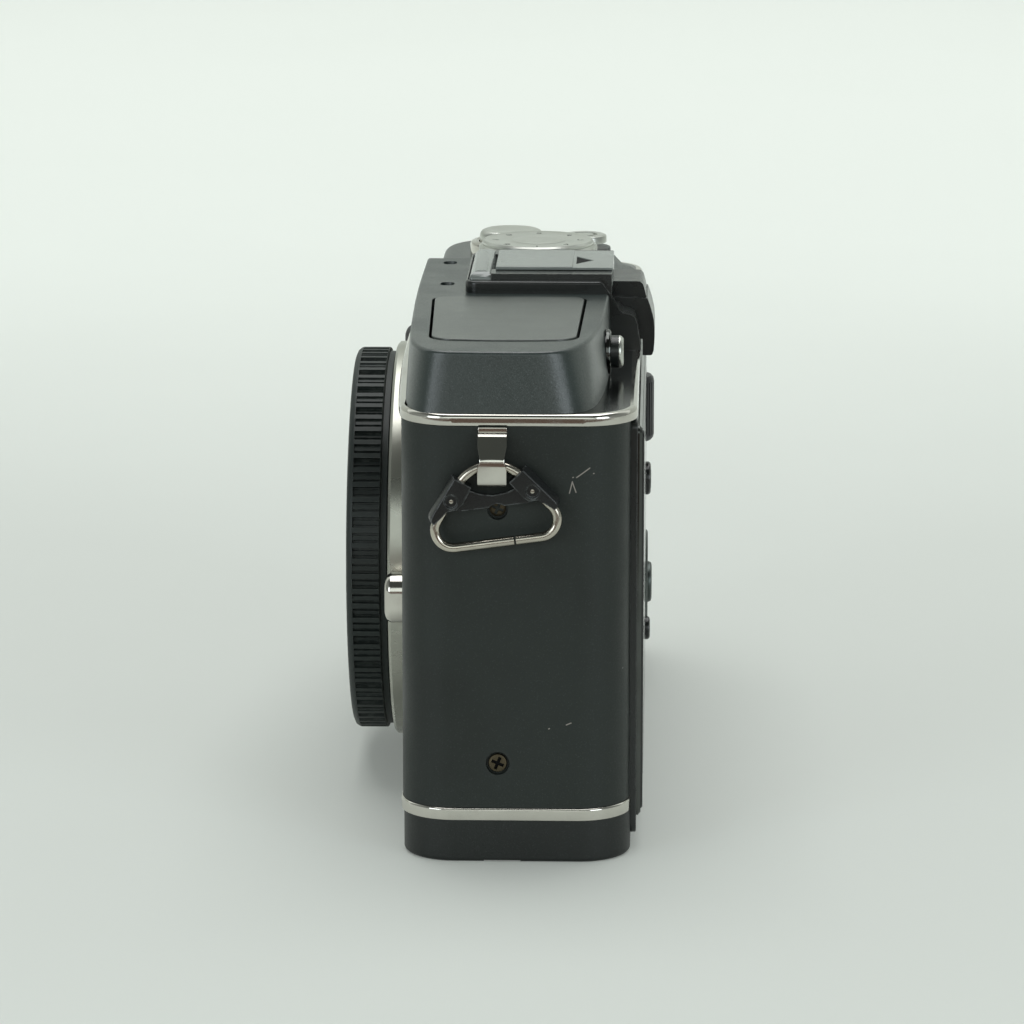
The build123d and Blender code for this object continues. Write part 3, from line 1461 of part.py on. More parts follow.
# Control wheel: a dished ring on a hub, with the OK button in its middle
with BuildPart() as control_wheel:
    with BuildSketch(upright(cover_y + seat_gap)):
        with Locations(wheel_spot):
            Circle(wheel_radius)
    extrude(amount=-wheel_height)
    chamfer(control_wheel.edges().group_by(Axis.Y)[-1], 0.4)
    with BuildSketch(upright(cover_y + seat_gap + wheel_height)):
        with Locations(wheel_spot):
            Circle(wheel_radius - 2.2)
    extrude(amount=wheel_dish, mode=Mode.SUBTRACT)
    with BuildSketch(upright(cover_y + seat_gap)):
        with Locations(wheel_spot):
            Circle(wheel_hub_radius)
    extrude(amount=rear_cover_wall + 2 * seat_gap + 1.0)
    with BuildSketch(upright(inner_rear_y - seat_gap)):
        with Locations(wheel_spot):
            Circle(wheel_hub_radius + 0.8)
    extrude(amount=1.0)
    with BuildSketch(upright(cover_y + seat_gap + wheel_height)):
        with Locations(wheel_spot):
            Circle(ok_radius + running_fit)
    extrude(amount=10, mode=Mode.SUBTRACT)
control_wheel.part.label = "control_wheel"
export_step(control_wheel.part, "parts/control_wheel.step")

with BuildPart() as ok_button:
    hub_back_y = inner_rear_y - seat_gap - 1.0
    with BuildSketch(upright(cover_y + ok_stand)):
        with Locations(wheel_spot):
            Circle(ok_radius)
    extrude(amount=cover_y + ok_stand - hub_back_y + seat_gap + 0.2)
    fillet(ok_button.edges().group_by(Axis.Y)[-1], 0.5)
    with BuildSketch(upright(hub_back_y - seat_gap)):
        with Locations(wheel_spot):
            Circle(ok_radius + 0.8)
    extrude(amount=0.9)
ok_button.part.label = "ok_button"
export_step(ok_button.part, "parts/ok_button.step")

# Control roller: grooved barrel on a vertical axle in the rear cover
with BuildPart() as control_roller:
    with BuildSketch(Plane.XY.offset(roller_z - roller_length / 2)):
        with Locations((roller_x, roller_y)):
            Circle(roller_radius)
            with PolarLocations(roller_radius, roller_groove_count):
                Rectangle(0.4, 0.4, rotation=45, mode=Mode.SUBTRACT)
    extrude(amount=roller_length)
    with Locations((roller_x, roller_y, roller_z)):
        Cylinder(0.5, roller_length + 2.4)
control_roller.part.label = "control_roller"
export_step(control_roller.part, "parts/control_roller.step")

# Thumb rest: a soft-edged pad on the rear cover
with BuildPart() as thumb_rest:
    with BuildSketch(upright(cover_y)):
        with Locations(thumb_spot):
            RectangleRounded(thumb_width, thumb_height, 3.0)
    extrude(amount=-thumb_stand, taper=12)
    fillet(thumb_rest.edges().group_by(Axis.Y)[-1], 0.8)
thumb_rest.part.label = "thumb_rest"
export_step(thumb_rest.part, "parts/thumb_rest.step")

# Front grip: a bulge with rounded ends on the front of the shell
with BuildPart() as front_grip:
    with BuildSketch(Plane.XY.offset(grip_bottom)) as grip_plan:
        half = grip_width / 2
        crest_y = shell_front_y - grip_stand
        with BuildLine():
            Polyline(
                (grip_x - half, shell_front_y),
                (grip_x - half * 0.75, crest_y),
                (grip_x + half * 0.2, crest_y),
                (grip_x + half, shell_front_y),
                close=True,
            )
        make_face()
        crest = grip_plan.vertices().group_by(Axis.Y)[0].sort_by(Axis.X)
        fillet(crest[:1], 2.6)
        crest = grip_plan.vertices().group_by(Axis.Y)[0].sort_by(Axis.X)
        fillet(crest[-1:], 3.4)
    extrude(amount=grip_top - grip_bottom)
    ends = front_grip.faces().filter_by(Axis.Z).edges()
    fillet([edge for edge in ends if edge.center().Y < shell_front_y - gap], 1.4)
front_grip.part.label = "front_grip"
export_step(front_grip.part, "parts/front_grip.step")

# Focus lamp window in the front of the shell
with BuildPart() as af_lamp:
    with BuildSketch(upright(inner_front_y)):
        with Locations(lamp_spot):
            Circle(lamp_radius)
    extrude(amount=shell_wall + 0.25)
    fillet(af_lamp.edges().group_by(Axis.Y)[0], 0.3)
    with BuildSketch(upright(inner_front_y + 0.15)):
        with Locations(lamp_spot):
            Circle(lamp_radius)
            Circle(lamp_radius + 0.6)
    extrude(amount=-0.7)
    with BuildSketch(upright(inner_front_y + 0.2)):
        with Locations(lamp_spot):
            Circle(lamp_radius)
    extrude(amount=0.3)
af_lamp.part.label = "af_lamp"
export_step(af_lamp.part, "parts/af_lamp.step")

# Strap lugs: a bent strip at each end of the body
with BuildPart() as strap_lugs:
    lug_plane = Plane.XZ.offset(-(lug_y + lug_width / 2))
    with BuildSketch(lug_plane):
        with BuildLine() as lug_line:
            FilletPolyline(
                (shell_near_x, lug_top),
                (shell_near_x + 0.9, lug_top),
                (shell_near_x + lug_reach, lug_knee),
                (shell_near_x + lug_reach, lug_bottom),
                (shell_near_x, lug_bottom),
                radius=0.7,
            )
        trace(line_width=lug_strip)
    extrude(amount=lug_width)
    fillet(strap_lugs.edges().filter_by(GeomType.LINE).group_by(Axis.X)[-1], 0.2)
    mirror(about=Plane.YZ.offset(mid_x))
strap_lugs.part.label = "strap_lugs"
export_step(strap_lugs.part, "parts/strap_lugs.step")

# Strap rings: a rounded triangle of wire, split in its base, tilted where it hangs
apex_drop = ring_top_radius / math.sin(math.atan(ring_base / 2 / ring_height)) - ring_top_radius
base_line = apex_drop - ring_height
tilt = math.radians(ring_tilt)
ring_plane = Plane(
    origin=(ring_x, ring_apex_y, ring_apex_z),
    x_dir=(0, math.cos(tilt), math.sin(tilt)),
    z_dir=(1, 0, 0),
)


def wire_ring(wire_radius):
    """Ring of round wire in its plane, from one side of the split to the other."""
    with BuildPart() as ring:
        with BuildLine(ring_plane) as wire_line:
            FilletPolyline(
                (ring_split_offset + ring_split / 2, base_line),
                (ring_base / 2, base_line),
                (0, apex_drop),
                (-ring_base / 2, base_line),
                (ring_split_offset - ring_split / 2, base_line),
                radius=(ring_corner_radius, ring_top_radius, ring_corner_radius),
            )
        with BuildSketch(Plane(origin=wire_line.line @ 0, z_dir=wire_line.line % 0)):
            Circle(wire_radius)
        sweep()
    return ring


strap_ring_near = wire_ring(ring_wire / 2)
strap_ring_near.part.label = "strap_ring_near"
export_step(strap_ring_near.part, "parts/strap_ring_near.step")

with BuildPart() as strap_ring_far:
    mirror(strap_ring_near.part, about=Plane.YZ.offset(mid_x))
strap_ring_far.part.label = "strap_ring_far"
export_step(strap_ring_far.part, "parts/strap_ring_far.step")

# Ring guards: two pads that clasp the ring's legs, joined by a strip behind the lug
channel_cutter = wire_ring(ring_wire / 2 + 0.04)
leg_angle = math.atan(ring_base / 2 / ring_height)


def on_leg(side, along, out):
    """Point of the ring's plane, measured down one leg from its sharp apex, and outwards from it."""
    x = along * math.sin(leg_angle) + out * math.cos(leg_angle)
    y = apex_drop - along * math.cos(leg_angle) + out * math.sin(leg_angle)
    return side * x, y


def pad_outline(side, lean):
    """Outline of one pad; lean draws its outer edge in, for the sloping flank."""
    outer = guard_half + guard_flank - lean
    with BuildSketch() as outline:
        with BuildLine():
            Polyline(
                on_leg(side, guard_start + 0.2, -guard_half),
                on_leg(side, guard_start - 0.3, outer),
                on_leg(side, guard_tip - 0.8, outer + 0.2),
                on_leg(side, guard_tip, outer - guard_flank - 0.3),
                on_leg(side, guard_tip - 0.8, -0.3),
                on_leg(side, guard_waist + 0.4, -0.55),
                on_leg(side, guard_waist - 0.4, -guard_half - 0.2),
                close=True,
            )
        make_face()
    return outline.sketch


with BuildPart() as ring_guard_near:
    for side in (-1, 1):
        with BuildSketch(ring_plane.offset(-guard_back)):
            add(pad_outline(side, 0))
        extrude(amount=guard_back)
        with BuildSketch(ring_plane):
            add(pad_outline(side, 0))
        with BuildSketch(ring_plane.offset(guard_front)):
            add(pad_outline(side, guard_flank + 0.15))
        loft()
    chamfer(ring_guard_near.faces().sort_by(Axis.X)[-2:].edges(), 0.12)
    strip_bottom = on_leg(1, guard_waist + 1.2, 0)
    strip_top = on_leg(1, guard_waist - 1.6, 0)
    with BuildSketch(ring_plane.offset(-guard_back)) as strip:
        with BuildLine():
            Polyline(
                (-strip_bottom[0] + 1.2, strip_bottom[1]),
                (strip_bottom[0] - 1.2, strip_bottom[1]),
                (strip_top[0], strip_top[1]),
                (0.62 * strip_top[0], strip_top[1] - 0.3),
                (0.33 * strip_top[0], strip_top[1] - 0.85),
                (-0.27 * strip_top[0], strip_top[1] - 0.85),
                (-0.6 * strip_top[0], strip_top[1] - 0.1),
                (-strip_top[0], strip_top[1]),
                close=True,
            )
        make_face()
        with Locations((0.3, strip_bottom[1] - 0.95)):
            Circle(guard_notch_radius, mode=Mode.SUBTRACT)
    extrude(amount=guard_strip)
    with BuildSketch(ring_plane.offset(guard_front)):
        with Locations(on_leg(1, guard_pin_at, 0.1), on_leg(-1, guard_pin_at, 0.1)):
            Circle(0.4)
    extrude(amount=0.1)
    add(channel_cutter.part, mode=Mode.SUBTRACT)
ring_guard_near.part.label = "ring_guard_near"
export_step(ring_guard_near.part, "parts/ring_guard_near.step")

with BuildPart() as ring_guard_far:
    mirror(ring_guard_near.part, about=Plane.YZ.offset(mid_x))
ring_guard_far.part.label = "ring_guard_far"
export_step(ring_guard_far.part, "parts/ring_guard_far.step")

# Hinge pins of the flash arms, the battery door and the side door
with BuildPart() as hinge_pins:
    for pin_low, pin_high in (
        (lid_far_x - 1.6, arm_far_x + arm_thickness),
        (arm_near_x, ear_near + 1.2),
    ):
        with Locations(((pin_low + pin_high) / 2, arm_pivot_y, arm_pivot_z)):
            Cylinder(arm_pin_radius, pin_high - pin_low, rotation=(0, 90, 0))
    with Locations((door_pin_x, door_y, door_z)):
        Cylinder(hinge_pin_radius, door_depth + 1.2 * box_wall, rotation=(90, 0, 0))
    with Locations((side_pin_x, side_pin_y, door_mid_z)):
        Cylinder(side_pin_radius, door_span + 1.8)
hinge_pins.part.label = "hinge_pins"
export_step(hinge_pins.part, "parts/hinge_pins.step")


def screw_head_cross(plane, radius):
    """Cross recess in a screw head that lies on the given plane."""
    with BuildSketch(plane) as cross:
        Rectangle(1.3 * radius, 0.3 * radius)
        Rectangle(0.3 * radius, 1.3 * radius)
    return cross.sketch


# Screws of the lens mount, the two ends and the base
screw_set = []
for angle in (45, 135, 225, 315):
    x = mount_screw_circle * math.cos(math.radians(angle))
    z = lens_z + mount_screw_circle * math.sin(math.radians(angle))
    length = chassis_back_y - flange_y + 1.0
    screw_set.append(((x, flange_y + 0.1, z), (0, -1, 0), mount_screw_radius, screw_head, length))
for height in side_screw_heights:
    for end_x, way in ((shell_near_x - 0.05, 1), (shell_far_x + 0.05, -1)):
        spot = (end_x, side_screw_y, height)
        side_sizes = (side_screw_radius, side_screw_head, side_screw_length)
        screw_set.append((spot, (way, 0, 0), *side_sizes))
for x, y in base_screw_spots:
    screw_set.append(((x, y, 0.1), (0, 0, -1), mount_screw_radius, screw_head, base_height - 1.0))
with BuildPart() as screws:
    for spot, out, radius, head, length in screw_set:
        screw_plane = Plane(origin=spot, z_dir=out)
        with BuildSketch(screw_plane):
            Circle(radius)
        extrude(amount=-head)
        with BuildSketch(screw_plane.offset(-head)):
            Circle(screw_shank_radius)
        extrude(amount=-(length - head))
        with BuildSketch(screw_plane):
            add(screw_head_cross(Plane.XY, radius))
        extrude(amount=-head / 2, mode=Mode.SUBTRACT)
screws.part.label = "screws"
export_step(screws.part, "parts/screws.step")
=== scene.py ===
"""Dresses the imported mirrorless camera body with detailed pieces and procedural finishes.

X runs along the body with +X at the flash end, Y rearwards, Z up. Pieces are shaped in
millimetres, where edit-mode tools keep their precision, and come down to metres when finished.
"""

import json
import logging
import math
from collections.abc import Callable, Sequence
from dataclasses import dataclass
from enum import Enum
from functools import cache

import bmesh
import bpy
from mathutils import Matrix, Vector

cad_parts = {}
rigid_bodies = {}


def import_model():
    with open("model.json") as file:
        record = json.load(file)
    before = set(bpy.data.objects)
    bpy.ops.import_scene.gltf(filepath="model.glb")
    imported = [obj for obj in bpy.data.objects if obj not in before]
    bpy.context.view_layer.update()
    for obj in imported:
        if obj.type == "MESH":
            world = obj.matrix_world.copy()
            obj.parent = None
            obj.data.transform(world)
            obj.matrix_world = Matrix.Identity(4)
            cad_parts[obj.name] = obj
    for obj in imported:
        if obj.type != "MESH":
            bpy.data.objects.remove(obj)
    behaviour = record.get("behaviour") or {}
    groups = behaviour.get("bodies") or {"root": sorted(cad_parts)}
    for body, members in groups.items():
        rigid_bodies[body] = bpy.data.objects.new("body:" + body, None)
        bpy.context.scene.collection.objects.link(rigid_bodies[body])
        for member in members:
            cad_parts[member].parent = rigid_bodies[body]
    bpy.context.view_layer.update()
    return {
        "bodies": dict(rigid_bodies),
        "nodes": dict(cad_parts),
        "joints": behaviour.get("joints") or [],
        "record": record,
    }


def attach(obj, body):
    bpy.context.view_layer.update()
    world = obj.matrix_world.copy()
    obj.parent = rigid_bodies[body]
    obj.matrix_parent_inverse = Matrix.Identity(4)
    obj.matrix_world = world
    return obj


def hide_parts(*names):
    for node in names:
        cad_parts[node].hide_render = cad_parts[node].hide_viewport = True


LOG = logging.getLogger("camera")
MM = 0.001
Point = tuple[float, float, float]
Spot = tuple[float, float]
Colour = tuple[float, float, float]
Socket = bpy.types.NodeSocket
Node = bpy.types.Node
BLACK: Colour = (0.0, 0.0, 0.0)
SHARPEST_SMOOTH = 32.0


def srgb(*parts: int) -> Colour:
    """Turn screen values from 0 to 255 into the linear colour that shaders take."""
    shares = [part / 255 for part in parts]
    return tuple(p / 12.92 if p < 0.04045 else ((p + 0.055) / 1.055) ** 2.4 for p in shares)


class Facing(Enum):
    """The way a flat blank looks: its normal, and the turn that gives it from upwards."""

    UP = ((0, 0, 1), (0, 0, 0))
    FRONT = ((0, -1, 0), (math.pi / 2, 0, 0))
    REAR = ((0, 1, 0), (math.pi / 2, 0, math.pi))
    NEAR = ((1, 0, 0), (math.pi / 2, 0, math.pi / 2))
    FAR = ((-1, 0, 0), (math.pi / 2, 0, -math.pi / 2))
    DOWN = ((0, 0, -1), (math.pi, 0, 0))

    @property
    def normal(self) -> Vector:
        """Unit vector the blank looks along."""
        return Vector(self.value[0])

    @property
    def turn(self) -> Point:
        """Euler turn that brings an upward blank to this facing."""
        return self.value[1]


class Part(Enum):
    """Kind of mesh element that a selection is made of."""

    VERT = "verts"
    EDGE = "edges"
    FACE = "faces"


UP, FRONT, REAR, NEAR, FAR, DOWN = Facing
VERT, EDGE, FACE = Part


class Wiring:
    """Short way to place and join the nodes of one tree."""

    def __init__(self, tree: bpy.types.NodeTree) -> None:
        """Work on the given tree."""
        self.tree = tree

    @property
    def place(self) -> Socket:
        """Place on the piece, in Object coordinates."""
        return self.add("TexCoord").outputs["Object"]

    def feed(self, node: Node, **inputs: object) -> Node:
        """Set or join a node's inputs.

        Args:
            node: The node.
            **inputs: Attributes, or sockets by name with _ for each space, or by i and a number.

        Returns:
            The node.
        """
        for key, value in inputs.items():
            if hasattr(node, key):
                setattr(node, key, value)
                continue
            socket = node.inputs[int(key[1:]) if key[1:].isdigit() else key.replace("_", " ")]
            if isinstance(value, Socket):
                self.tree.links.new(value, socket)
            else:
                socket.default_value = value
        return node

    def add(self, kind: str, **inputs: object) -> Node:
        """Place a shader node of a kind and feed its inputs."""
        return self.feed(self.tree.nodes.new("ShaderNode" + kind), **inputs)

    def math(self, operation: str, first: object, second: object = 0.0, clamp: bool = False) -> Socket:
        """Work out two numbers or sockets, held between 0 and 1 if clamped."""
        return self.add("Math", operation=operation, use_clamp=clamp, i0=first, i1=second).outputs[0]

    def times(self, *parts: object, clamp: bool = False) -> Socket:
        """Multiply three numbers or sockets, held between 0 and 1 if clamped."""
        return self.math("MULTIPLY", self.math("MULTIPLY", *parts[:2]), parts[2], clamp)

    def vector(self, operation: str, first: object, second: object = BLACK) -> Node:
        """Place a node that works out two vectors."""
        return self.add("VectorMath", operation=operation, i0=first, i1=second)

    def span(self, value: object, low: float, high: float, to_low: float = 0.0, to_high: float = 1.0) -> Socket:
        """Map a range of a value smoothly onto another one, held at its ends."""
        ends = {"i1": low, "i2": high, "i3": to_low, "i4": to_high}
        return self.add("MapRange", interpolation_type="SMOOTHSTEP", i0=value, **ends).outputs[0]

    def noise(self, scale: object, detail: float, place: Socket | None = None) -> Socket:
        """Noise of a scale and detail over the piece."""
        return self.add("TexNoise", Vector=place or self.place, Scale=scale, Detail=detail).outputs[0]

    def blend(self, share: object, first: object, second: object) -> Socket:
        """Mix two colours by the share of the second."""
        rgba = [value if isinstance(value, Socket) else (*value, 1.0) for value in (first, second)]
        return self.add("Mix", data_type="RGBA", i0=share, i6=rgba[0], i7=rgba[1]).outputs[2]


class EffectGroup:
    """Builds the node groups that several finishes share, each of them once."""

    @staticmethod
    def start(name: str, inputs: dict[str, float], outputs: Sequence[str]) -> tuple[Wiring, dict, Node]:
        """Open a new group with named inputs and outputs.

        Args:
            name: Name of the group.
            inputs: Names and defaults of its inputs.
            outputs: Names of its outputs, of which Normal is a vector.

        Returns:
            The group's wiring, its inputs' sockets and its output node.
        """
        group = bpy.data.node_groups.new(name, "ShaderNodeTree")
        for label, value in inputs.items():
            socket = group.interface.new_socket(label, in_out="INPUT", socket_type="NodeSocketFloat")
            socket.default_value = value
        for label in outputs:
            kind = "NodeSocketVector" if label == "Normal" else "NodeSocketFloat"
            group.interface.new_socket(label, in_out="OUTPUT", socket_type=kind)
        given = group.nodes.new("NodeGroupInput")
        return Wiring(group), given.outputs, group.nodes.new("NodeGroupOutput")

    @staticmethod
    @cache
    def grain() -> bpy.types.NodeTree:
        """Fine moulded or sprayed grain, with slow patches in its tone.

        Returns:
            The group, with outputs Height and Tone.
        """
        inputs = {"Scale": 4000.0, "Patch Scale": 60.0}
        wires, given, result = EffectGroup.start("surface_grain", inputs, ("Height", "Tone"))
        patch = wires.span(wires.noise(given["Patch Scale"], 3.0), 0.35, 0.65)
        wires.feed(result, Height=wires.noise(given["Scale"], 2.0), Tone=patch)
        return wires.tree

    @staticmethod
    @cache
    def flakes() -> bpy.types.NodeTree:
        """Metal flakes in paint: each one tips the surface its own way, and a few get a painted highlight.

        Returns:
            The group, with outputs Glint and Normal.
        """
        inputs = {"Scale": 6000.0, "Spread": 0.2}
        wires, given, result = EffectGroup.start("paint_flakes", inputs, ("Glint", "Normal"))
        cells = wires.add("TexVoronoi", Vector=wires.place, Scale=given["Scale"]).outputs["Color"]
        tip = wires.vector("SUBTRACT", cells, (0.5, 0.5, 0.5)).outputs[0]
        scaled = wires.add("VectorMath", operation="SCALE", i0=tip, Scale=given["Spread"]).outputs[0]
        tipped = wires.vector("ADD", scaled, wires.add("NewGeometry").outputs["Normal"]).outputs[0]
        shade = wires.add("SeparateColor", i0=cells).outputs[1]
        wires.feed(result, Glint=wires.span(shade, 0.9, 1.0), Normal=wires.vector("NORMALIZE", tipped).outputs[0])
        return wires.tree

    @staticmethod
    @cache
    def wear() -> bpy.types.NodeTree:
        """Rubbed edges, which on the guard are partly a painted highlight: bright where the surface turns within the
        radius, broken up by noise.

        Returns:
            The group, with output Mask.
        """
        wires, given, result = EffectGroup.start("edge_wear", {"Radius": 0.0003, "Amount": 0.5}, ("Mask",))
        rounded = wires.add("Bevel", samples=4, Radius=given["Radius"]).outputs[0]
        agree = wires.vector("DOT_PRODUCT", rounded, wires.add("NewGeometry").outputs["Normal"])
        edge = wires.span(agree.outputs["Value"], 0.995, 0.9)
        broken = wires.span(wires.noise(900.0, 4.0), 0.42, 0.62)
        wires.feed(result, Mask=wires.times(edge, broken, given["Amount"], clamp=True))
        return wires.tree

    @staticmethod
    @cache
    def dust() -> bpy.types.NodeTree:
        """Scattered specks of dust.

        Returns:
            The group, with output Mask.
        """
        wires, given, result = EffectGroup.start("dust_specks", {"Scale": 260.0, "Amount": 0.5}, ("Mask",))
        cells = wires.add("TexVoronoi", Vector=wires.place, Scale=given["Scale"]).outputs
        chosen = wires.span(wires.add("SeparateColor", i0=cells["Color"]).outputs[0], 0.93, 0.97)
        core = wires.span(cells["Distance"], 0.05, 0.02)
        wires.feed(result, Mask=wires.times(chosen, core, given["Amount"], clamp=True))
        return wires.tree


def new_material(name: str) -> tuple[bpy.types.Material, Wiring, Node]:
    """Start a material with a main shader.

    Args:
        name: Name of the material.

    Returns:
        The material, its wiring and its main shader.
    """
    material = bpy.data.materials.new(name)
    material.use_nodes = True
    return material, Wiring(material.node_tree), material.node_tree.nodes["Principled BSDF"]


@dataclass(frozen=True)
class Finish:
    """Plain moulded finish: colour, grain, patches of tone, edge wear (on the guard partly a painted highlight) and
    dust.
    """

    name: str
    colour: Colour
    roughness: float
    slot: str
    metallic: float = 0.0
    specular: float = 0.5
    grain_scale: float = 5000.0
    grain_depth: float = 0.00002
    tone: float = 0.15
    wear: float = 0.25
    wear_colour: Colour = (0.18, 0.18, 0.18)
    wear_radius: float = 0.00025
    dust: float = 0.35

    def material(self) -> bpy.types.Material:
        """Build the material, or hand back the one that has its name.

        Returns:
            The Blender material.
        """
        if self.name in bpy.data.materials:
            return bpy.data.materials[self.name]
        material, wires, shader = new_material(self.name)
        wires.feed(shader, Metallic=self.metallic, Specular_IOR_Level=self.specular)
        self.wire(wires, shader)
        return material

    def grained(self, wires: Wiring, shader: Node) -> tuple[Socket, Socket]:
        """Wire the grain into roughness, and work out the base colour with its patches.

        Args:
            wires: Wiring of the material.
            shader: Its main shader.

        Returns:
            The colour and the grain's height.
        """
        grain = wires.add("Group", node_tree=EffectGroup.grain(), Scale=self.grain_scale).outputs
        darker = tuple(part * (1 - self.tone) for part in self.colour)
        lighter = tuple(min(1.0, part * (1 + self.tone)) for part in self.colour)
        spread = 0.12 * self.roughness
        rough = wires.span(grain["Tone"], 0.0, 1.0, self.roughness - spread, self.roughness + spread)
        wires.feed(shader, Roughness=rough)
        return wires.blend(grain["Tone"], darker, lighter), grain["Height"]

    def worn(self, wires: Wiring, colour: Socket) -> Socket:
        """Lay edge wear, on the guard partly a painted highlight, and dust over a colour.

        Args:
            wires: Wiring of the material.
            colour: Colour underneath.

        Returns:
            The colour with wear and dust.
        """
        if self.wear:
            wear = wires.add("Group", node_tree=EffectGroup.wear(), Radius=self.wear_radius, Amount=self.wear)
            colour = wires.blend(wear.outputs["Mask"], colour, self.wear_colour)
        if self.dust:
            dust = wires.add("Group", node_tree=EffectGroup.dust(), Amount=self.dust)
            colour = wires.blend(dust.outputs["Mask"], colour, (0.45, 0.45, 0.42))
        return colour

    def wire(self, wires: Wiring, shader: Node) -> None:
        """Wire the whole finish.

        Args:
            wires: Wiring of the material.
            shader: Its main shader.
        """
        colour, height = self.grained(wires, shader)
        bump = wires.add("Bump", Height=height, Distance=self.grain_depth, Strength=0.6)
        wires.feed(shader, Base_Color=self.worn(wires, colour), Normal=bump.outputs[0])


@dataclass(frozen=True)
class Paint(Finish):
    """Sprayed satin paint with fine metal flakes in it, the brightest with a painted highlight."""

    flake_scale: float = 7000.0
    flake_spread: float = 0.1
    glint: float = 0.12
    scratches: tuple[tuple[Spot, Spot], ...] = ()
    scratch_colour: Colour = (0.30, 0.27, 0.24)
    scratch_half: float = 0.00006

    def scratch_mask(self, wires: Wiring) -> Socket:
        """Mask of thin scratches on the near end, each from one depth and height to another.

        Args:
            wires: Wiring of the material.

        Returns:
            The mask.
        """
        whole = wires.place
        place = wires.vector("MULTIPLY", whole, (0.0, 1.0, 1.0)).outputs[0]
        total = 0.0
        for start, end in self.scratches:
            foot, run = (Vector((0, *start)) * MM, Vector((0, end[0] - start[0], end[1] - start[1])) * MM)
            offset = wires.vector("SUBTRACT", place, tuple(foot)).outputs[0]
            along = wires.vector("DOT_PRODUCT", offset, tuple(run / run.length_squared)).outputs["Value"]
            held = wires.math("MINIMUM", wires.math("MAXIMUM", along), 1.0)
            reach = wires.add("VectorMath", operation="SCALE", i0=tuple(run), Scale=held).outputs[0]
            apart = wires.vector("DISTANCE", offset, reach).outputs["Value"]
            near = wires.span(apart, self.scratch_half * 1.6, self.scratch_half * 0.6)
            total = wires.math("MAXIMUM", total, near)
        at_end = wires.math("GREATER_THAN", wires.add("SeparateXYZ", i0=whole).outputs[0], 50 * MM)
        return wires.times(total, at_end, wires.span(wires.noise(1500.0, 3.0, whole), 0.22, 0.36))

    def wire(self, wires: Wiring, shader: Node) -> None:
        """Wire the paint: flakes with their painted highlights over the grain, then scratches, wear and dust.

        Args:
            wires: Wiring of the material.
            shader: Its main shader.
        """
        colour, height = self.grained(wires, shader)
        sizes = {"Scale": self.flake_scale, "Spread": self.flake_spread}
        flakes = wires.add("Group", node_tree=EffectGroup.flakes(), **sizes).outputs
        # Painted highlight: the brightest flakes are mixed towards a light blue-grey that stands in for their sparkle.
        glint = wires.math("MULTIPLY", flakes["Glint"], self.glint)
        colour = self.worn(wires, wires.blend(glint, colour, (0.5, 0.52, 0.55)))
        if self.scratches:
            colour = wires.blend(self.scratch_mask(wires), colour, self.scratch_colour)
        bump = wires.add("Bump", Height=height, Distance=self.grain_depth, Strength=0.5, Normal=flakes["Normal"])
        wires.feed(shader, Base_Color=colour, Normal=bump.outputs[0])


@dataclass(frozen=True)
class Metal(Finish):
    """Bare or plated metal with fine lines and smudges."""

    metallic: float = 1.0
    line_scale: Point = (300.0, 300.0, 300.0)
    line_depth: float = 0.0
    smudge: float = 0.05
    wear: float = 0.0
    dust: float = 0.0

    def wire(self, wires: Wiring, shader: Node) -> None:
        """Wire the metal: stretched noise for its lines, slow noise for its smudges.

        Args:
            wires: Wiring of the material.
            shader: Its main shader.
        """
        smudge = wires.span(wires.noise(180.0, 4.0), 0.35, 0.7)
        darker = tuple(part * (1 - self.tone) for part in self.colour)
        colour = self.worn(wires, wires.blend(wires.math("MULTIPLY", smudge, 0.8), self.colour, darker))
        rough = wires.span(smudge, 0.0, 1.0, self.roughness, self.roughness + self.smudge)
        wires.feed(shader, Base_Color=colour, Roughness=rough)
        if self.line_depth:
            stretched = wires.add("Mapping", Vector=wires.place, Scale=self.line_scale).outputs[0]
            lines = wires.noise(10.0, 2.0, stretched)
            bump = wires.add("Bump", Height=lines, Distance=self.line_depth, Strength=0.6)
            wires.feed(shader, Normal=bump.outputs[0])


def quarter(radius: float, steps: int = 5) -> list[Spot]:
    """Inward and upward steps of a rounded rim, from upright to flat."""
    turns = [math.pi / 2 * step / steps for step in range(steps + 1)]
    return [
        (radius * (math.cos(low) - math.cos(high)), radius * (math.sin(high) - math.sin(low)))
        for low, high in zip(turns, turns[1:])
    ]


def arc(centre: Spot, radius: float, start: float, end: float, steps: int) -> list[Spot]:
    """Points along an arc round a centre, from one angle in degrees to another."""
    turns = [math.radians(start + (end - start) * step / steps) for step in range(steps + 1)]
    return [(centre[0] + radius * math.cos(turn), centre[1] + radius * math.sin(turn)) for turn in turns]


def through(points: Sequence[Spot], steps: int) -> list[Spot]:
    """Smooth open line through points.

    Args:
        points: The points.
        steps: Steps between two of them.

    Returns:
        Points along the line.
    """
    ends = [points[0], *points, points[-1]]
    line = []
    for spots in zip(ends, ends[1:], ends[2:], ends[3:]):
        for step in range(steps):
            t = step / steps
            weights = (-t + 2 * t**2 - t**3, 2 - 5 * t**2 + 3 * t**3, t + 4 * t**2 - 3 * t**3, t**3 - t**2)
            line.append(tuple(sum(w * spot[axis] for w, spot in zip(weights, spots)) / 2 for axis in (0, 1)))
    return [*line, points[-1]]


def turn_slot(across: float, x: float, sides: int) -> int:
    """Which side of a turned piece a facet at an offset from its axis belongs to."""
    return int(math.degrees(math.atan2(across, x)) % 360 / 360 * sides)


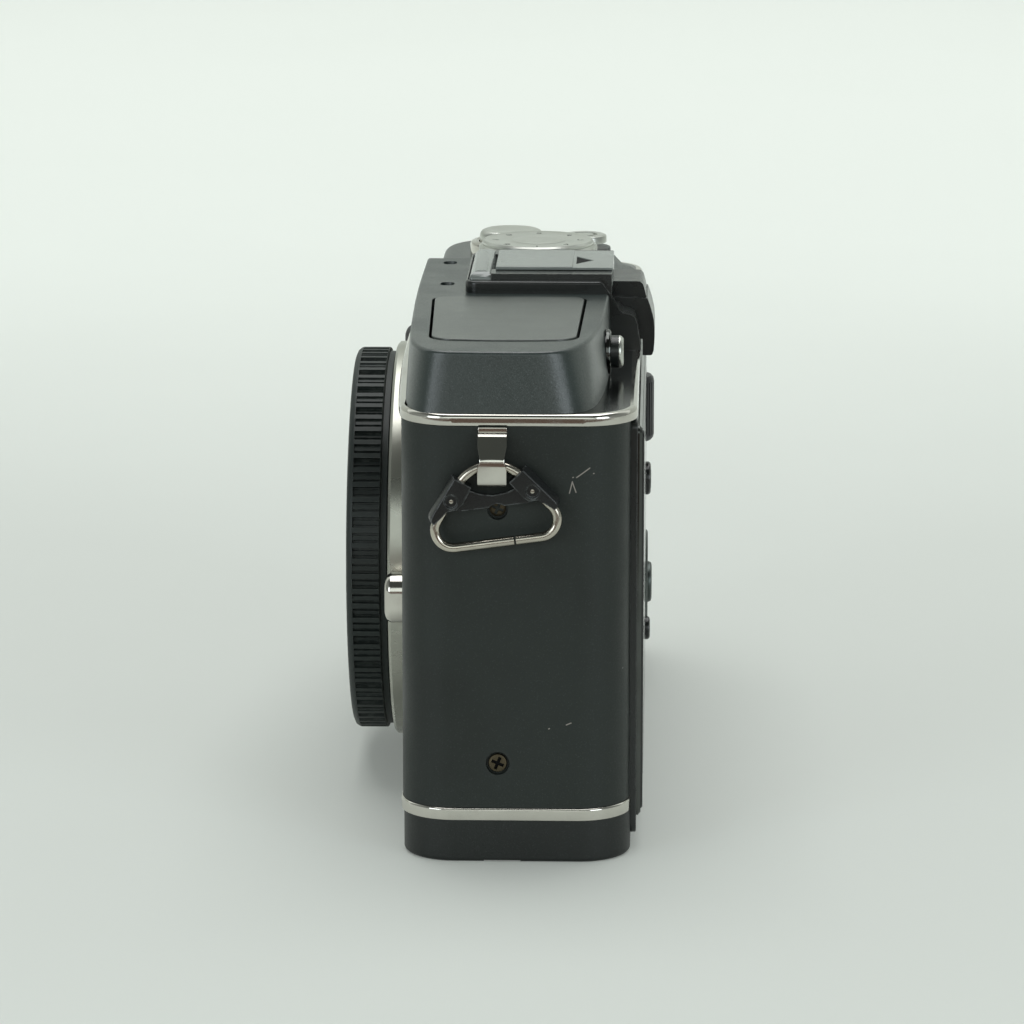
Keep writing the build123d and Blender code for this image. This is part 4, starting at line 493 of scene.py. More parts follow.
class Piece:
    """One mesh while it is shaped with Blender's own tools, in millimetres."""

    def __init__(self, name: str, facing: Facing = UP) -> None:
        """Take the active object, just added, as a new piece in edit mode.

        Args:
            name: Name of the piece.
            facing: The way its blank looks.
        """
        self.object: bpy.types.Object = bpy.context.object
        self.object.name = self.object.data.name = name
        self.normal = facing.normal
        bpy.ops.object.transform_apply(location=True, rotation=True, scale=True)
        self.edit()

    @staticmethod
    def clear() -> None:
        """Leave edit mode and deselect everything, so that a primitive starts alone."""
        if bpy.context.object and bpy.context.object.mode != "OBJECT":
            bpy.ops.object.mode_set(mode="OBJECT")
        bpy.ops.object.select_all(action="DESELECT")

    @classmethod
    def start(cls, name: str, scale: Sequence[float], facing: Facing, add: Callable, **how: object) -> "Piece":
        """Add a primitive as a new piece, in edit mode with all of it selected.

        Args:
            name: Name of the piece.
            scale: Its scale along the primitive's own axes.
            facing: The way it looks.
            add: Blender's call that adds the primitive.
            **how: What the call is given.

        Returns:
            The piece.
        """
        cls.clear()
        add(rotation=facing.turn, **how)
        bpy.context.object.scale = scale
        return cls(name, facing)

    @classmethod
    def plate(cls, name: str, centre: Point, size: Spot, facing: Facing = UP) -> "Piece":
        """Start from a flat rectangle of a width across and a height or depth."""
        return cls.start(name, (*size, 1), facing, bpy.ops.mesh.primitive_plane_add, size=1, location=centre)

    @classmethod
    def disc(cls, name: str, centre: Point, radius: float, facing: Facing = UP, sides: int = 48) -> "Piece":
        """Start from a flat disc of a radius and a number of sides."""
        how = {"vertices": sides, "radius": radius, "fill_type": "NGON", "location": centre}
        return cls.start(name, (1, 1, 1), facing, bpy.ops.mesh.primitive_circle_add, **how)

    @classmethod
    def block(cls, name: str, low: Point, high: Point) -> "Piece":
        """Start from a box between its lowest and its highest corner."""
        size, middle = Vector(high) - Vector(low), (Vector(low) + Vector(high)) / 2
        return cls.start(name, size, UP, bpy.ops.mesh.primitive_cube_add, size=1, location=middle)

    @classmethod
    def outline(cls, name: str, corners: Sequence[Point], facing: Facing = UP) -> "Piece":
        """Start from a flat face with its corners in the given places, in order round it."""
        places = iter(corners)
        return cls.disc(name, corners[0], 1, facing, len(corners)).mould(lambda place: next(places))

    @classmethod
    def bar(cls, name: str, corners: Sequence[Spot], low_x: float, high_x: float) -> "Piece":
        """Draw a side profile of depths and heights, and extrude it along the body."""
        return cls.outline(name, [(low_x, y, z) for y, z in corners], NEAR).extrude(high_x - low_x)

    @classmethod
    def rod(
        cls, name: str, centre: Point, radius: float, length: float, facing: Facing = UP, sides: int = 48
    ) -> "Piece":
        """Start from a disc extruded the way it looks."""
        return cls.disc(name, centre, radius, facing, sides).extrude(length)

    @classmethod
    def lathe(cls, name: str, centre: Point, profile: Sequence[Spot], facing: Facing = UP, sides: int = 48) -> "Piece":
        """Start from a disc raised along a turned profile of radii and heights."""
        return cls.disc(name, centre, profile[0][0], facing, sides).turned(profile, centre)

    @classmethod
    def slab(cls, name: str, centre: Point, size: Spot, radius: float, steps: int, facing: Facing = UP) -> "Piece":
        """Start from a flat rectangle with rounded corners."""
        return cls.plate(name, centre, size, facing).round_corner(radius, steps)

    def activate(self) -> None:
        """Make it the active and selected object."""
        self.object.select_set(True)
        bpy.context.view_layer.objects.active = self.object

    def edit(self) -> "Piece":
        """Open it in edit mode with everything selected."""
        self.activate()
        bpy.ops.object.mode_set(mode="EDIT")
        bpy.ops.mesh.select_all(action="SELECT")
        return self

    def pick(self, kind: Part, test: Callable[..., bool] = lambda element: True) -> "Piece":
        """Select the vertices, edges or faces that pass a test, and nothing else.

        Args:
            kind: Which kind of element to select.
            test: Takes the element and says whether it is wanted.

        Returns:
            The piece.
        """
        bpy.ops.mesh.select_mode(type=kind.name)
        bpy.ops.mesh.select_all(action="DESELECT")
        mesh = bmesh.from_edit_mesh(self.object.data)
        for element in getattr(mesh, kind.value):
            if test(element):
                element.select_set(True)
        mesh.select_flush_mode()
        bmesh.update_edit_mesh(self.object.data)
        return self

    def edges(self, test: Callable[[Vector], bool]) -> "Piece":
        """Select the edges whose two ends both pass a test of their place."""
        return self.pick(EDGE, lambda edge: all(test(vert.co) for vert in edge.verts))

    def extrude(self, length: float, way: Point | None = None) -> "Piece":
        """Extrude what is selected.

        Args:
            length: How far to extrude.
            way: Direction, or nothing for the way the blank looks.

        Returns:
            The piece.
        """
        move = (Vector(way) if way else self.normal) * length
        bpy.ops.mesh.extrude_region_move(TRANSFORM_OT_translate={"value": move})
        return self

    def inset(self, width: float, depth: float = 0.0, each: bool = False) -> "Piece":
        """Inset the selected faces by a width and move them along their normal."""
        bpy.ops.mesh.inset(thickness=width, depth=depth, use_individual=each, use_even_offset=True)
        return self

    def resize(self, share: Point, centre: Point) -> "Piece":
        """Scale what is selected about a centre."""
        bpy.ops.transform.resize(value=share, center_override=centre)
        return self

    def rotate(self, angle: float, axis: str, centre: Point) -> "Piece":
        """Turn what is selected about X, Y or Z through a centre."""
        bpy.ops.transform.rotate(value=angle, orient_axis=axis, orient_type="GLOBAL", center_override=centre)
        return self

    def mould(self, place: Callable[[Vector], Sequence[float]]) -> "Piece":
        """Move every selected vertex to the place that a function gives for it.

        Args:
            place: Takes a vertex's place and gives its new one.

        Returns:
            The piece.
        """
        mesh = bmesh.from_edit_mesh(self.object.data)
        for vert in mesh.verts:
            if vert.select:
                vert.co = place(vert.co)
        bmesh.update_edit_mesh(self.object.data)
        return self

    def round(self, width: float, segments: int = 3, affect: str = "EDGES") -> "Piece":
        """Bevel the selected edges, or the selected corners of a flat face."""
        bpy.ops.mesh.bevel(offset=width, segments=segments, affect=affect, clamp_overlap=False)
        return self

    def round_corner(self, radius: float, steps: int = 12, test: Callable[..., bool] = lambda vert: True) -> "Piece":
        """Round the right-angled corners of a flat blank, and select it all.

        Args:
            radius: Radius of the corners.
            steps: Steps round each corner.
            test: Says which corners are rounded.

        Returns:
            The piece.
        """
        self.pick(VERT, test).round(radius, steps, "VERTICES")
        bpy.ops.mesh.select_all(action="SELECT")
        return self

    def rise(self, *steps: Spot) -> "Piece":
        """Raise the selected face through sloping steps, each inward and upward."""
        for inward, upward in steps:
            self.inset(inward, upward)
        return self

    def delete(self, kind: Part) -> "Piece":
        """Delete what is selected."""
        bpy.ops.mesh.delete(type=kind.name)
        return self

    def hollow(self, width: float, height: float) -> "Piece":
        """Turn a flat blank into a band of a width and raise it."""
        return self.inset(width).delete(FACE).pick(FACE).extrude(height)

    def spin(self, angle: float, centre: Point, axis: Point, steps: int) -> "Piece":
        """Sweep what is selected round an axis through a centre, by the right-hand rule."""
        bpy.ops.mesh.spin(steps=steps, angle=-angle, center=centre, axis=axis)
        return self

    def turned(self, profile: Sequence[Spot], centre: Point) -> "Piece":
        """Raise a disc along a turned profile, step by step.

        Args:
            profile: Radius and height of each step, from the disc's own on.
            centre: Middle of the disc at height 0.

        Returns:
            The piece, with the end face selected.
        """
        for (radius, height), (next_radius, next_height) in zip(profile, profile[1:]):
            self.extrude(next_height - height)
            if abs(next_radius - radius) > 1e-6:
                share = [1 if part else next_radius / radius for part in self.normal]
                self.resize(tuple(share), tuple(Vector(centre) + self.normal * next_height))
        return self

    def solid(self) -> "Piece":
        """Merge doubles, turn every face outwards, and leave edit mode."""
        self.clear()
        self.edit()
        bpy.ops.mesh.remove_doubles(threshold=0.0005)
        bpy.ops.mesh.normals_make_consistent(inside=False)
        self.clear()
        return self

    def press(self, test: Callable[[bmesh.types.BMFace], bool], width: float, depth: float) -> "Piece":
        """Press in each facet that passes a test, by a depth and inside a border."""
        return self.solid().edit().pick(FACE, test).inset(width, -depth, each=True)

    def modify(self, kind: str, **settings: object) -> None:
        """Apply a modifier.

        Args:
            kind: Kind of the modifier.
            **settings: Its settings.
        """
        modifier = self.object.modifiers.new(kind.lower(), kind)
        for key, value in settings.items():
            setattr(modifier, key, value)
        bpy.ops.object.modifier_apply(modifier=modifier.name)

    def cut(self, *tools: "Piece", union: bool = False) -> "Piece":
        """Take other pieces away from this one, or join them to it, and use them up.

        Args:
            *tools: The pieces to use.
            union: Whether they are joined.

        Returns:
            The piece.
        """
        self.solid()
        for tool in tools:
            tool.solid()
            bpy.context.view_layer.objects.active = self.object
            self.modify("BOOLEAN", operation="UNION" if union else "DIFFERENCE", solver="EXACT", object=tool.object)
            bpy.data.meshes.remove(tool.object.data)
        return self

    def join(self, *others: "Piece") -> "Piece":
        """Make other pieces part of this one as separate shells.

        Args:
            *others: The pieces to take in.

        Returns:
            The piece.
        """
        for piece in (self, *others):
            piece.solid()
        for other in others:
            other.object.select_set(True)
        self.activate()
        bpy.ops.object.join()
        self.clear()
        return self

    def twin(self, name: str, middle_x: float) -> "Piece":
        """Copy the piece, mirrored across the body.

        Args:
            name: Name of the copy.
            middle_x: Where the mirror stands.

        Returns:
            The mirrored copy.
        """
        self.solid()
        self.activate()
        bpy.ops.object.duplicate()
        copy = Piece(name)
        copy.object.select_set(True)
        bpy.ops.transform.mirror(constraint_axis=(True, False, False), center_override=(middle_x, 0, 0))
        return copy.solid()

    def finish(self, finish: Finish, body: str, node: str = "", edge: float = 0.0, segments: int = 2) -> None:
        """Soften its edges, bring it to metres, and give it its finish and its body.

        Args:
            finish: Finish of the whole piece.
            body: CAD body that it moves with.
            node: CAD node that it stands for, or none.
            edge: Width of the softened edges, or 0 for none.
            segments: Steps of the softened edges.
        """
        self.solid()
        self.activate()
        target, sharp = self.object, math.radians(SHARPEST_SMOOTH)
        if edge:
            self.modify("BEVEL", width=edge, segments=segments, limit_method="ANGLE", angle_limit=sharp)
        target.scale = (MM, MM, MM)
        bpy.ops.object.transform_apply(location=True, rotation=True, scale=True)
        bpy.ops.object.shade_smooth_by_angle(angle=sharp)
        self.modify("WEIGHTED_NORMAL", keep_sharp=True)
        target.data.materials.clear()
        target.data.materials.append(finish.material())
        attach(target, body)
        if node:
            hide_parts(node)
        LOG.info("%s: %d faces on %s", target.name, len(target.data.polygons), body)
        self.clear()


def aim(target: bpy.types.Object, way: Vector) -> None:
    """Point a light or a camera along a way."""
    target.rotation_mode = "QUATERNION"
    target.rotation_quaternion = way.to_track_quat("-Z", "Y")


@dataclass
class Softbox:
    """One square soft light."""

    name: str
    place: Point
    target: Point
    size: float
    power: float
    colour: Colour = (1.0, 1.0, 1.0)

    def build(self) -> None:
        """Add the light and point it at its target."""
        bpy.ops.object.light_add(type="AREA", location=self.place)
        light = bpy.context.object
        light.name = self.name
        light.data.energy, light.data.size, light.data.color = self.power, self.size, self.colour
        aim(light, Vector(self.target) - Vector(self.place))


@dataclass
class Studio:
    """Floor, backdrop, lights, world and camera."""

    camera_place: Point = (0.6575, 0.0182, 0.17487)
    camera_yaw: float = 1.8
    camera_pitch: float = 12.12
    lens: float = 171.25
    floor_near: Colour = srgb(194, 198, 193)
    floor_far: Colour = srgb(224, 229, 223)
    near_glow: float = 0.18
    far_glow: float = 0.35
    softboxes: tuple[Softbox, ...] = (
        Softbox("overhead_softbox", (-0.35, 0.0, 1.6), (-0.08, 0.0, 0.0), 1.4, 16.5),
        Softbox("front_window_softbox", (0.93, -0.84, 0.37), (0.0, 0.0, 0.05), 0.55, 3.3, (0.88, 0.96, 1.0)),
        Softbox("rear_window_softbox", (0.93, 0.84, 0.37), (0.0, 0.0, 0.05), 0.55, 3.3, (0.88, 0.96, 1.0)),
    )

    def floor_material(self) -> bpy.types.Material:
        """Pale floor that grows lighter towards the back, with faint mottling.

        Returns:
            The floor's material.
        """
        material, wires, shader = new_material("studio_floor")
        place = wires.place
        x = wires.add("SeparateXYZ", i0=place).outputs[0]
        mottle = wires.span(wires.noise(9.0, 3.0, place), 0.3, 0.7, -0.03, 0.03)
        share = wires.math("ADD", wires.span(x, -0.02, -0.48), mottle, clamp=True)
        ray = wires.add("LightPath").outputs
        mirrored = wires.math("MAXIMUM", ray["Is Glossy Ray"], ray["Is Transmission Ray"])
        seen = wires.math("MAXIMUM", ray["Is Camera Ray"], mirrored)
        glow = wires.math("MULTIPLY", seen, wires.span(x, -0.2, -1.0, self.near_glow, self.far_glow))
        colours = {
            "Base_Color": wires.blend(share, self.floor_near, self.floor_far),
            "Emission_Color": wires.blend(glow, BLACK, self.floor_far),
        }
        wires.feed(shader, **colours, Emission_Strength=1.0, Roughness=0.75, Specular_IOR_Level=0.2)
        return material

    def build(self) -> None:
        """Build the whole stage."""
        sweep = Piece.plate("studio_sweep", (0, 0, 0), (3.6, 12.0)).edges(lambda spot: spot.x < -1.7)
        sweep.spin(math.pi / 2, (-1.8, 0, 0.6), (0, 1, 0), 16).extrude(1.2)
        bpy.ops.object.mode_set(mode="OBJECT")
        bpy.ops.object.shade_smooth()
        sweep.object.data.materials.append(self.floor_material())
        for softbox in self.softboxes:
            softbox.build()
        self.lay_card()
        self.build_world()
        self.build_camera()
        Piece.clear()

    def lay_card(self) -> None:
        """Lay a brown card on the floor ahead, seen only in polished pieces."""
        card = Piece.plate("brown_card", (0.44, 0, 0.002), (0.44, 1.0)).object
        Piece.clear()
        material, wires, shader = new_material("brown_card")
        wires.feed(shader, Base_Color=(0.12, 0.07, 0.05, 1.0), Roughness=0.9)
        card.data.materials.append(material)
        card.visible_camera = card.visible_diffuse = card.visible_shadow = False

    def build_world(self) -> None:
        """Set a room that is bright behind and above the camera body and dim in front of it."""
        world = bpy.context.scene.world = bpy.data.worlds.new("studio_room")
        world.use_nodes = True
        wires = Wiring(world.node_tree)
        x, y, z = wires.add("SeparateXYZ", i0=wires.add("TexCoord").outputs["Generated"]).outputs
        sides = wires.span(wires.math("ABSOLUTE", y), 0.45, 0.95, 0.0, 0.25)
        above = wires.span(z, 0.94, 1.0, 0.0, 0.7)
        level = wires.math("MAXIMUM", wires.span(x, -0.1, -0.6), wires.math("MAXIMUM", sides, above))
        room = wires.blend(level, (0.07, 0.078, 0.072), (0.94, 1.0, 0.96))
        under = wires.math("MULTIPLY", wires.span(x, 0.6, 0.8), wires.span(z, 0.09, 0.04))
        room = wires.blend(under, room, (0.13, 0.05, 0.035))
        window = wires.times(wires.span(z, 0.06, 0.13), wires.span(z, 0.58, 0.46), wires.span(x, 0.8, 0.9))
        room = wires.blend(window, room, (1.2, 1.3, 1.25))
        wires.feed(world.node_tree.nodes["Background"], Color=room, Strength=1.0)

    def build_camera(self) -> None:
        """Place the camera at the photograph's angle."""
        yaw, pitch = math.radians(self.camera_yaw), math.radians(self.camera_pitch)
        look = (-math.cos(yaw) * math.cos(pitch), -math.sin(yaw) * math.cos(pitch), -math.sin(pitch))
        bpy.ops.object.camera_add(location=self.camera_place)
        camera = bpy.context.scene.camera = bpy.context.object
        camera.name = "studio_camera"
        aim(camera, Vector(look))
        camera.data.sensor_width, camera.data.lens = 36.0, self.lens
        camera.data.clip_start, camera.data.clip_end = 0.01, 20.0
        bpy.context.scene.view_settings.view_transform = "Standard"


PAINT = Paint(
    "satin_black_paint", srgb(30, 36, 33), 0.46, "body_paint", specular=0.4, flake_scale=9000.0, flake_spread=0.08,
    glint=0.02, wear_colour=(0.10, 0.10, 0.10), dust=0.5,
    scratches=(
        ((7.48, 50.4), (9.12, 51.58)), ((6.99, 50.4), (7.06, 50.43)), ((6.58, 48.38), (6.94, 49.86)),
        ((6.94, 49.8), (7.4, 48.5)), ((9.6, 50.85), (9.65, 50.87)), ((6.25, 18.25), (6.85, 18.5)),
        ((4.0, 17.7), (4.1, 17.75)),
    ),
)
BLOCK_PAINT = Paint(
    "sparkling_black_paint", srgb(33, 44, 42), 0.33, "body_paint", specular=0.8, flake_scale=10000.0,
    glint=0.06, wear_colour=(0.12, 0.12, 0.12), dust=0.4,
)
BASE_PAINT = Paint(
    "base_black_paint", srgb(16, 21, 19), 0.42, "body_paint", flake_scale=9000.0, flake_spread=0.08, glint=0.02,
    wear_colour=(0.1, 0.1, 0.1),
)
GLOSS_PAINT = Paint(
    "glossy_black_paint", srgb(20, 22, 21), 0.1, "body_paint", flake_scale=9000.0, flake_spread=0.02, glint=0.03,
    wear_colour=(0.16, 0.15, 0.13),
)
# Painted light: the lid's black paint is set to a lighter grey that stands in for the light on its top.
LID_PAINTED_LIGHT = Paint(
    "lid_paint", srgb(76, 81, 77), 0.34, "body_paint", specular=0.9, flake_scale=10000.0, flake_spread=0.06,
    glint=0.04, dust=0.4,
)
SHOE_PAINT = Paint(
    "shoe_paint", srgb(30, 33, 31), 0.25, "body_paint", specular=0.8, flake_scale=8000.0, flake_spread=0.05,
    glint=0.03, wear=0.6, wear_colour=(0.2, 0.2, 0.18),
)
CHROME = Metal("polished_chrome", srgb(206, 203, 195), 0.07, "trim_chrome", smudge=0.08, tone=0.14)
BLACK_CHROME = Metal("black_chrome", srgb(84, 86, 84), 0.12, "trim_chrome", tone=0.2)
WIRE = Metal("polished_wire", srgb(196, 190, 178), 0.13, "trim_chrome", smudge=0.12, tone=0.22)
MOUNT = Metal(
    "turned_mount_steel", srgb(186, 186, 176), 0.27, "mount_steel", line_scale=(6.0, 900.0, 6.0), line_depth=0.000003
)
CAP = Finish(
    "cap_moulding", srgb(38, 44, 42), 0.46, "cap_plastic", specular=0.35, grain_depth=0.00001, wear=0.35,
    wear_colour=(0.10, 0.11, 0.10),
)
MOULDING = Finish("black_moulding", srgb(26, 29, 28), 0.34, "black_plastic", grain_scale=7000.0)
SMOOTH = Finish(
    "smooth_moulding", srgb(28, 31, 30), 0.26, "black_plastic", grain_scale=7000.0, grain_depth=0.000006, wear=0.35
)
# Its light edge wear is partly rubbed plastic and partly a painted highlight along the rounded edges of the pads.
GUARD = Finish(
    "guard_moulding", srgb(26, 28, 28), 0.22, "black_plastic", grain_scale=9000.0, wear=0.6,
    wear_colour=(0.24, 0.26, 0.26), wear_radius=0.0003,
)
# Painted light: the black moulding of the shoe's cover and its front bar is set to a mid grey that stands in for the
# light on their tops.
SLIDE_PAINTED_LIGHT = Finish(
    "slide_moulding", srgb(124, 130, 126), 0.17, "black_plastic", specular=1.0, grain_scale=6000.0,
    grain_depth=0.00001, wear=0.3,
)
# Near-black matt fill: in the screw crosses it is painted shade, and it also colours the arrow on the shoe's cover.
MATT = Finish("matt_recess", srgb(12, 12, 12), 0.8, "black_plastic", specular=0.2, wear=0.0, dust=0.0)
MARK = Finish("engraved_mark", srgb(30, 30, 30), 0.6, "black_plastic", wear=0.0, dust=0.0)
CONTROL = Metal(
    "satin_control_metal", srgb(200, 202, 195), 0.30, "control_metal", line_scale=(400.0, 400.0, 20.0),
    line_depth=0.000006,
)
# Painted shade: a darker copy of the control metal that stands in for the shade on the rear wheel and its middle
# button.
WHEEL_PAINTED_SHADE = Metal("wheel_metal", srgb(84, 90, 88), 0.35, "control_metal", tone=0.2)
DARK = Metal("dark_plated_metal", srgb(70, 70, 72), 0.35, "dark_metal")
SCREW = Metal("worn_screw", srgb(92, 84, 68), 0.36, "plain_steel", smudge=0.2, tone=0.6)
STEEL = Metal("plain_steel", srgb(150, 146, 134), 0.34, "plain_steel", smudge=0.15, tone=0.45)
RUBBER = Finish("grained_rubber", srgb(28, 29, 29), 0.62, "grip_rubber", grain_scale=1600.0, grain_depth=0.00018)
GILT = Metal("contact_gilt", srgb(226, 190, 120), 0.22, "contact_gilt")
SCREEN = Finish("display_cover", srgb(9, 10, 12), 0.06, "cover_glass", grain_depth=0.0, wear=0.0, dust=0.25)
FILTER = Finish("coated_filter", srgb(60, 105, 100), 0.05, "filter_glass", grain_depth=0.0, wear=0.0, dust=0.1)
WINDOW = Finish("frosted_window", srgb(214, 214, 205), 0.3, "window_plastic", wear=0.0)
LAMP = Finish("amber_lamp", srgb(150, 70, 30), 0.15, "lamp_plastic", wear=0.0)
SENSOR = Finish("sensor_ceramic", srgb(70, 62, 80), 0.2, "sensor_chip", wear=0.0)
BOARD = Finish("circuit_board", srgb(24, 92, 54), 0.4, "circuit_board", grain_scale=900.0, tone=0.4)
INNER = Finish("inner_moulding", srgb(58, 58, 58), 0.5, "inner_plastic")
CELL = Finish("cell_wrap", srgb(82, 82, 84), 0.42, "cell_plastic")

PLAIN = (
    PAINT, CHROME, MOUNT, CAP, MOULDING, CONTROL, DARK, STEEL, RUBBER, GILT, SCREEN, FILTER, WINDOW, LAMP, SENSOR,
    BOARD, INNER, CELL,
)
BY_SLOT: dict[str, Finish] = {finish.slot: finish for finish in PLAIN}


@dataclass
class Envelope:
    """Sizes of the body that its sub-assemblies share."""

    near_x: float = 57.5
    far_x: float = -64.5
    front_y: float = -15.15
    rear_y: float = 15.15
    cover_y: float = 14.2
    corner: float = 7.0
    base_height: float = 5.6
    trim: float = 1.6
    proud: float = 0.2
    shell_height: float = 49.7
    lens_z: float = 30.0
    flange_y: float = -18.2
    swell: float = 1.55

    @property
    def mid_x(self) -> float:
        """Middle of the body's length."""
        return (self.near_x + self.far_x) / 2

    @property
    def shell_z(self) -> float:
        """Height of the shell's foot."""
        return self.base_height + self.trim

    @property
    def upper_z(self) -> float:
        """Height of the upper trim's foot."""
        return self.shell_z + self.shell_height

    @property
    def deck_z(self) -> float:
        """Height of the deck on the upper trim."""
        return self.upper_z + self.trim

    def plan(self, name: str, inset: float, rear: float, height: float) -> Piece:
        """Flat blank with the body's rounded outline.

        Args:
            name: Name of the piece.
            inset: How far it is drawn in.
            rear: Depth of its rear edge.
            height: Height it lies at.

        Returns:
            The blank.
        """
        depth = rear - self.front_y - inset
        place, size = (self.mid_x, rear - depth / 2, height), (self.near_x - self.far_x - 2 * inset, depth)
        return Piece.slab(name, place, size, self.corner - inset, 20)


@dataclass
class BodyWork:
    """Painted shell, base plate and the two chromed trims."""

    env: Envelope
    wall: float = 1.2
    rear_margin: float = 7.1
    throat: float = 21.0
    screw_y: float = -2.5
    screw_heights: Spot = (13.1, 46.2)
    side_door: tuple[Spot, Spot] = ((-6.3, 6.3), (19.0, 40.0))
    mount_radius: float = 27.1

    def build(self) -> None:
        """Build every piece of the body work."""
        self.build_shell()
        self.build_base()
        self.build_trims()

    def build_shell(self) -> None:
        """Wrap of sheet with its openings."""
        env, front = self.env, self.env.front_y + 3
        shell = env.plan("shell_wrap", env.proud, env.cover_y, env.shell_z).hollow(self.wall, env.shell_height)
        low, high = env.far_x + self.rear_margin, env.near_x - self.rear_margin
        (door_front, door_rear), (bottom, top) = self.side_door
        tools = [
            Piece.block("rear_opening", (low, env.cover_y - 3, env.shell_z - 1), (high, env.rear_y, env.upper_z + 1)),
            Piece.rod("throat", (0, front, env.lens_z), self.throat, 6, FRONT, 96),
            Piece.slab("release_slot", (32.5, front, env.lens_z - 1.06), (5.2, 6.75), 2.35, 10, FRONT).extrude(6),
            Piece.rod("lamp_hole", (-32, front, 50), 2.1, 6, FRONT, 40),
            Piece.block("door_opening", (env.far_x - 1, door_front, bottom), (env.far_x + 2.5, door_rear, top)),
        ]
        for height, radius, depth in zip(self.screw_heights, (1.5, 1.3), (0.9, 1.15)):
            for end_x, facing in ((env.near_x - depth, NEAR), (env.far_x + depth, FAR)):
                tools.append(Piece.rod("screw_recess", (end_x, self.screw_y, height), radius, 3, facing, 40))
        shell.cut(*tools).finish(PAINT, "camera", "body_shell", 0.06, 1)

    def build_base(self) -> None:
        """Tray with a rounded foot, the battery bay, the tripod bore and the relief."""
        env = self.env
        base = env.plan("base_tray", 0.35, env.cover_y + 0.2, 0.0).extrude(env.base_height)
        base.edges(lambda spot: spot.z < 0.01).round(0.6, 5)
        base.cut(
            Piece.block("battery_bay", (-60.2, -12.4, -1), (-22.8, 7.4, 8)),
            Piece.rod("insert_seat", (0, 0, -1), 6.1, 9, sides=64),
            Piece.block("foot_relief", (-14.8, -4.3, -1), (60, 0.4, 0.22)),
            Piece.block("latch_notch", (-61.2, -4.3, 0.5), (-60, -0.7, 1.95)),
            *(Piece.rod("screw_seat", (x, y, -1), 1.7, 2.2, sides=32) for x, y in Fasteners.base_spots),
        )
        base.finish(BASE_PAINT, "camera", "base_plate", 0.08, 1)

    def round_rims(self, band: Piece, foot: float, rims: Sequence[Point], reach: Callable[[Vector], bool]) -> None:
        """Round the outer edges of a band.

        Args:
            band: The band.
            foot: Height of its foot.
            rims: Height over the foot, radius and steps of each rounding.
            reach: Whether a place is on the band's outside.
        """
        for up, radius, steps in rims:
            band.edges(lambda spot: abs(spot.z - foot - up) < 0.01 and reach(spot)).round(radius, steps)

    def on_outline(self, spot: Vector, rear: float) -> bool:
        """Whether a point is a corner radius away from the core of the body's widest outline.

        Args:
            spot: The point.
            rear: Depth of the outline's rear edge.

        Returns:
            Whether it is.
        """
        env = self.env
        across = max(abs(spot.x - env.mid_x) - (env.near_x - env.far_x) / 2 + env.corner, 0.0)
        along = max(env.front_y + env.corner - spot.y, spot.y - rear + env.corner, 0.0)
        return math.hypot(across, along) > env.corner - 0.3

    def swollen_front(self) -> list[Point]:
        """Front edge of the upper trim, which swells forward over the lens mount.

        Returns:
            Its points, with the two that close it behind.
        """
        env = self.env
        half = [(x, env.front_y - env.swell * (1 - (x / 53) ** 2)) for x in (0, 12, 24, 34, 42)]
        half += [(46, -15.54), (49, -15.33), (51, -15.12), (52, -14.95), (53, -14.64)]
        spots = through([(-x, y) for x, y in half[:0:-1]] + half, 4)
        return [(x, y, env.upper_z) for x, y in ((-53, -14.2), *spots, (53, -14.2))]

    def build_trims(self) -> None:
        """Lower band with its flat upper bevel, and the rounder upper band."""
        env, rims = self.env, ((self.env.trim, 0.62, 5), (0.0, 0.3, 2))
        bands = []
        for name, rear, foot, width, edges in (
            ("lower_band", env.cover_y + 0.25, env.base_height, 1.6, ((env.trim, 0.32, 3), (0.0, 0.12, 2))),
            ("upper_band", env.rear_y, env.upper_z, 1.0, rims),
        ):
            bands.append(env.plan(name, 0.0, rear, foot).hollow(width, env.trim))
            self.round_rims(bands[-1], foot, edges, lambda spot: self.on_outline(spot, rear))
        lower, upper = bands
        ledge = env.plan("upper_ledge", 0.9, env.rear_y - 0.9, env.upper_z).hollow(2.1, 0.8)
        swell = Piece.outline("swell", self.swollen_front()).extrude(env.trim)
        self.round_rims(swell, env.upper_z, rims, lambda spot: spot.y < -14.3)
        upper.cut(swell, union=True)
        for band in bands:
            place = (0, env.front_y + 0.2, env.lens_z)
            band.cut(Piece.rod("mount_clearance", place, self.mount_radius + 0.1, 3, FRONT, 128))
        lower.finish(CHROME, "camera", "lower_trim")
        upper.join(ledge).finish(CHROME, "camera", "upper_trim")


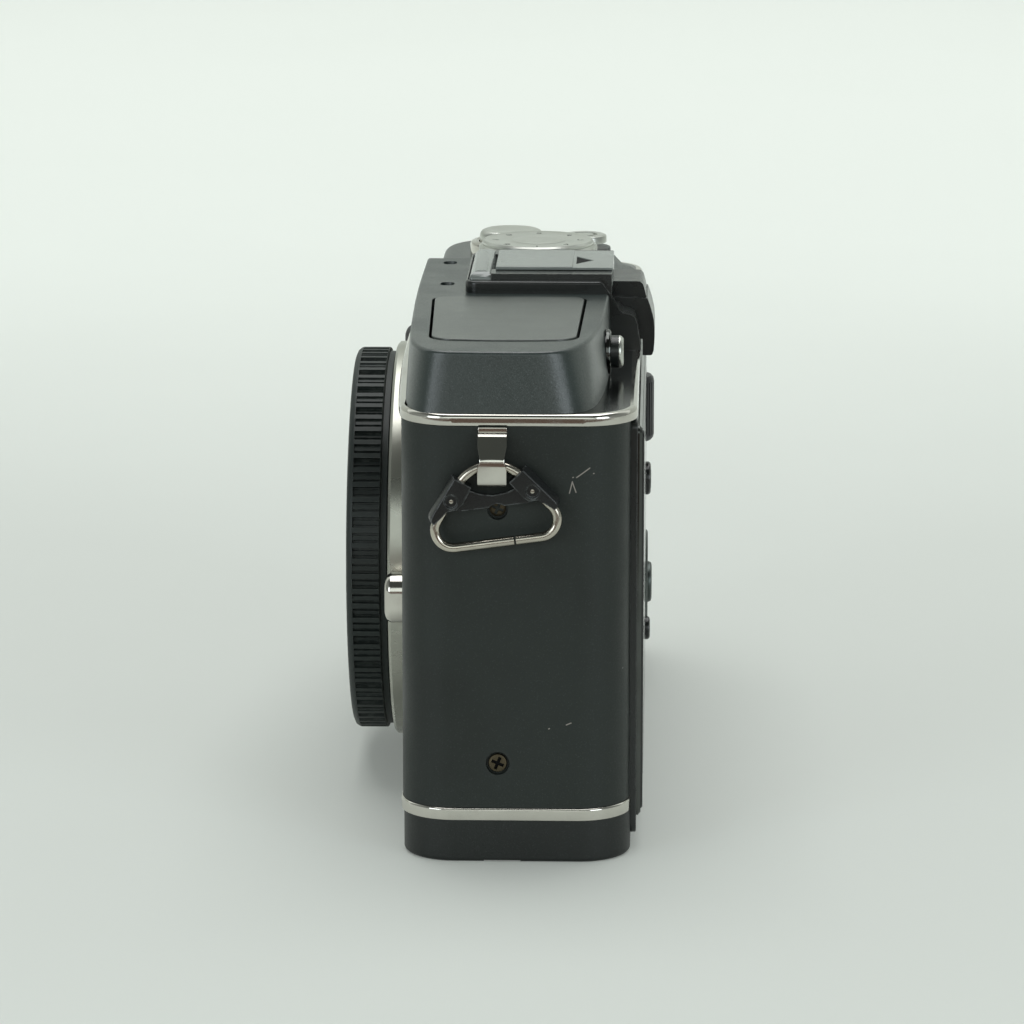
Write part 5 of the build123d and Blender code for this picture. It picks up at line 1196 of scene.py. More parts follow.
@dataclass
class LensMount:
    """Mount ring, lock pin and release button on the front of the body."""

    env: Envelope
    radius: float = 27.1
    bore: float = 20.6
    stand: float = 3.25
    screw_circle: float = 23.9
    tab_reach: float = 1.4

    def build(self) -> None:
        """Build the ring, the pin and the button."""
        self.build_ring()
        self.build_pin()
        self.build_release()

    def build_ring(self) -> None:
        """Turned flange with a stepped face, three tabs and its screw seats."""
        env, stand = self.env, self.stand
        centre = (0.0, env.flange_y + stand, env.lens_z)
        rim = [(self.radius, 0.0), (self.radius, stand - 0.35), (self.radius - 0.35, stand)]
        face = [(26.0, stand), (25.9, stand - 0.12), (22.1, stand - 0.12), (22.0, stand)]
        bore = [(self.bore, height) for height in (stand, stand - 1.0, -0.01)]
        ring = Piece.lathe("mount_flange", centre, [*rim, *face, *bore], FRONT, 216).delete(FACE)
        ring.pick(FACE, lambda facet: facet.calc_center_median().y > centre[1] - 0.005).delete(FACE)
        ring.solid().edit().pick(EDGE, lambda edge: edge.is_boundary)
        bpy.ops.mesh.bridge_edge_loops()
        ring.pick(FACE, lambda facet: self.is_tab(facet.calc_center_median())).inset(0.01, -self.tab_reach)
        seats = [
            Piece.rod("mount_screw_seat", around(env, self.screw_circle, angle, 1.1), 1.7, 3, FRONT, 32)
            for angle in (45, 135, 225, 315)
        ]
        seats.append(Piece.rod("pin_bore", around(env, self.screw_circle, 0, 5), 1.05, 8, FRONT, 24))
        ring.cut(*seats).finish(MOUNT, "camera", "lens_mount_ring")

    def is_tab(self, middle: Vector) -> bool:
        """Whether a facet of the bore belongs to one of the three tabs.

        Args:
            middle: Middle of the facet.

        Returns:
            Whether it does.
        """
        x, z = middle.x, middle.z - self.env.lens_z
        on_bore = abs(math.hypot(x, z) - self.bore) < 0.2
        in_front = middle.y < self.env.flange_y + 0.95
        angle = math.degrees(math.atan2(z, x)) - 90
        return on_bore and in_front and abs((angle + 60) % 120 - 60) < 25

    def build_pin(self) -> None:
        """Lock pin that stands out of the flange."""
        profile = [(0.95, 0.0), (0.95, 9.9), (0.87, 10.1), (0.7, 10.2)]
        pin = Piece.lathe("mount_pin", around(self.env, self.screw_circle, 0, 9.0), profile, FRONT, 32)
        pin.finish(STEEL, "lens_lock_pin", "lens_lock_pin")

    def build_release(self) -> None:
        """Chromed release button with a flat top and a broad soft bevel."""
        y, z = self.env.flange_y, self.env.lens_z
        button = Piece.slab("release_key", (32.5, y + 2.8, z - 1.06), (5.0, 6.53), 2.25, 12, FRONT)
        button.extrude(1.9).rise((0.25, 0.55), (0.45, 0.3), (0.5, 0.05))
        button.join(Piece.rod("release_stem", (32.5, y + 10.8, z - 1.45), 1.0, 8.1, FRONT, 24))
        button.finish(CHROME, "lens_release_button", "lens_release_button")


def around(env: Envelope, radius: float, angle: float, behind: float) -> Point:
    """Place on a circle round the lens axis, at an angle in degrees and a depth behind the flange."""
    turn = math.radians(angle)
    return radius * math.cos(turn), env.flange_y + behind, env.lens_z + radius * math.sin(turn)


@dataclass
class BodyCap:
    """Cap on the lens mount: ribbed rim, plain band, dished face and its sleeve."""

    env: Envelope
    radius: float = 26.25
    thickness: float = 5.6
    ribs: int = 80
    facets_a_rib: int = 6
    crease: float = 0.42
    valley: float = 0.34
    dip: float = 0.12
    sleeve: float = 18.9
    lug_reach: float = 1.45

    def build(self) -> None:
        """Turn the cap, then press its ribs and raise its lugs."""
        y, z = self.env.flange_y, self.env.lens_z
        radius, thick = self.radius, self.thickness
        cap = Piece.disc("cap_moulded", (0.0, y - 3.75, z), 17.5, FRONT, self.ribs * self.facets_a_rib)
        back = [(17.5, 3.75), (17.5, -3.7), (18.9, -3.7), (18.9, -2.45), (18.9, -1.25), (18.9, 0.0), (24.0, 0.0)]
        rim = [(0.7, 0.12), (0.55, 0.25), (0.5, 1.0), (0.1, 1.08), (0.0, 1.2), (0.0, 4.75), (0.06, 5.0), (0.35, 5.4)]
        rim = [(radius - inward, up) for inward, up in (*rim, (0.8, thick))]
        cap.turned([*back, (24.0, 0.12), *rim, (23.9, thick), (23.7, 5.25)], (0.0, y, z))
        cap.press(lambda facet: self.place(facet) == "crease", 0.04, self.crease)
        steps = (("valley", 0.05, -self.valley), ("dip", 0.05, -self.dip), ("lug", 0.02, self.lug_reach))
        for kind, width, depth in steps:
            cap.pick(FACE, lambda facet: self.place(facet) == kind).inset(width, depth)
        cap.cut(Piece.rod("pin_clearance", (23.9, y + 1, z), 1.45, 2.8, FRONT, 24))
        cap.finish(CAP, "body_cap", "body_cap")

    def place(self, facet: bmesh.types.BMFace) -> str:
        """Say what a facet of the turned cap becomes.

        Args:
            facet: The facet.

        Returns:
            "crease", "valley", "dip", "lug" or nothing.
        """
        middle = facet.calc_center_median()
        x, z = middle.x, middle.z - self.env.lens_z
        along = self.env.flange_y - middle.y
        reach, angle = math.hypot(x, z), math.degrees(math.atan2(z, x)) % 360
        if reach > self.radius - 0.05 and 1.2 < along < 4.75:
            slot = int(angle / 360 * self.ribs * self.facets_a_rib) % self.facets_a_rib
            low = "valley" if int(angle / 360 * self.ribs) % 2 else "dip"
            return {2: "crease", 5: "crease", 3: low, 4: low}.get(slot, "")
        on_sleeve = abs(reach - self.sleeve) < 0.1 and -2.4 < along < -1.3
        return "lug" if on_sleeve and abs((angle - 60) % 120 - 5) < 25 else ""


@dataclass
class StrapFittings:
    """Lug, ring and guard at the near end, and their mirrored copies at the far end."""

    env: Envelope
    lug_y: float = -3.1
    lug_width: float = 3.7
    lug_waist: float = 3.15
    lug_strip: float = 0.8
    lug_top: float = 55.9
    lug_foot: float = 50.75
    apex: Point = (59.2, -3.63, 52.28)
    ring_base: float = 20.2
    ring_height: float = 13.2
    top_radius: float = 5.0
    corner_radius: float = 2.3
    wire: float = 0.625
    tilt: float = 7.7
    lug_lean: float = 0.08
    split: float = 0.25
    split_offset: float = 2.1
    guard_flank: float = 0.5
    pin_at: float = 8.73
    pin_out: float = -0.2

    def build(self) -> None:
        """Build the near end's pieces and mirror each."""
        for piece, twin, finish, node, edge in (
            (self.lug(), "lug_strip_far", CHROME, "strap_lugs", 0.12),
            (self.ring(), "ring_wire_far", WIRE, "strap_ring", 0.0),
            (self.guard(), "guard_far", GUARD, "ring_guard", 0.2),
            (self.pins(), "guard_pins_far", WIRE, "", 0.0),
        ):
            mirrored = piece.twin(twin, self.env.mid_x)
            if node == "strap_lugs":
                piece.finish(finish, "camera", node, edge)
                mirrored.finish(finish, "camera", edge=edge)
                continue
            piece.finish(finish, "strap_ring_near", node and f"{node}_near", edge)
            mirrored.finish(finish, "strap_ring_far", node and f"{node}_far", edge)

    def at(self, u: float, v: float, out: float = 0.0) -> Point:
        """Point of the ring's own plane.

        Args:
            u: Distance rearwards in the plane.
            v: Distance upwards in the plane.
            out: Distance along the body, out of the plane.

        Returns:
            The point.
        """
        tilt = math.radians(self.tilt)
        x, y, z = self.apex
        return (x + out, y + u * math.cos(tilt) - v * math.sin(tilt), z + u * math.sin(tilt) + v * math.cos(tilt))

    def lug(self) -> Piece:
        """Bend a flat strip out of the wall, down and back in, with a waist at its knee.

        Returns:
            The strip.
        """
        wall, y = self.env.near_x - self.env.proud, self.lug_y
        strip = Piece.plate("lug_strip_near", (wall, y, self.lug_top), (self.lug_width, self.lug_strip), NEAR)
        fall, hook = math.atan2(3.9, 2.25), (0, 1, 0)
        way = (math.cos(fall), 0, -math.sin(fall))
        strip.extrude(0.7).spin(fall, (wall + 0.7, y, self.lug_top - 0.9), hook, 5)
        strip.extrude(1.1, way).extrude(1.5, way).resize((1, self.lug_waist / self.lug_width, 1), (0, y, 0))
        inward = Vector((-math.sin(fall), 0, -math.cos(fall)))
        strip.spin(math.pi / 2 - fall, tuple(self.middle_of_selection(strip) + inward * 0.8), hook, 4)
        strip.extrude(0.5, (0, 0, -1)).resize((1, self.lug_width / self.lug_waist, 1), (0, y, 0))
        end = self.middle_of_selection(strip)
        drop = end.z - self.lug_foot
        strip.extrude(drop, (-self.lug_lean, 0, -1))
        strip.spin(math.pi / 2, (end.x - self.lug_lean * drop - 0.8, y, self.lug_foot), hook, 5)
        strip.extrude(self.middle_of_selection(strip).x - wall, (-1, 0, 0))
        return strip.join(Piece.block("root", (wall - 0.2, y - 1.83, 55.6), (wall + 0.62, y + 1.83, 56.85)))

    @staticmethod
    def middle_of_selection(piece: Piece) -> Vector:
        """Middle of the selected vertices of a piece."""
        chosen = [vert.co for vert in bmesh.from_edit_mesh(piece.object.data).verts if vert.select]
        return sum(chosen, Vector()) / len(chosen)

    @property
    def slope(self) -> Spot:
        """Angle of a leg from upright, and height of the legs' sharp apex over the ring's top."""
        lean = math.atan(self.ring_base / 2 / self.ring_height)
        return lean, self.top_radius / math.sin(lean) - self.top_radius

    def ring(self) -> Piece:
        """Draw round wire along a rounded triangle, from one side of its split to the other.

        Returns:
            The ring.
        """
        drop = self.slope[1]
        low, half = drop - self.ring_height, self.ring_base / 2
        ends = [(self.split_offset + side * self.split / 2, low) for side in (1, -1)]
        corners = [Vector(self.at(*spot)) for spot in (ends[0], (half, low), (0.0, drop), (-half, low), ends[1])]
        place, way = corners[0], (corners[1] - corners[0]).normalized()
        Piece.clear()
        how = {"location": place, "rotation": way.to_track_quat("Z", "X").to_euler()}
        bpy.ops.mesh.primitive_circle_add(vertices=16, radius=self.wire, fill_type="NGON", **how)
        ring = Piece("ring_wire_near")
        radii = (self.corner_radius, self.top_radius, self.corner_radius)
        for radius, before, here, after in zip(radii, corners, corners[1:], corners[2:]):
            arriving, leaving = (here - before).normalized(), (after - here).normalized()
            angle = arriving.angle(leaving)
            tangent = radius * math.tan(angle / 2)
            ring.extrude((here - arriving * tangent - place).length, tuple(arriving))
            centre = here + (leaving - arriving).normalized() * radius / math.cos(angle / 2)
            ring.spin(angle, tuple(centre), tuple(arriving.cross(leaving)), 14)
            place = here + leaving * tangent
        rest = corners[-1] - place
        return ring.extrude(rest.length, tuple(rest.normalized())).solid()

    def on_leg(self, side: int, along: float, level: float, sideways: float) -> Point:
        """Point beside one leg of the ring.

        Args:
            side: 1 for the rear leg and -1 for the front one.
            along: Distance down the leg from its sharp apex.
            level: Distance outwards from the leg.
            sideways: Distance out of the ring's plane.

        Returns:
            The point.
        """
        lean, drop = self.slope
        u = along * math.sin(lean) + level * math.cos(lean)
        return self.at(side * u, drop - along * math.cos(lean) + level * math.sin(lean), sideways)

    def pad(self, side: int) -> Piece:
        """Block that clasps one leg, with a sloping outer flank and a pin's pocket.

        Args:
            side: 1 for the rear leg and -1 for the front one.

        Returns:
            The pad.
        """
        spots = [
            (5.85, -1.5), (5.85, 1.4), (11.6, 1.45), (12.25, 1.2), (12.45, 0.15), (10.1, -0.45), (9.35, -1.4),
            (8.5, -1.6),
        ]
        corners = [self.on_leg(side, *spot, -1.0) for spot in spots]
        pad = Piece.outline("pad", corners[::side], NEAR).extrude(1.0, (1, 0, 0)).extrude(1.2, (1, 0, 0))
        spots[1:4] = [(along + 0.1, out - self.guard_flank) for along, out in spots[1:4]]
        targets = [self.on_leg(side, *spot, 1.2) for spot in spots]

        def lean(place: Vector) -> Point:
            """Where the corner of the end face that stands at a place belongs."""
            reach = [(Vector(corner) + Vector((2.2, 0, 0)) - place).length for corner in corners]
            return targets[reach.index(min(reach))]

        pad.mould(lean)
        return pad.cut(Piece.rod("pocket", self.on_leg(side, self.pin_at, self.pin_out, 0.8), 0.84, 1, NEAR, 32))

    def guard(self) -> Piece:
        """Two pads and the strip that joins them behind the lug.

        Returns:
            The guard.
        """
        points = [
            (-4.6, -5.45), (-0.6, -5.45), (-0.25, -5.2), (0.35, -5.05), (0.95, -5.2), (1.3, -5.45), (4.6, -5.45),
            (4.6, -3.2), (3.1, -3.25), (1.9, -3.72), (0.1, -3.88), (-1.5, -3.5), (-2.9, -2.8), (-4.6, -2.6),
        ]
        strip = Piece.outline("guard_near", [self.at(*point, -1.0) for point in points], NEAR)
        return strip.extrude(1.0, (1, 0, 0)).join(self.pad(-1), self.pad(1))

    def pins(self) -> Piece:
        """Bright pin ends in the pads' pockets.

        Returns:
            The two pins as one piece.
        """
        profile = [(0.3, 0.0), (0.3, 0.2), (0.25, 0.28), (0.12, 0.31)]
        places = [self.on_leg(side, self.pin_at, self.pin_out, 0.75) for side in (-1, 1)]
        first, second = (Piece.lathe("guard_pins_near", place, profile, NEAR, 24) for place in places)
        return first.join(second)


@dataclass
class Fasteners:
    """Cross-head screws at the ends and in the base."""

    env: Envelope
    side_y: float = -2.5
    side_heights: Spot = (13.1, 46.2)
    cross_turn: float = 0.4
    base_spots = ((50.0, -10.0), (50.0, 8.5), (14.0, -10.0), (14.0, 8.5))

    def build(self) -> None:
        """Build every visible screw, joined as the CAD node is, and the dark plates of painted shade in their crosses.
        """
        made = []
        for height, sunk, radius in zip(self.side_heights, (0.85, 1.5), (1.2, 1.1)):
            for x, facing in ((self.env.near_x - sunk, NEAR), (self.env.far_x + sunk, FAR)):
                made.append(self.screw((x, self.side_y, height), facing, radius, 0.5))
        made += [self.screw((x, y, 1.0), DOWN, 1.6, 0.85) for x, y in self.base_spots]
        made += [self.screw(around(self.env, 23.9, angle, 1.0), FRONT, 1.6, 0.85) for angle in (45, 135, 225, 315)]
        # Each screw's second piece is a dark plate of painted shade in its cross recess.
        for (first, *rest), finish, node in zip(zip(*made), (SCREW, MATT), ("screws", "")):
            first.join(*rest).finish(finish, "camera", node)

    def screw(self, place: Point, facing: Facing, radius: float, height: float) -> tuple[Piece, Piece]:
        """Pan head with a cross recess.

        Args:
            place: Middle of the head's underside.
            facing: The way the head looks.
            radius: Radius of the head.
            height: Height of the head.

        Returns:
            The screw and the dark plate of painted shade in its cross.
        """
        rim = ((1, 0.0), (1, 0.55), (0.93, 0.8), (0.7, 0.95), (0.4, 1))
        head = Piece.lathe("screw_heads", place, [(radius * a, height * b) for a, b in rim], facing, 40)
        deep = tuple(Vector(place) + facing.normal * (0.25 * height))
        axis = "XYZ"[[abs(part) for part in facing.normal].index(1)]
        long, wide = 1.4 * radius, 0.34 * radius
        arms, shade_plates = (
            [
                Piece.plate(name, deep, size, facing).rotate(self.cross_turn, axis, deep).extrude(depth)
                for size, depth in zip(((long, wide), (wide, long)), depths)
            ]
            for name, depths in (("cross", (0.75 * height + 0.1,) * 2), ("screw_crosses", (0.02, 0.03)))
        )
        return head.cut(*arms), shade_plates[0].join(shade_plates[1])


@dataclass
class TopCover:
    """Deck, low shoulder and raised block, with their hollows and openings."""

    env: Envelope
    block_far: float = -18.0
    block_top: float = 66.2
    rim: float = 0.5
    foot_line: tuple[Spot, ...] = (
        (-18, -15.6), (0, -15.65), (15, -15.5), (30, -15.2), (42, -14.8), (49.5, -14.4), (53.5, -13.7), (55.7, -12.4),
        (56.7, -10.4), (57.05, -7), (57.15, -2), (57.05, 3.3), (56.8, 6.0), (56.0, 7.9), (54, 9.1), (51, 9.9),
        (44, 10.6), (34, 11.1), (24, 11.25), (10, 11.3), (-18, 11.3),
    )
    rim_line: tuple[Spot, ...] = (
        (-18, -14.9), (0, -15.0), (15, -14.9), (30, -14.6), (41, -14.3), (47.5, -13.9), (51.8, -12.9), (54.7, -11.4),
        (55.8, -9.4), (56.1, -6.3), (56.2, -2), (56.1, 1.9), (55.55, 4.4), (54, 6.3), (50.8, 7.8), (46.8, 8.9),
        (40.5, 9.8), (32.5, 10.4), (23, 10.8), (10, 11.0), (-18, 11.0),
    )
    hollow_line: tuple[Spot, ...] = (
        (-16.4, -13), (48, -12.4), (52.3, -11), (54, -8.5), (54.3, 0), (53.2, 3.5), (50, 6.4), (44, 8), (36, 9.2),
        (-16.4, 9.2),
    )
    shoulder_top: float = 62.0
    shoulder_rim: float = 1.5
    mics: tuple[Spot, Spot] = ((4.3, -11.1), (-13.6, -11.5))
    stems: tuple[Point, ...] = ((-27.0, 0.4, 2.1), (-46.0, -4.0, 1.6), (-55.5, 6.5, 1.6), (-42.5, 7.8, 1.3))
    bosses: tuple[Point, ...] = ((-55.5, 6.5, 3.9), (-42.5, 7.8, 2.9))

    def build(self) -> None:
        """Build the cover and its deck."""
        env, top = self.env, self.shoulder_top
        cover = self.block()
        cover.cut(self.shoulder(0.0, 14.0, top, "shoulder", quarter(self.shoulder_rim, 8)), union=True)
        slope = [(8.3, 62.1), (12.2, 58.6), (16, 58.6), (16, 66), (8.3, 66)]
        cover.cut(Piece.bar("slope", slope, -70, self.block_far - 0.1))
        for x, y, radius in self.bosses:
            cover.cut(Piece.rod("boss", (x, y, 58.4), radius, 3.4, sides=64).rise(*quarter(0.2, 2)), union=True)
        mic_z = self.block_top - 1.0
        cover.cut(
            Piece.outline("block_hollow", [(x, y, 55) for x, y in self.hollow_line]).extrude(9.6),
            self.shoulder(1.3, 10.2, top - 1.3, "shoulder_hollow", []),
            Flash(env).lid_blank("lid_opening", 0.38, 60.0).extrude(12),
            Piece.block("shoe_seat", (-10.3, -4.7, 64.3), (10.3, 12, 70)),
            Piece.block("port_way", (-4.4, 8, 60.0), (4.4, 12, 62.2)),
            Piece.block("button_room", (26.9, 7, 58.3), (33.1, 9.4, 64.9)),
            *(Piece.slab("mic_slot", (x, y, mic_z), (2.8, 1.9), 0.94, 8).extrude(2) for x, y in self.mics),
            *(Piece.rod("stem_hole", (x, y, 58), radius, 6) for x, y, radius in self.stems),
            Piece.rod("button_hole", (30, 8, 61.6), 2.25, 4, REAR),
        )
        cover.finish(BLOCK_PAINT, "camera", "top_cover", 0.07)
        deck = env.plan("deck_flange", 0.95, env.rear_y - 0.95, env.deck_z - 0.8).extrude(0.8)
        deck.cut(Piece.block("deck_opening", (-55, -10, 50), (48, 8, 66)))
        deck.finish(GLOSS_PAINT, "camera", edge=0.05)

    def block(self) -> Piece:
        """Raised block that narrows upwards, most of all at its rear corner, with a rounded rim.

        Returns:
            The block.
        """
        foot = self.env.deck_z - 0.2
        low, high = through(self.foot_line, 5), through(self.rim_line, 5)
        block = Piece.outline("raised_block", [(x, y, foot) for x, y in low])

        def lean(place: Vector) -> Point:
            """Place on the rim's line of a corner that stands over the foot's line."""
            reach = [math.hypot(x - place.x, y - place.y) for x, y in low]
            return (*high[reach.index(min(reach))], place.z)

        return block.extrude(self.block_top - self.rim - foot).mould(lean).rise(*quarter(self.rim))

    def shoulder(self, inset: float, rear: float, top: float, name: str, rim: list[Spot]) -> Piece:
        """Low shoulder at the far end, or the hollow inside it.

        Args:
            inset: How far it is drawn in.
            rear: Depth of its rear face.
            top: Height of its top.
            name: Name of the piece.
            rim: Steps of its rounded rim, or none for the hollow.

        Returns:
            The shoulder.
        """
        env = self.env
        low = Vector((env.far_x + 0.95 + inset, env.front_y + 0.95 + inset))
        high = Vector((self.block_far + (4 if rim else -1.3), rear))
        foot = env.deck_z - (0.2 if rim else 3)
        blank = Piece.plate(name, (*((low + high) / 2), foot), tuple(high - low))
        blank.round_corner(9.0 - inset, 24, lambda vert: vert.co.x < -50)
        return blank.extrude(top - foot - sum(step[1] for step in rim)).rise(*rim)


@dataclass
class Flash:
    """Pop-up flash: lid and housing, reflector, window, arms and the button that frees it."""

    env: Envelope
    far: float = 15.3
    near: float = 47.3
    bow: float = 0.85
    near_radius: float = 3.0
    far_radius: float = 2.0
    front: float = -12.25
    rear: float = 7.75
    narrowing: Spot = (1.0, 0.6)
    slope: float = 7.0
    top: float = 66.34
    lid: float = 1.2
    head_low: Point = (18.2, -11.3, 59.2)
    head_high: Point = (44.0, 4.0, 65.1)
    pivot: Spot = (3.5, 61.2)
    tip: Spot = (-8.0, 61.2)
    button: Spot = (30.0, 61.6)

    def build(self) -> None:
        """Build every piece of the flash."""
        self.build_head()
        self.build_lamp()
        self.build_arms()
        self.build_button()

    def lid_blank(self, name: str, grow: float, height: float) -> Piece:
        """Flat blank of the lid with its bowed outer end.

        Args:
            name: Name of the piece.
            grow: How far it is let out.
            height: Height it lies at.

        Returns:
            The blank.
        """
        low, high = self.front - grow, self.rear + grow
        half, middle, slope, lean = (high - low) / 2, (low + high) / 2, self.slope, math.radians(self.slope)
        radius, far_radius, bow_at = self.near_radius + grow, self.far_radius + grow, self.near + 1.8 * grow

        def bulge(y: float) -> float:
            """How far the bowed end stands out at a depth."""
            return self.bow * (1 - ((y - middle) / half) ** 2)

        centre_x = bow_at + bulge(high - radius + radius * math.sin(lean)) - radius * math.cos(lean)
        front_corner = arc((centre_x, low + radius), radius, -90, -slope, 10)
        rear_corner = arc((centre_x, high - radius), radius, slope, 90, 10)
        (_, start), (_, end) = front_corner[-1], rear_corner[0]
        bowed = [(bow_at + bulge(y), y) for y in (start + (end - start) * step / 8 for step in range(1, 8))]
        far = self.far - grow + far_radius
        rear_end = arc((far, high - far_radius), far_radius, 90, 180, 8)
        front_end = arc((far, low + far_radius), far_radius, 180, 270, 8)
        corners = []
        for x, y in (*rear_end, *front_end, *front_corner, *bowed, *rear_corner):
            share = (x - self.far) / (self.near - self.far)
            by = self.narrowing[0] if y < middle else self.narrowing[1]
            corners.append((x, y - by * share * (y - middle) / half, height))
        return Piece.outline(name, corners)

    def build_head(self) -> None:
        """Lid and housing with a hollow for the reflector."""
        head = self.lid_blank("flash_lid", 0.0, self.top - self.lid).extrude(self.lid - 0.12).rise(*quarter(0.12, 3))
        head.finish(LID_PAINTED_LIGHT, "flash_head", "flash_head")
        low, high = Vector(self.head_low), Vector(self.head_high)
        house = Piece.block("flash_housing", low, high).edges(lambda spot: spot.z < 60).round(0.6, 4)
        mouth = Piece.block("mouth", low + Vector((1.2, -0.1, 0.8)), high - Vector((1.2, 11.3, 0.6)))
        house.cut(mouth.pick(FACE, lambda facet: facet.normal.y > 0.9).inset(0.01, 0.01))
        house.join(*(Piece.rod("stub", (x, *self.tip), 0.8, 1.8, NEAR, 24) for x in (low.x - 1.7, high.x - 0.1)))
        house.finish(MOULDING, "flash_head", edge=0.1)

    def build_lamp(self) -> None:
        """Folded reflector, glass tube and the ribbed window in front of them."""
        low, high = Vector(self.head_low), Vector(self.head_high)
        x, z = (low.x + high.x) / 2, (low.z + high.z) / 2 + 0.1
        size = (high.x - low.x - 2.6, high.z - low.z - 1.6)
        dish = Piece.plate("flash_reflector", (x, low.y + 0.9, z), size, FRONT)
        dish.extrude(-0.2).rise((0.7, 1.1), (0.7, 0.7), (0.45, 0.2)).finish(CHROME, "flash_head")
        profile = [(0.75, 0.0), (0.75, 1.2), (0.62, 1.3), (0.62, 20.5), (0.75, 20.6), (0.75, 21.8)]
        Piece.lathe("flash_tube", (low.x + 2.0, low.y + 2.1, z), profile, NEAR, 24).finish(WINDOW, "flash_head")
        pane = Piece.plate("flash_pane", (x, low.y + 0.4, z), size, FRONT).extrude(0.2)
        bpy.ops.mesh.subdivide(number_cuts=11)
        pane.pick(FACE, lambda facet: facet.normal.y < -0.9).inset(0.03, 0.1, each=True)
        pane.finish(WINDOW, "flash_head", "flash_window")

    def build_arms(self) -> None:
        """Two flat links and the rod that ties their feet."""
        (back, height), (front, _) = self.pivot, self.tip
        low, high = self.head_low[0], self.head_high[0]
        made = []
        for x in (low - 1.6, high + 0.4):
            place, size = (x, (back + front) / 2, height), (back - front + 4.0, 4.0)
            arm = Piece.slab("flash_links", place, size, 1.98, 10, NEAR).extrude(1.2)
            made.append(arm.cut(*(Piece.rod("eye", (x - 1, y, height), 0.86, 4, NEAR, 24) for y in (back, front))))
        made[0].join(made[1], Piece.rod("rod", (low - 1.0, back + 1.4, height), 0.4, high - low + 2, NEAR, 16))
        made[0].finish(STEEL, "flash_arm", "flash_arm", 0.12)

    def build_button(self) -> None:
        """Round button in the rear wall, with a light metal ring that paints the highlight on its rim, and its bezel.
        """
        x, z = self.button
        profile = [(2.15, 0.0), (2.15, 3.25), (2.05, 3.3), (1.9, 3.3), (1.9, 3.6), (0.5, 3.62)]
        button = Piece.lathe("flash_key", (x, 9.2, z), profile, REAR)
        # Painted highlight: a light metal ring on the button's end stands in for the light on its rim.
        profile = [(2.15, 0.0), (2.15, 0.12), (2.0, 0.38), (1.75, 0.58), (1.6, 0.6)]
        ring = Piece.lathe("flash_key_ring", (x, 12.48, z), profile, REAR)
        ring.cut(Piece.rod("bore", (x, 11, z), 1.55, 5, REAR)).finish(CONTROL, "flash_button")
        flange = Piece.rod("flange", (x, 8.1, z), 2.7, 0.8, REAR, 32)
        button.join(flange, Piece.rod("neck", (x, 8.5, z), 2.1, 1.0, REAR, 32))
        button.finish(SMOOTH, "flash_button", "flash_button")
        profile = [(2.95, 0.0), (2.95, 0.3), (2.85, 0.5), (2.65, 0.6), (2.45, 0.55), (2.35, 0.35)]
        bezel = Piece.lathe("flash_bezel", (x, 10.85, z), profile, REAR)
        bezel.cut(Piece.rod("bore", (x, 10, z), 2.25, 5, REAR)).finish(BLACK_CHROME, "camera")


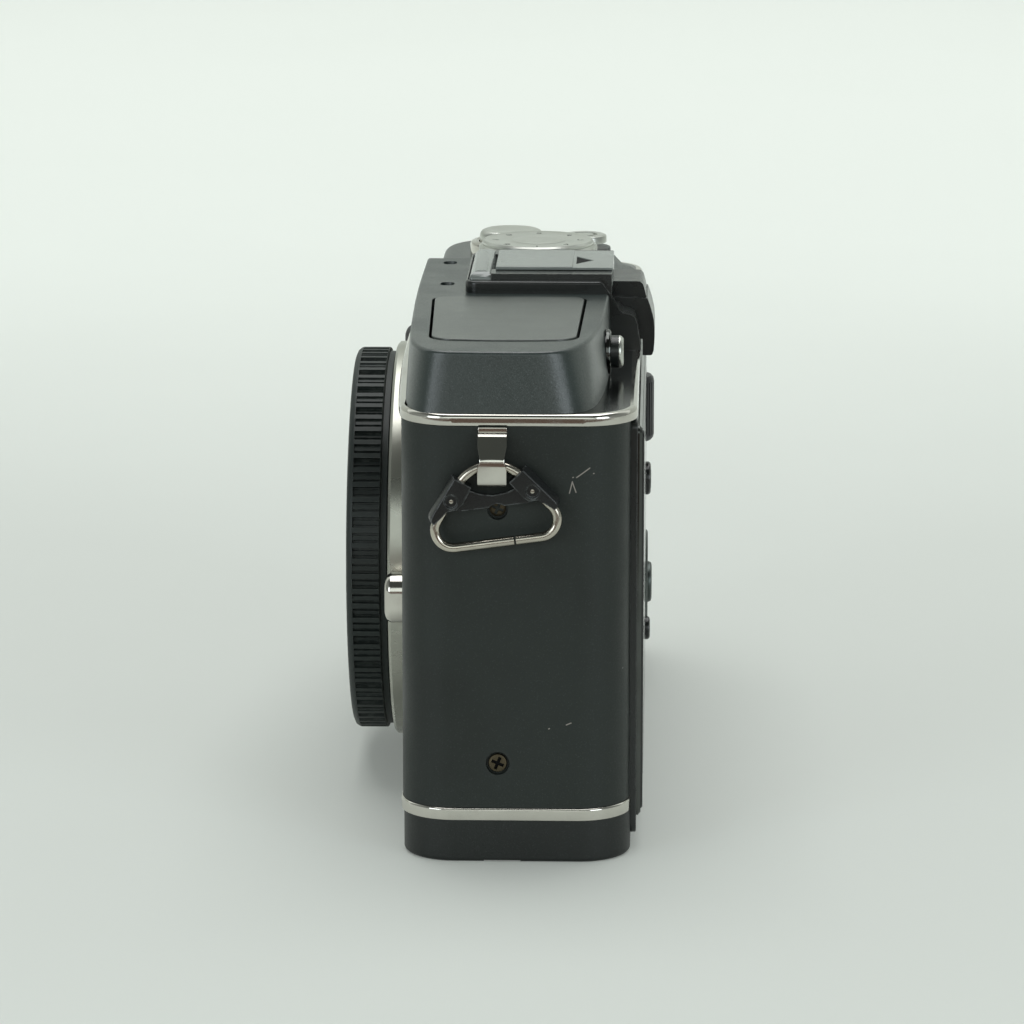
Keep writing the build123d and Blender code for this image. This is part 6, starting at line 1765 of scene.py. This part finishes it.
@dataclass
class HotShoe:
    """Shoe channel with its front bar, the slide that covers it, the plinth and the port cover."""

    env: Envelope
    half: float = 10.2
    inner: float = 9.35
    slot: float = 6.4
    seat: float = 64.3
    floor: float = 65.3
    lip: float = 67.45
    top: float = 68.6
    front: float = -4.6
    rear: float = 11.3
    bar_front: float = -8.0
    bar_foot: float = 66.0
    bar_top: float = 68.9
    pins: tuple[Spot, ...] = ((0, 3.0), (-4.3, 1.0), (4.3, 1.0), (-4.3, 6.4), (4.3, 6.4))
    arrow: tuple[Spot, ...] = ((4.0, 6.4), (0.9, 8.7), (-2.3, 6.4))
    plinth_x: Spot = (-13.5, 12.0)
    plinth_top: float = 67.8
    port_half: float = 5.8

    def build(self) -> None:
        """Build every piece of the shoe."""
        self.build_channel()
        self.build_slide()
        self.build_plinth()
        self.build_port_cover()

    @staticmethod
    def wide(name: str, half: float, low: Spot, high: Spot) -> Piece:
        """Box that reaches as far to both sides, between two corners of depth and height."""
        return Piece.block(name, (-half, *low), (half, *high))

    def build_channel(self) -> None:
        """Channel with inturned lips and a soft bar across its front."""
        right = [(self.half, self.seat), (self.half, self.top), (self.slot, self.top), (self.slot, self.lip)]
        right += [(self.inner, self.lip), (self.inner, self.floor)]
        corners = [(x, self.front - 0.4, z) for x, z in right + [(-x, z) for x, z in reversed(right)]]
        channel = Piece.outline("shoe_channel", corners, REAR).extrude(self.rear - self.front + 0.4)
        channel.cut(*(Piece.rod("pin_hole", (x, y, 60), 1.0, 9, sides=24) for x, y in self.pins))
        place = (0, (self.bar_front + self.front) / 2, self.bar_foot)
        bar = Piece.plate("shoe_bar", place, (2 * self.half, self.front - self.bar_front))
        bar.extrude(self.bar_top - self.bar_foot)
        bar.edges(lambda spot: spot.z > 68 and abs(spot.x) > self.half - 0.01).round(1.5, 8)
        bar.pick(EDGE, lambda edge: edge.calc_face_angle(0) > 1.4 and all(vert.co.z > 66.1 for vert in edge.verts))
        bar.round(0.45, 4)
        channel.finish(SHOE_PAINT, "camera", "hot_shoe", 0.12)
        bar.finish(SLIDE_PAINTED_LIGHT, "camera")

    def build_slide(self) -> None:
        """Cover with a raised middle, a stepped rear field and an arrow."""
        low_y, high_y = self.front + 1.1, self.rear + 0.1
        foot = self.wide("shoe_slide", self.inner - 0.12, (low_y, 66.85), (high_y, 67.4))
        foot.cut(self.wide("rise", self.slot - 0.12, (low_y, 67.0), (high_y, 68.74)), union=True)
        plate = self.wide("plate", self.slot + 0.9, (self.front + 0.15, 68.66), (6.0, 69.09))
        plate.edges(lambda spot: spot.z > 69).round(0.12, 2)
        field = self.wide("field", self.slot + 0.9, (5.9, 68.66), (high_y, 68.98))
        field.cut(Piece.outline("arrow", [(x, y, 68.78) for x, y in self.arrow]).extrude(1))
        foot.join(plate, field)
        skirts = []
        for side in (-1, 1):
            low_x, high_x = sorted((side * (self.inner - 0.12), side * (self.port_half + 1.2)))
            skirts.append(Piece.block("skirt", (low_x, low_y, self.floor + 0.05), (high_x, self.rear, 66.9)))
        foot.join(*skirts).finish(SLIDE_PAINTED_LIGHT, "hot_shoe_cover", "hot_shoe_cover", 0.05)
        mark = Piece.outline("slide_arrow", [(x, y, 68.79) for x, y in self.arrow])
        mark.extrude(0.03).finish(MATT, "hot_shoe_cover")

    def build_plinth(self) -> None:
        """Black surround with rounded front corners, and the stepped fairing down the rear."""
        low_x, high_x = self.plinth_x
        front, back, foot = self.bar_front - 0.4, 9.9, self.bar_foot
        place, size = ((low_x + high_x) / 2, (front + back) / 2, foot), (high_x - low_x, back - front)
        slab = Piece.plate("shoe_surround", place, size).round_corner(1.8, 10, lambda vert: vert.co.y < 0)
        slab.extrude(self.plinth_top - foot - 0.35).rise(*quarter(0.35, 4))
        profile = [
            (9.8, 58.5), (15.25, 58.5), (15.0, 60.5), (14.7, 62.2), (14.4, 63.0), (13.7, 63.4), (12.8, 63.6),
            (12.5, 63.9), (10.15, 67.6), (9.8, 67.8),
        ]
        slab.cut(Piece.bar("fairing", profile, low_x, high_x), union=True)
        seat = self.seat - 0.1
        low = self.wide("low_seat", self.port_half + 0.2, (10.9, 57), (20, 66))
        inner = self.wide("inner", self.half + 0.1, (10, seat), (20, 70))
        channel = self.wide("channel", self.half + 0.1, (self.bar_front - 0.1, seat), (12, 70))
        far = Piece.block("far_end", (low_x - 1, 9.95, 65.6), (-self.port_half, 20, 70))
        slab.cut(channel, low, inner, far).finish(SMOOTH, "camera", "shoe_plinth", 0.15, 3)

    def build_port_cover(self) -> None:
        """Cap over the rear of the shoe with a tongue in the port."""
        front, rear, half = self.rear + 0.05, 17.09, self.port_half
        foot = arc((16.5, 57.1), 0.35, -90, -5, 3)
        back = [(rear - 0.13, 57.4), (rear - 0.03, 58.6), (rear, 60.2), (16.93, 61.8), (16.55, 63.3), (16.1, 64.6)]
        profile = [(front, 59.0), (15.45, 59.0), (15.45, 56.75), *foot, *through(back, 3), (13.4, 64.7), (front, 64.7)]
        cover = Piece.bar("port_cap", profile, -half, half)
        lid = [(front, 64.5), (15.95, 64.5), (15.75, 65.5), (15.5, 66.35), (15.1, 66.75), (14.6, 66.8), (front, 66.8)]
        cover.cut(Piece.bar("roof", lid, 0.8 - half, half - 0.8), union=True)
        cover.cut(*(self.wide("line", 4.2, (rear - 0.2, z), (rear + 1, z + 0.3)) for z in (58.4, 59.3, 60.2)))
        cover.cut(self.wide("tongue", 4.2, (front - 4.8, 60.2), (front + 0.1, 62.0)), union=True)
        cover.finish(SMOOTH, "accessory_port_cover", "accessory_port_cover", 0.22, 3)


@dataclass
class TopControls:
    """Mode dial, shutter button with its collar, power and function buttons."""

    env: Envelope
    shoulder: float = 62.0
    roof: float = 60.7
    dial: Spot = (-27.0, 0.4)
    dial_radius: float = 8.4
    dial_height: float = 4.6
    figure_circle: float = 6.15
    figure_size: float = 1.9
    shutter: Spot = (-46.0, -4.0)
    power: Spot = (-55.5, 6.5)
    function: Spot = (-42.5, 7.8)
    ridges: int = 48

    def build(self) -> None:
        """Build each control."""
        self.build_dial()
        self.build_shutter()
        self.build_round("power", self.power, 3.3, 1.5, CONTROL, 0.25)
        self.build_round("function", self.function, 2.4, 1.2, MOULDING, 0.0)

    def build_dial(self) -> None:
        """Ridged knob with a dished cap and raised numbers, on a spindle."""
        base = self.shoulder + 0.3
        radius, height, sides = self.dial_radius, self.dial_height, self.ridges * 4
        rim = [(0.25, 0.0), (0.0, 0.3), (0.0, height - 0.35), (0.3, height), (0.5, height), (0.5, height + 0.35)]
        cap = [(0.75, 0.6), (1.2, 0.6), (1.4, 0.52), (4.4, 0.46), (4.6, 0.56), (6.5, 0.6)]
        profile = [(radius - inward, up) for inward, up in rim + [(inward, height + up) for inward, up in cap]]
        knob = Piece.lathe("dial_knob", (*self.dial, base), profile, sides=sides)

        def is_groove(facet: bmesh.types.BMFace) -> bool:
            """Whether a facet of the knob's side becomes a groove.

            Args:
                facet: The facet.

            Returns:
                True for a groove.
            """
            x, y, z = facet.calc_center_median()
            on_side = base + 0.35 < z < base + height - 0.4 and abs(facet.normal.z) < 0.2
            return on_side and turn_slot(y - self.dial[1], x - self.dial[0], sides) % 4 == 0

        knob.press(is_groove, 0.03, 0.35)
        knob.join(*(
            Piece.rod("spindle", (*self.dial, foot), wide, length, sides=32)
            for foot, wide, length in ((base - 2.4, 2.0, 2.6), (self.roof - 1.3, 3.0, 1.0))
        ))
        knob.finish(CONTROL, "mode_dial", "mode_dial")
        first, *rest = (self.figure(number, base + height + 0.47) for number in range(8))
        first.join(*rest).finish(MARK, "mode_dial")

    def figure(self, number: int, level: float) -> Piece:
        """Plain figure that stands a little out of the dial's face.

        Args:
            number: Which figure, counted from 0.
            level: Height it lies at.

        Returns:
            The figure as a mesh.
        """
        Piece.clear()
        angle, reach = math.radians(45 * number), self.figure_circle
        place = (self.dial[0] + reach * math.cos(angle), self.dial[1] + reach * math.sin(angle), level)
        bpy.ops.object.text_add(location=place, rotation=(0, 0, angle - math.pi / 2))
        body = bpy.context.object.data
        body.body, body.size, body.extrude = str(number + 1), self.figure_size, 0.04
        body.align_x, body.align_y, body.resolution_u = "CENTER", "CENTER", 3
        bpy.ops.object.convert(target="MESH")
        return Piece("dial_figures").solid()

    def build_shutter(self) -> None:
        """Ridged collar and the domed button in it."""
        profile = [(6.0, 0.0), (6.0, 1.9), (5.85, 2.25), (5.6, 2.4), (5.15, 2.45), (4.95, 2.3)]
        collar = Piece.lathe("shutter_collar", (*self.shutter, self.shoulder - 0.05), profile, sides=160)
        collar.cut(Piece.rod("bore", (*self.shutter, self.shoulder - 1), 4.75, 6, sides=64))
        collar.finish(CHROME, "camera", "button_collars")
        profile = [
            (4.6, 0.0), (4.6, 1.8), (4.5, 2.2), (4.25, 2.5), (3.9, 2.66), (3.4, 2.7), (2.8, 2.62), (1.6, 2.48),
            (0.6, 2.42),
        ]
        button = Piece.lathe("shutter_key", (*self.shutter, self.shoulder + 1.3), profile, sides=96)
        self.stem(button, self.shutter, 1.5, 3).finish(CONTROL, "shutter_button", "shutter_button")

    def stem(self, button: Piece, spot: Spot, radius: float, length: float) -> Piece:
        """Join a button to its stem and the keeper under the roof."""
        shaft = Piece.rod("stem", (*spot, self.roof - 0.8), radius, length, sides=32)
        return button.join(shaft, Piece.rod("keeper", (*spot, self.roof - 1.0), radius + 0.7, 0.7, sides=32))

    def build_round(self, word: str, spot: Spot, radius: float, stem: float, finish: Finish, ring: float) -> None:
        """Build a low round button on the shoulder.

        Args:
            word: First word of its node's name.
            spot: Where it stands.
            radius: Radius of its head.
            stem: Radius of its stem.
            finish: Its finish.
            ring: Depth of a ring pressed into its face, or 0.
        """
        rim = [(radius, 0.0), (radius, 0.8), (radius - 0.1, 1.0), (radius - 0.3, 1.1)]
        if ring:
            face = ((0.6, 1.1), (0.57, 1.1 - ring), (0.45, 1.1 - ring), (0.42, 1.1))
            rim += [(share * radius, up) for share, up in face]
        profile = [*rim, (0.25 * radius, 1.08)]
        button = Piece.lathe(f"{word}_key", (*spot, self.shoulder + 0.7), profile, sides=64)
        self.stem(button, spot, stem, 2.9).finish(finish, f"{word}_button", f"{word}_button")


@dataclass
class Rear:
    """Rear cover with the display, the wheel, the buttons, the roller and the thumb rest."""

    env: Envelope
    inner_y: float = 12.4
    display_low: Spot = (-24.0, 2.0)
    display_high: Spot = (50.5, 56.4)
    frame_depth: float = 1.5
    wheel: Spot = (-41.0, 14.5)
    wheel_radius: float = 7.8
    wheel_hub: float = 4.6
    roller: Point = (-33.0, 13.2, 42.2)
    roller_radius: float = 3.8
    roller_length: float = 9.4
    pad: Spot = (-50.0, 38.9)
    buttons: tuple[tuple[str, float, float, float], ...] = (
        ("menu", -31.5, 32.0, 2.4), ("info", -54.0, 27.2, 1.7), ("play", -31.0, 9.9, 1.7),
        ("delete", -53.5, 10.4, 1.7), ("magnify", -31.5, 52.3, 1.7),
    )

    def build(self) -> None:
        """Build every piece of the rear."""
        self.build_cover()
        self.build_display()
        self.build_wheel()
        for button in self.buttons:
            self.build_button(*button)
        self.build_roller()
        self.build_thumb_rest()

    def build_cover(self) -> None:
        """Moulded plate with a hole for every control and a shallow line round it."""
        env, cover_y = self.env, self.env.cover_y
        low, high = env.far_x + 7.1, env.near_x - 7.1
        plate = Piece.block("rear_plate", (low, self.inner_y, env.shell_z), (high, cover_y, env.upper_z))
        plate.pick(FACE, lambda facet: facet.normal.y > 0.9).rise((0.15, 0.0), (0.2, -0.15), (0.2, 0.15))
        holes = [(x, z, radius + 0.1) for _, x, z, radius in self.buttons]
        tools = [
            Piece.rod("hole", (x, 10, z), radius, 8, REAR)
            for x, z, radius in (*holes, (*self.wheel, self.wheel_hub + 0.08))
        ]
        for x, z, radius in holes:
            tools.append(Piece.rod("dish", (x, cover_y - 0.3, z), radius + 0.35, 0.05, REAR).rise((-0.5, 0.6)))
        x, _, z = self.roller
        size = (2 * self.roller_radius + 0.4, self.roller_length + 0.4)
        tools.append(Piece.slab("slot", (x, 10, z), size, 0.6, 4, REAR).extrude(8))
        plate.cut(*tools).finish(MOULDING, "camera", "rear_cover", 0.08, 1)

    def build_display(self) -> None:
        """Frame with rounded edges, a dark rim inside it, the dark pane over it and a thin line on the pane."""
        (low_x, low_z), (high_x, high_z) = self.display_low, self.display_high

        def flat(name: str, out: float, up: float, less: Spot) -> Piece:
            """Start from a rectangle over the display, out of the cover and smaller than the frame."""
            place = ((low_x + high_x) / 2, self.env.cover_y + out, (low_z + high_z) / 2 + up)
            return Piece.plate(name, place, (high_x - low_x - less[0], high_z - low_z - less[1]), REAR)

        frame = flat("display_bezel", -0.02, 0.0, (0, 0)).round_corner(1.2, 8)
        frame.extrude(self.frame_depth - 0.75).rise(*quarter(0.2, 3), (0.5, 0.0), (0.05, -0.2))
        frame.cut(flat("well", 0.5, 0.0, (6, 6)).extrude(3)).finish(SMOOTH, "camera", "display_frame", 0.06)
        rim = flat("display_rim", 0.7, 0.7, (0.7, 3.0)).round_corner(1.0, 8).extrude(0.45).rise((0.4, 0.35), (0.3, 0.0))
        rim.cut(flat("well", 0.0, 0.0, (6, 6)).extrude(3)).finish(BLACK_CHROME, "camera")
        glass = flat("display_pane", 1.15, 0.7, (2.1, 4.4)).round_corner(1.0, 6).extrude(0.4).rise((0.22, 0.2))
        glass.finish(SCREEN, "camera", "display_glass", 0.03)
        flat("display_line", 1.74, 0.5, (12, 12)).hollow(0.25, 0.02).finish(MOULDING, "camera")

    def build_wheel(self) -> None:
        """Ridged wheel with four plain marks, and the button in its middle."""
        x, z = self.wheel
        cover_y, radius, hub, sides = self.env.cover_y, self.wheel_radius, self.wheel_hub, 240
        rim = [(radius, 0.0), (radius, 1.2), (radius - 0.15, 1.5), (radius - 0.5, 1.7), (radius - 1.6, 1.7)]
        profile = [*rim, (radius - 2.3, 1.25), (3.9, 1.2), (3.6, 1.3), (3.3, 1.3)]
        wheel = Piece.lathe("wheel_ring", (x, cover_y + 0.3, z), profile, REAR, sides)

        def is_groove(facet: bmesh.types.BMFace) -> bool:
            """Whether a facet of the wheel's outer face becomes a groove.

            Args:
                facet: The facet.

            Returns:
                True for a groove.
            """
            middle = facet.calc_center_median()
            across, up = middle.x - x, middle.z - z
            on_face = radius - 1.6 < math.hypot(across, up) < radius - 0.5 and facet.normal.y > 0.9
            return on_face and turn_slot(up, across, sides) % 4 == 0

        wheel.press(is_groove, 0.02, 0.18)
        steps = ((9.9, hub, 4.7), (11.0, hub + 0.8, 1.0))
        wheel.cut(*(Piece.rod("hub", (x, y, z), wide, long, REAR) for y, wide, long in steps), union=True)
        wheel.cut(Piece.rod("bore", (x, 8, z), 3.1, 12, REAR, 64))
        wheel.finish(WHEEL_PAINTED_SHADE, "control_wheel", "control_wheel", 0.04, 1)
        marks = []
        for turn in range(4):
            angle = math.radians(90 * turn)
            place = (x + 4.7 * math.cos(angle), cover_y + 1.5, z + 4.7 * math.sin(angle))
            size = (0.28, 0.9) if turn % 2 else (0.9, 0.28)
            marks.append(Piece.plate("wheel_marks", place, size, REAR).extrude(0.06))
        marks[0].join(*marks[1:]).finish(MARK, "control_wheel")
        profile = [(3.0, 0.0), (3.0, 5.7), (2.85, 6.05), (2.5, 6.2), (1.8, 6.12), (0.9, 6.05)]
        key = Piece.lathe("ok_key", (x, 10.6, z), profile, REAR, 64)
        key.join(Piece.rod("foot", (x, 10.0, z), 3.8, 0.8, REAR)).finish(WHEEL_PAINTED_SHADE, "ok_button", "ok_button")

    def build_button(self, word: str, x: float, z: float, radius: float) -> None:
        """Build a small round button through the rear cover.

        Args:
            word: First word of its node's name.
            x: Its place along the body.
            z: Its height.
            radius: Its radius.
        """
        rim = [(radius, 0.0), (radius, 4.3), (radius - 0.12, 4.56), (radius - 0.4, 4.7)]
        profile = [*rim, (0.5 * radius, 4.6), (0.3 * radius, 4.58)]
        key = Piece.lathe(f"{word}_key", (x, self.inner_y - 0.5, z), profile, REAR)
        key.join(Piece.rod("flange", (x, self.inner_y - 1.3, z), radius + 0.7, 1.0, REAR, 40))
        key.finish(SMOOTH, f"{word}_button", f"{word}_button")

    def build_roller(self) -> None:
        """Knurled barrel with plain ends, on its axle."""
        x, y, z = self.roller
        half, radius, sides = self.roller_length / 2, self.roller_radius, 120
        ends = [(radius - 0.4, 0.0), (radius - 0.1, 0.35), (radius, 0.8)]
        profile = [*ends, *[(reach, 2 * half - up) for reach, up in reversed(ends)]]
        barrel = Piece.lathe("roller_barrel", (x, y, z - half), profile, sides=sides)

        def is_groove(facet: bmesh.types.BMFace) -> bool:
            """Whether a facet of the barrel becomes a groove.

            Args:
                facet: The facet.

            Returns:
                True for a groove.
            """
            middle = facet.calc_center_median()
            on_side = abs(middle.z - z) < half - 0.8 and abs(facet.normal.z) < 0.1
            return on_side and turn_slot(middle.y - y, middle.x - x, sides) % 3 == 0

        barrel.press(is_groove, 0.03, 0.3)
        barrel.join(Piece.rod("axle", (x, y, z - half - 1.2), 0.5, 2 * half + 2.4, sides=24))
        barrel.finish(DARK, "control_roller", "control_roller")

    def build_thumb_rest(self) -> None:
        """Soft pad with rows of small dots."""
        (x, z), y = self.pad, self.env.cover_y
        rest = Piece.slab("thumb_pad", (x, y - 0.02, z), (13.0, 9.2), 3.0, 8, REAR)
        rest.extrude(0.1).rise((0.25, 1.0), *quarter(0.8, 5))
        spots = [(x + 1.9 * column, z + 1.9 * row) for row in (-1, 0, 1) for column in (-2, -1, 0, 1, 2)]
        rest.join(*(Piece.rod("dot", (a, y + 1.8, b), 0.5, 0.08, REAR, 12).rise((0.15, 0.1)) for a, b in spots))
        rest.finish(RUBBER, "camera", "thumb_rest")


@dataclass
class FrontAndBase:
    """Front grip, focus lamp, side door, battery door with its latch, and tripod insert."""

    env: Envelope
    grip: Spot = (-50.2, 14.0)
    grip_z: Spot = (10.0, 50.5)
    grip_stand: float = 4.9
    lamp: Spot = (-32.0, 50.0)
    door_low: Spot = (-60.1, -12.3)
    door_high: Spot = (-23.7, 7.3)
    tripod: float = 3.175

    def build(self) -> None:
        """Build each piece."""
        self.build_grip()
        self.build_lamp()
        self.build_side_door()
        self.build_battery_door()
        self.build_tripod()

    def build_grip(self) -> None:
        """Bulge with rounded ends."""
        (x, width), (low, high) = self.grip, self.grip_z
        face = self.env.front_y + self.env.proud
        crest, half = face - self.grip_stand, width / 2
        corners = [(x - half, face + 0.02), (x + half, face + 0.02), (x + 0.2 * half, crest), (x - 0.75 * half, crest)]
        grip = Piece.outline("grip_bulge", [(a, b, low) for a, b in corners])
        grip.round_corner(2.4, 12, lambda vert: vert.co.y < crest + 0.1).extrude(high - low)

        def on_end(edge: bmesh.types.BMEdge) -> bool:
            """Whether an edge bounds one of the grip's two ends."""
            flat = any(all(abs(vert.co.z - end) < 0.01 for vert in edge.verts) for end in self.grip_z)
            return flat and all(vert.co.y < face for vert in edge.verts)

        grip.pick(EDGE, on_end).round(1.3, 6).finish(RUBBER, "camera", "front_grip")

    def build_lamp(self) -> None:
        """Small domed lamp window with its holder."""
        x, z = self.lamp
        profile = [(2.6, 0.0), (2.6, 0.1), (2.0, 0.15), (2.0, 1.2), (1.9, 1.38), (1.6, 1.45), (1.2, 1.42), (0.5, 1.4)]
        lamp = Piece.lathe("lamp_lens", (x, self.env.front_y + 1.4, z), profile, FRONT)
        lamp.finish(LAMP, "camera", "af_lamp")

    def build_side_door(self) -> None:
        """Door over the sockets, with a nail slot and its hinge roll."""
        outer = self.env.far_x + self.env.proud
        door = Piece.block("side_flap", (outer, -5.6, 19.1), (outer + 1.2, 6.2, 39.9))

        def is_end(edge: bmesh.types.BMEdge) -> bool:
            """Whether an edge lies level at the door's free end."""
            (_, low_y, low_z), (_, high_y, high_z) = (vert.co for vert in edge.verts)
            return min(low_y, high_y) > 6 and low_z == high_z

        door.pick(EDGE, is_end).round(1.2, 6)
        door.cut(Piece.plate("nail", (outer + 0.35, 5.2, 29.5), (0.9, 5.0), FAR).extrude(2))
        door.join(Piece.rod("roll", (outer + 0.6, -5.6, 19.1), 0.6, 20.8, sides=24))
        door.finish(PAINT, "port_door", "port_door", 0.12)

    def build_battery_door(self) -> None:
        """Door with its roll, a pocket for the latch, and the ridged latch."""
        (low_x, low_y), (high_x, high_y) = self.door_low, self.door_high
        middle = (low_y + high_y) / 2

        def across(name: str, low: float, high: float, half: float, levels: Spot) -> Piece:
            """Box along the latch's way, between two distances from the door's far edge."""
            ends = [(low_x + x, middle + side * half, z) for x, side, z in zip((low, high), (-1, 1), levels)]
            return Piece.block(name, *ends)

        door = Piece.block("battery_flap", (low_x, low_y, 0.15), (high_x, high_y, 1.75))
        door.cut(across("pocket", -1, 6.6, 1.6, (0.65, 3)), across("slot", 1.9, 5.9, 0.9, (0, 3)))
        door.join(Piece.rod("roll", (high_x, low_y, 0.95), 0.8, high_y - low_y, REAR, 32))
        door.finish(MOULDING, "battery_door", "battery_door", 0.12)
        latch = across("door_slide", 0.1, 5.9, 1.5, (0.75, 1.65))
        ridges = (across("ridge", 3.0 + 0.7 * step, 3.3 + 0.7 * step, 0.75, (0.22, 0.4)) for step in range(4))
        latch.join(across("knob", 2.7, 5.8, 0.8, (0.35, 0.8)), *ridges)
        latch.finish(SMOOTH, "battery_latch", "battery_latch", 0.05, 1)

    def build_tripod(self) -> None:
        """Insert with turned thread grooves in its bore."""
        radius, profile = self.tripod, [(self.tripod, 5.4)]
        for level in (4.6, 3.5, 2.4, 1.3):
            groove = ((0.0, 0.0), (0.45, 0.35), (0.45, 0.5), (0.0, 0.85))
            profile += [(radius + out, level - down) for out, down in groove]
        profile += [(radius + 0.4, 0.0), (5.9, 0.0), (6.0, 0.1), (6.0, 2.0), (7.5, 2.0), (7.5, 5.4)]
        insert = Piece.disc("tripod_insert", (0, 0, 5.4), radius, sides=64).turned(profile, (0.0, 0.0, 0.0))
        insert.finish(STEEL, "camera", "tripod_socket")


def dress_frame(nodes: dict[str, bpy.types.Object], record: dict) -> None:
    """Give every CAD node that stays the finish of its material slot.

    Args:
        nodes: CAD nodes by name.
        record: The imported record.
    """
    slots = {part["node"]: part["material_slot"] for part in record["subparts"]}
    for name, node in nodes.items():
        finish = BY_SLOT[slots[name]]
        node.data.materials.clear()
        node.data.materials.append(finish.material())
        LOG.info("%s wears %s", name, finish.name)


def main() -> None:
    """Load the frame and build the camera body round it."""
    logging.basicConfig(level=logging.INFO, format="%(name)s: %(message)s")
    for leftover in list(bpy.data.objects):
        bpy.data.objects.remove(leftover)
    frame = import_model()
    Studio().build()
    dress_frame(frame["nodes"], frame["record"])
    assemblies = (
        BodyWork, LensMount, BodyCap, StrapFittings, Fasteners, TopCover, Flash, HotShoe, TopControls, Rear,
        FrontAndBase,
    )
    for assembly in assemblies:
        assembly(Envelope()).build()


if __name__ == "__main__":
    main()
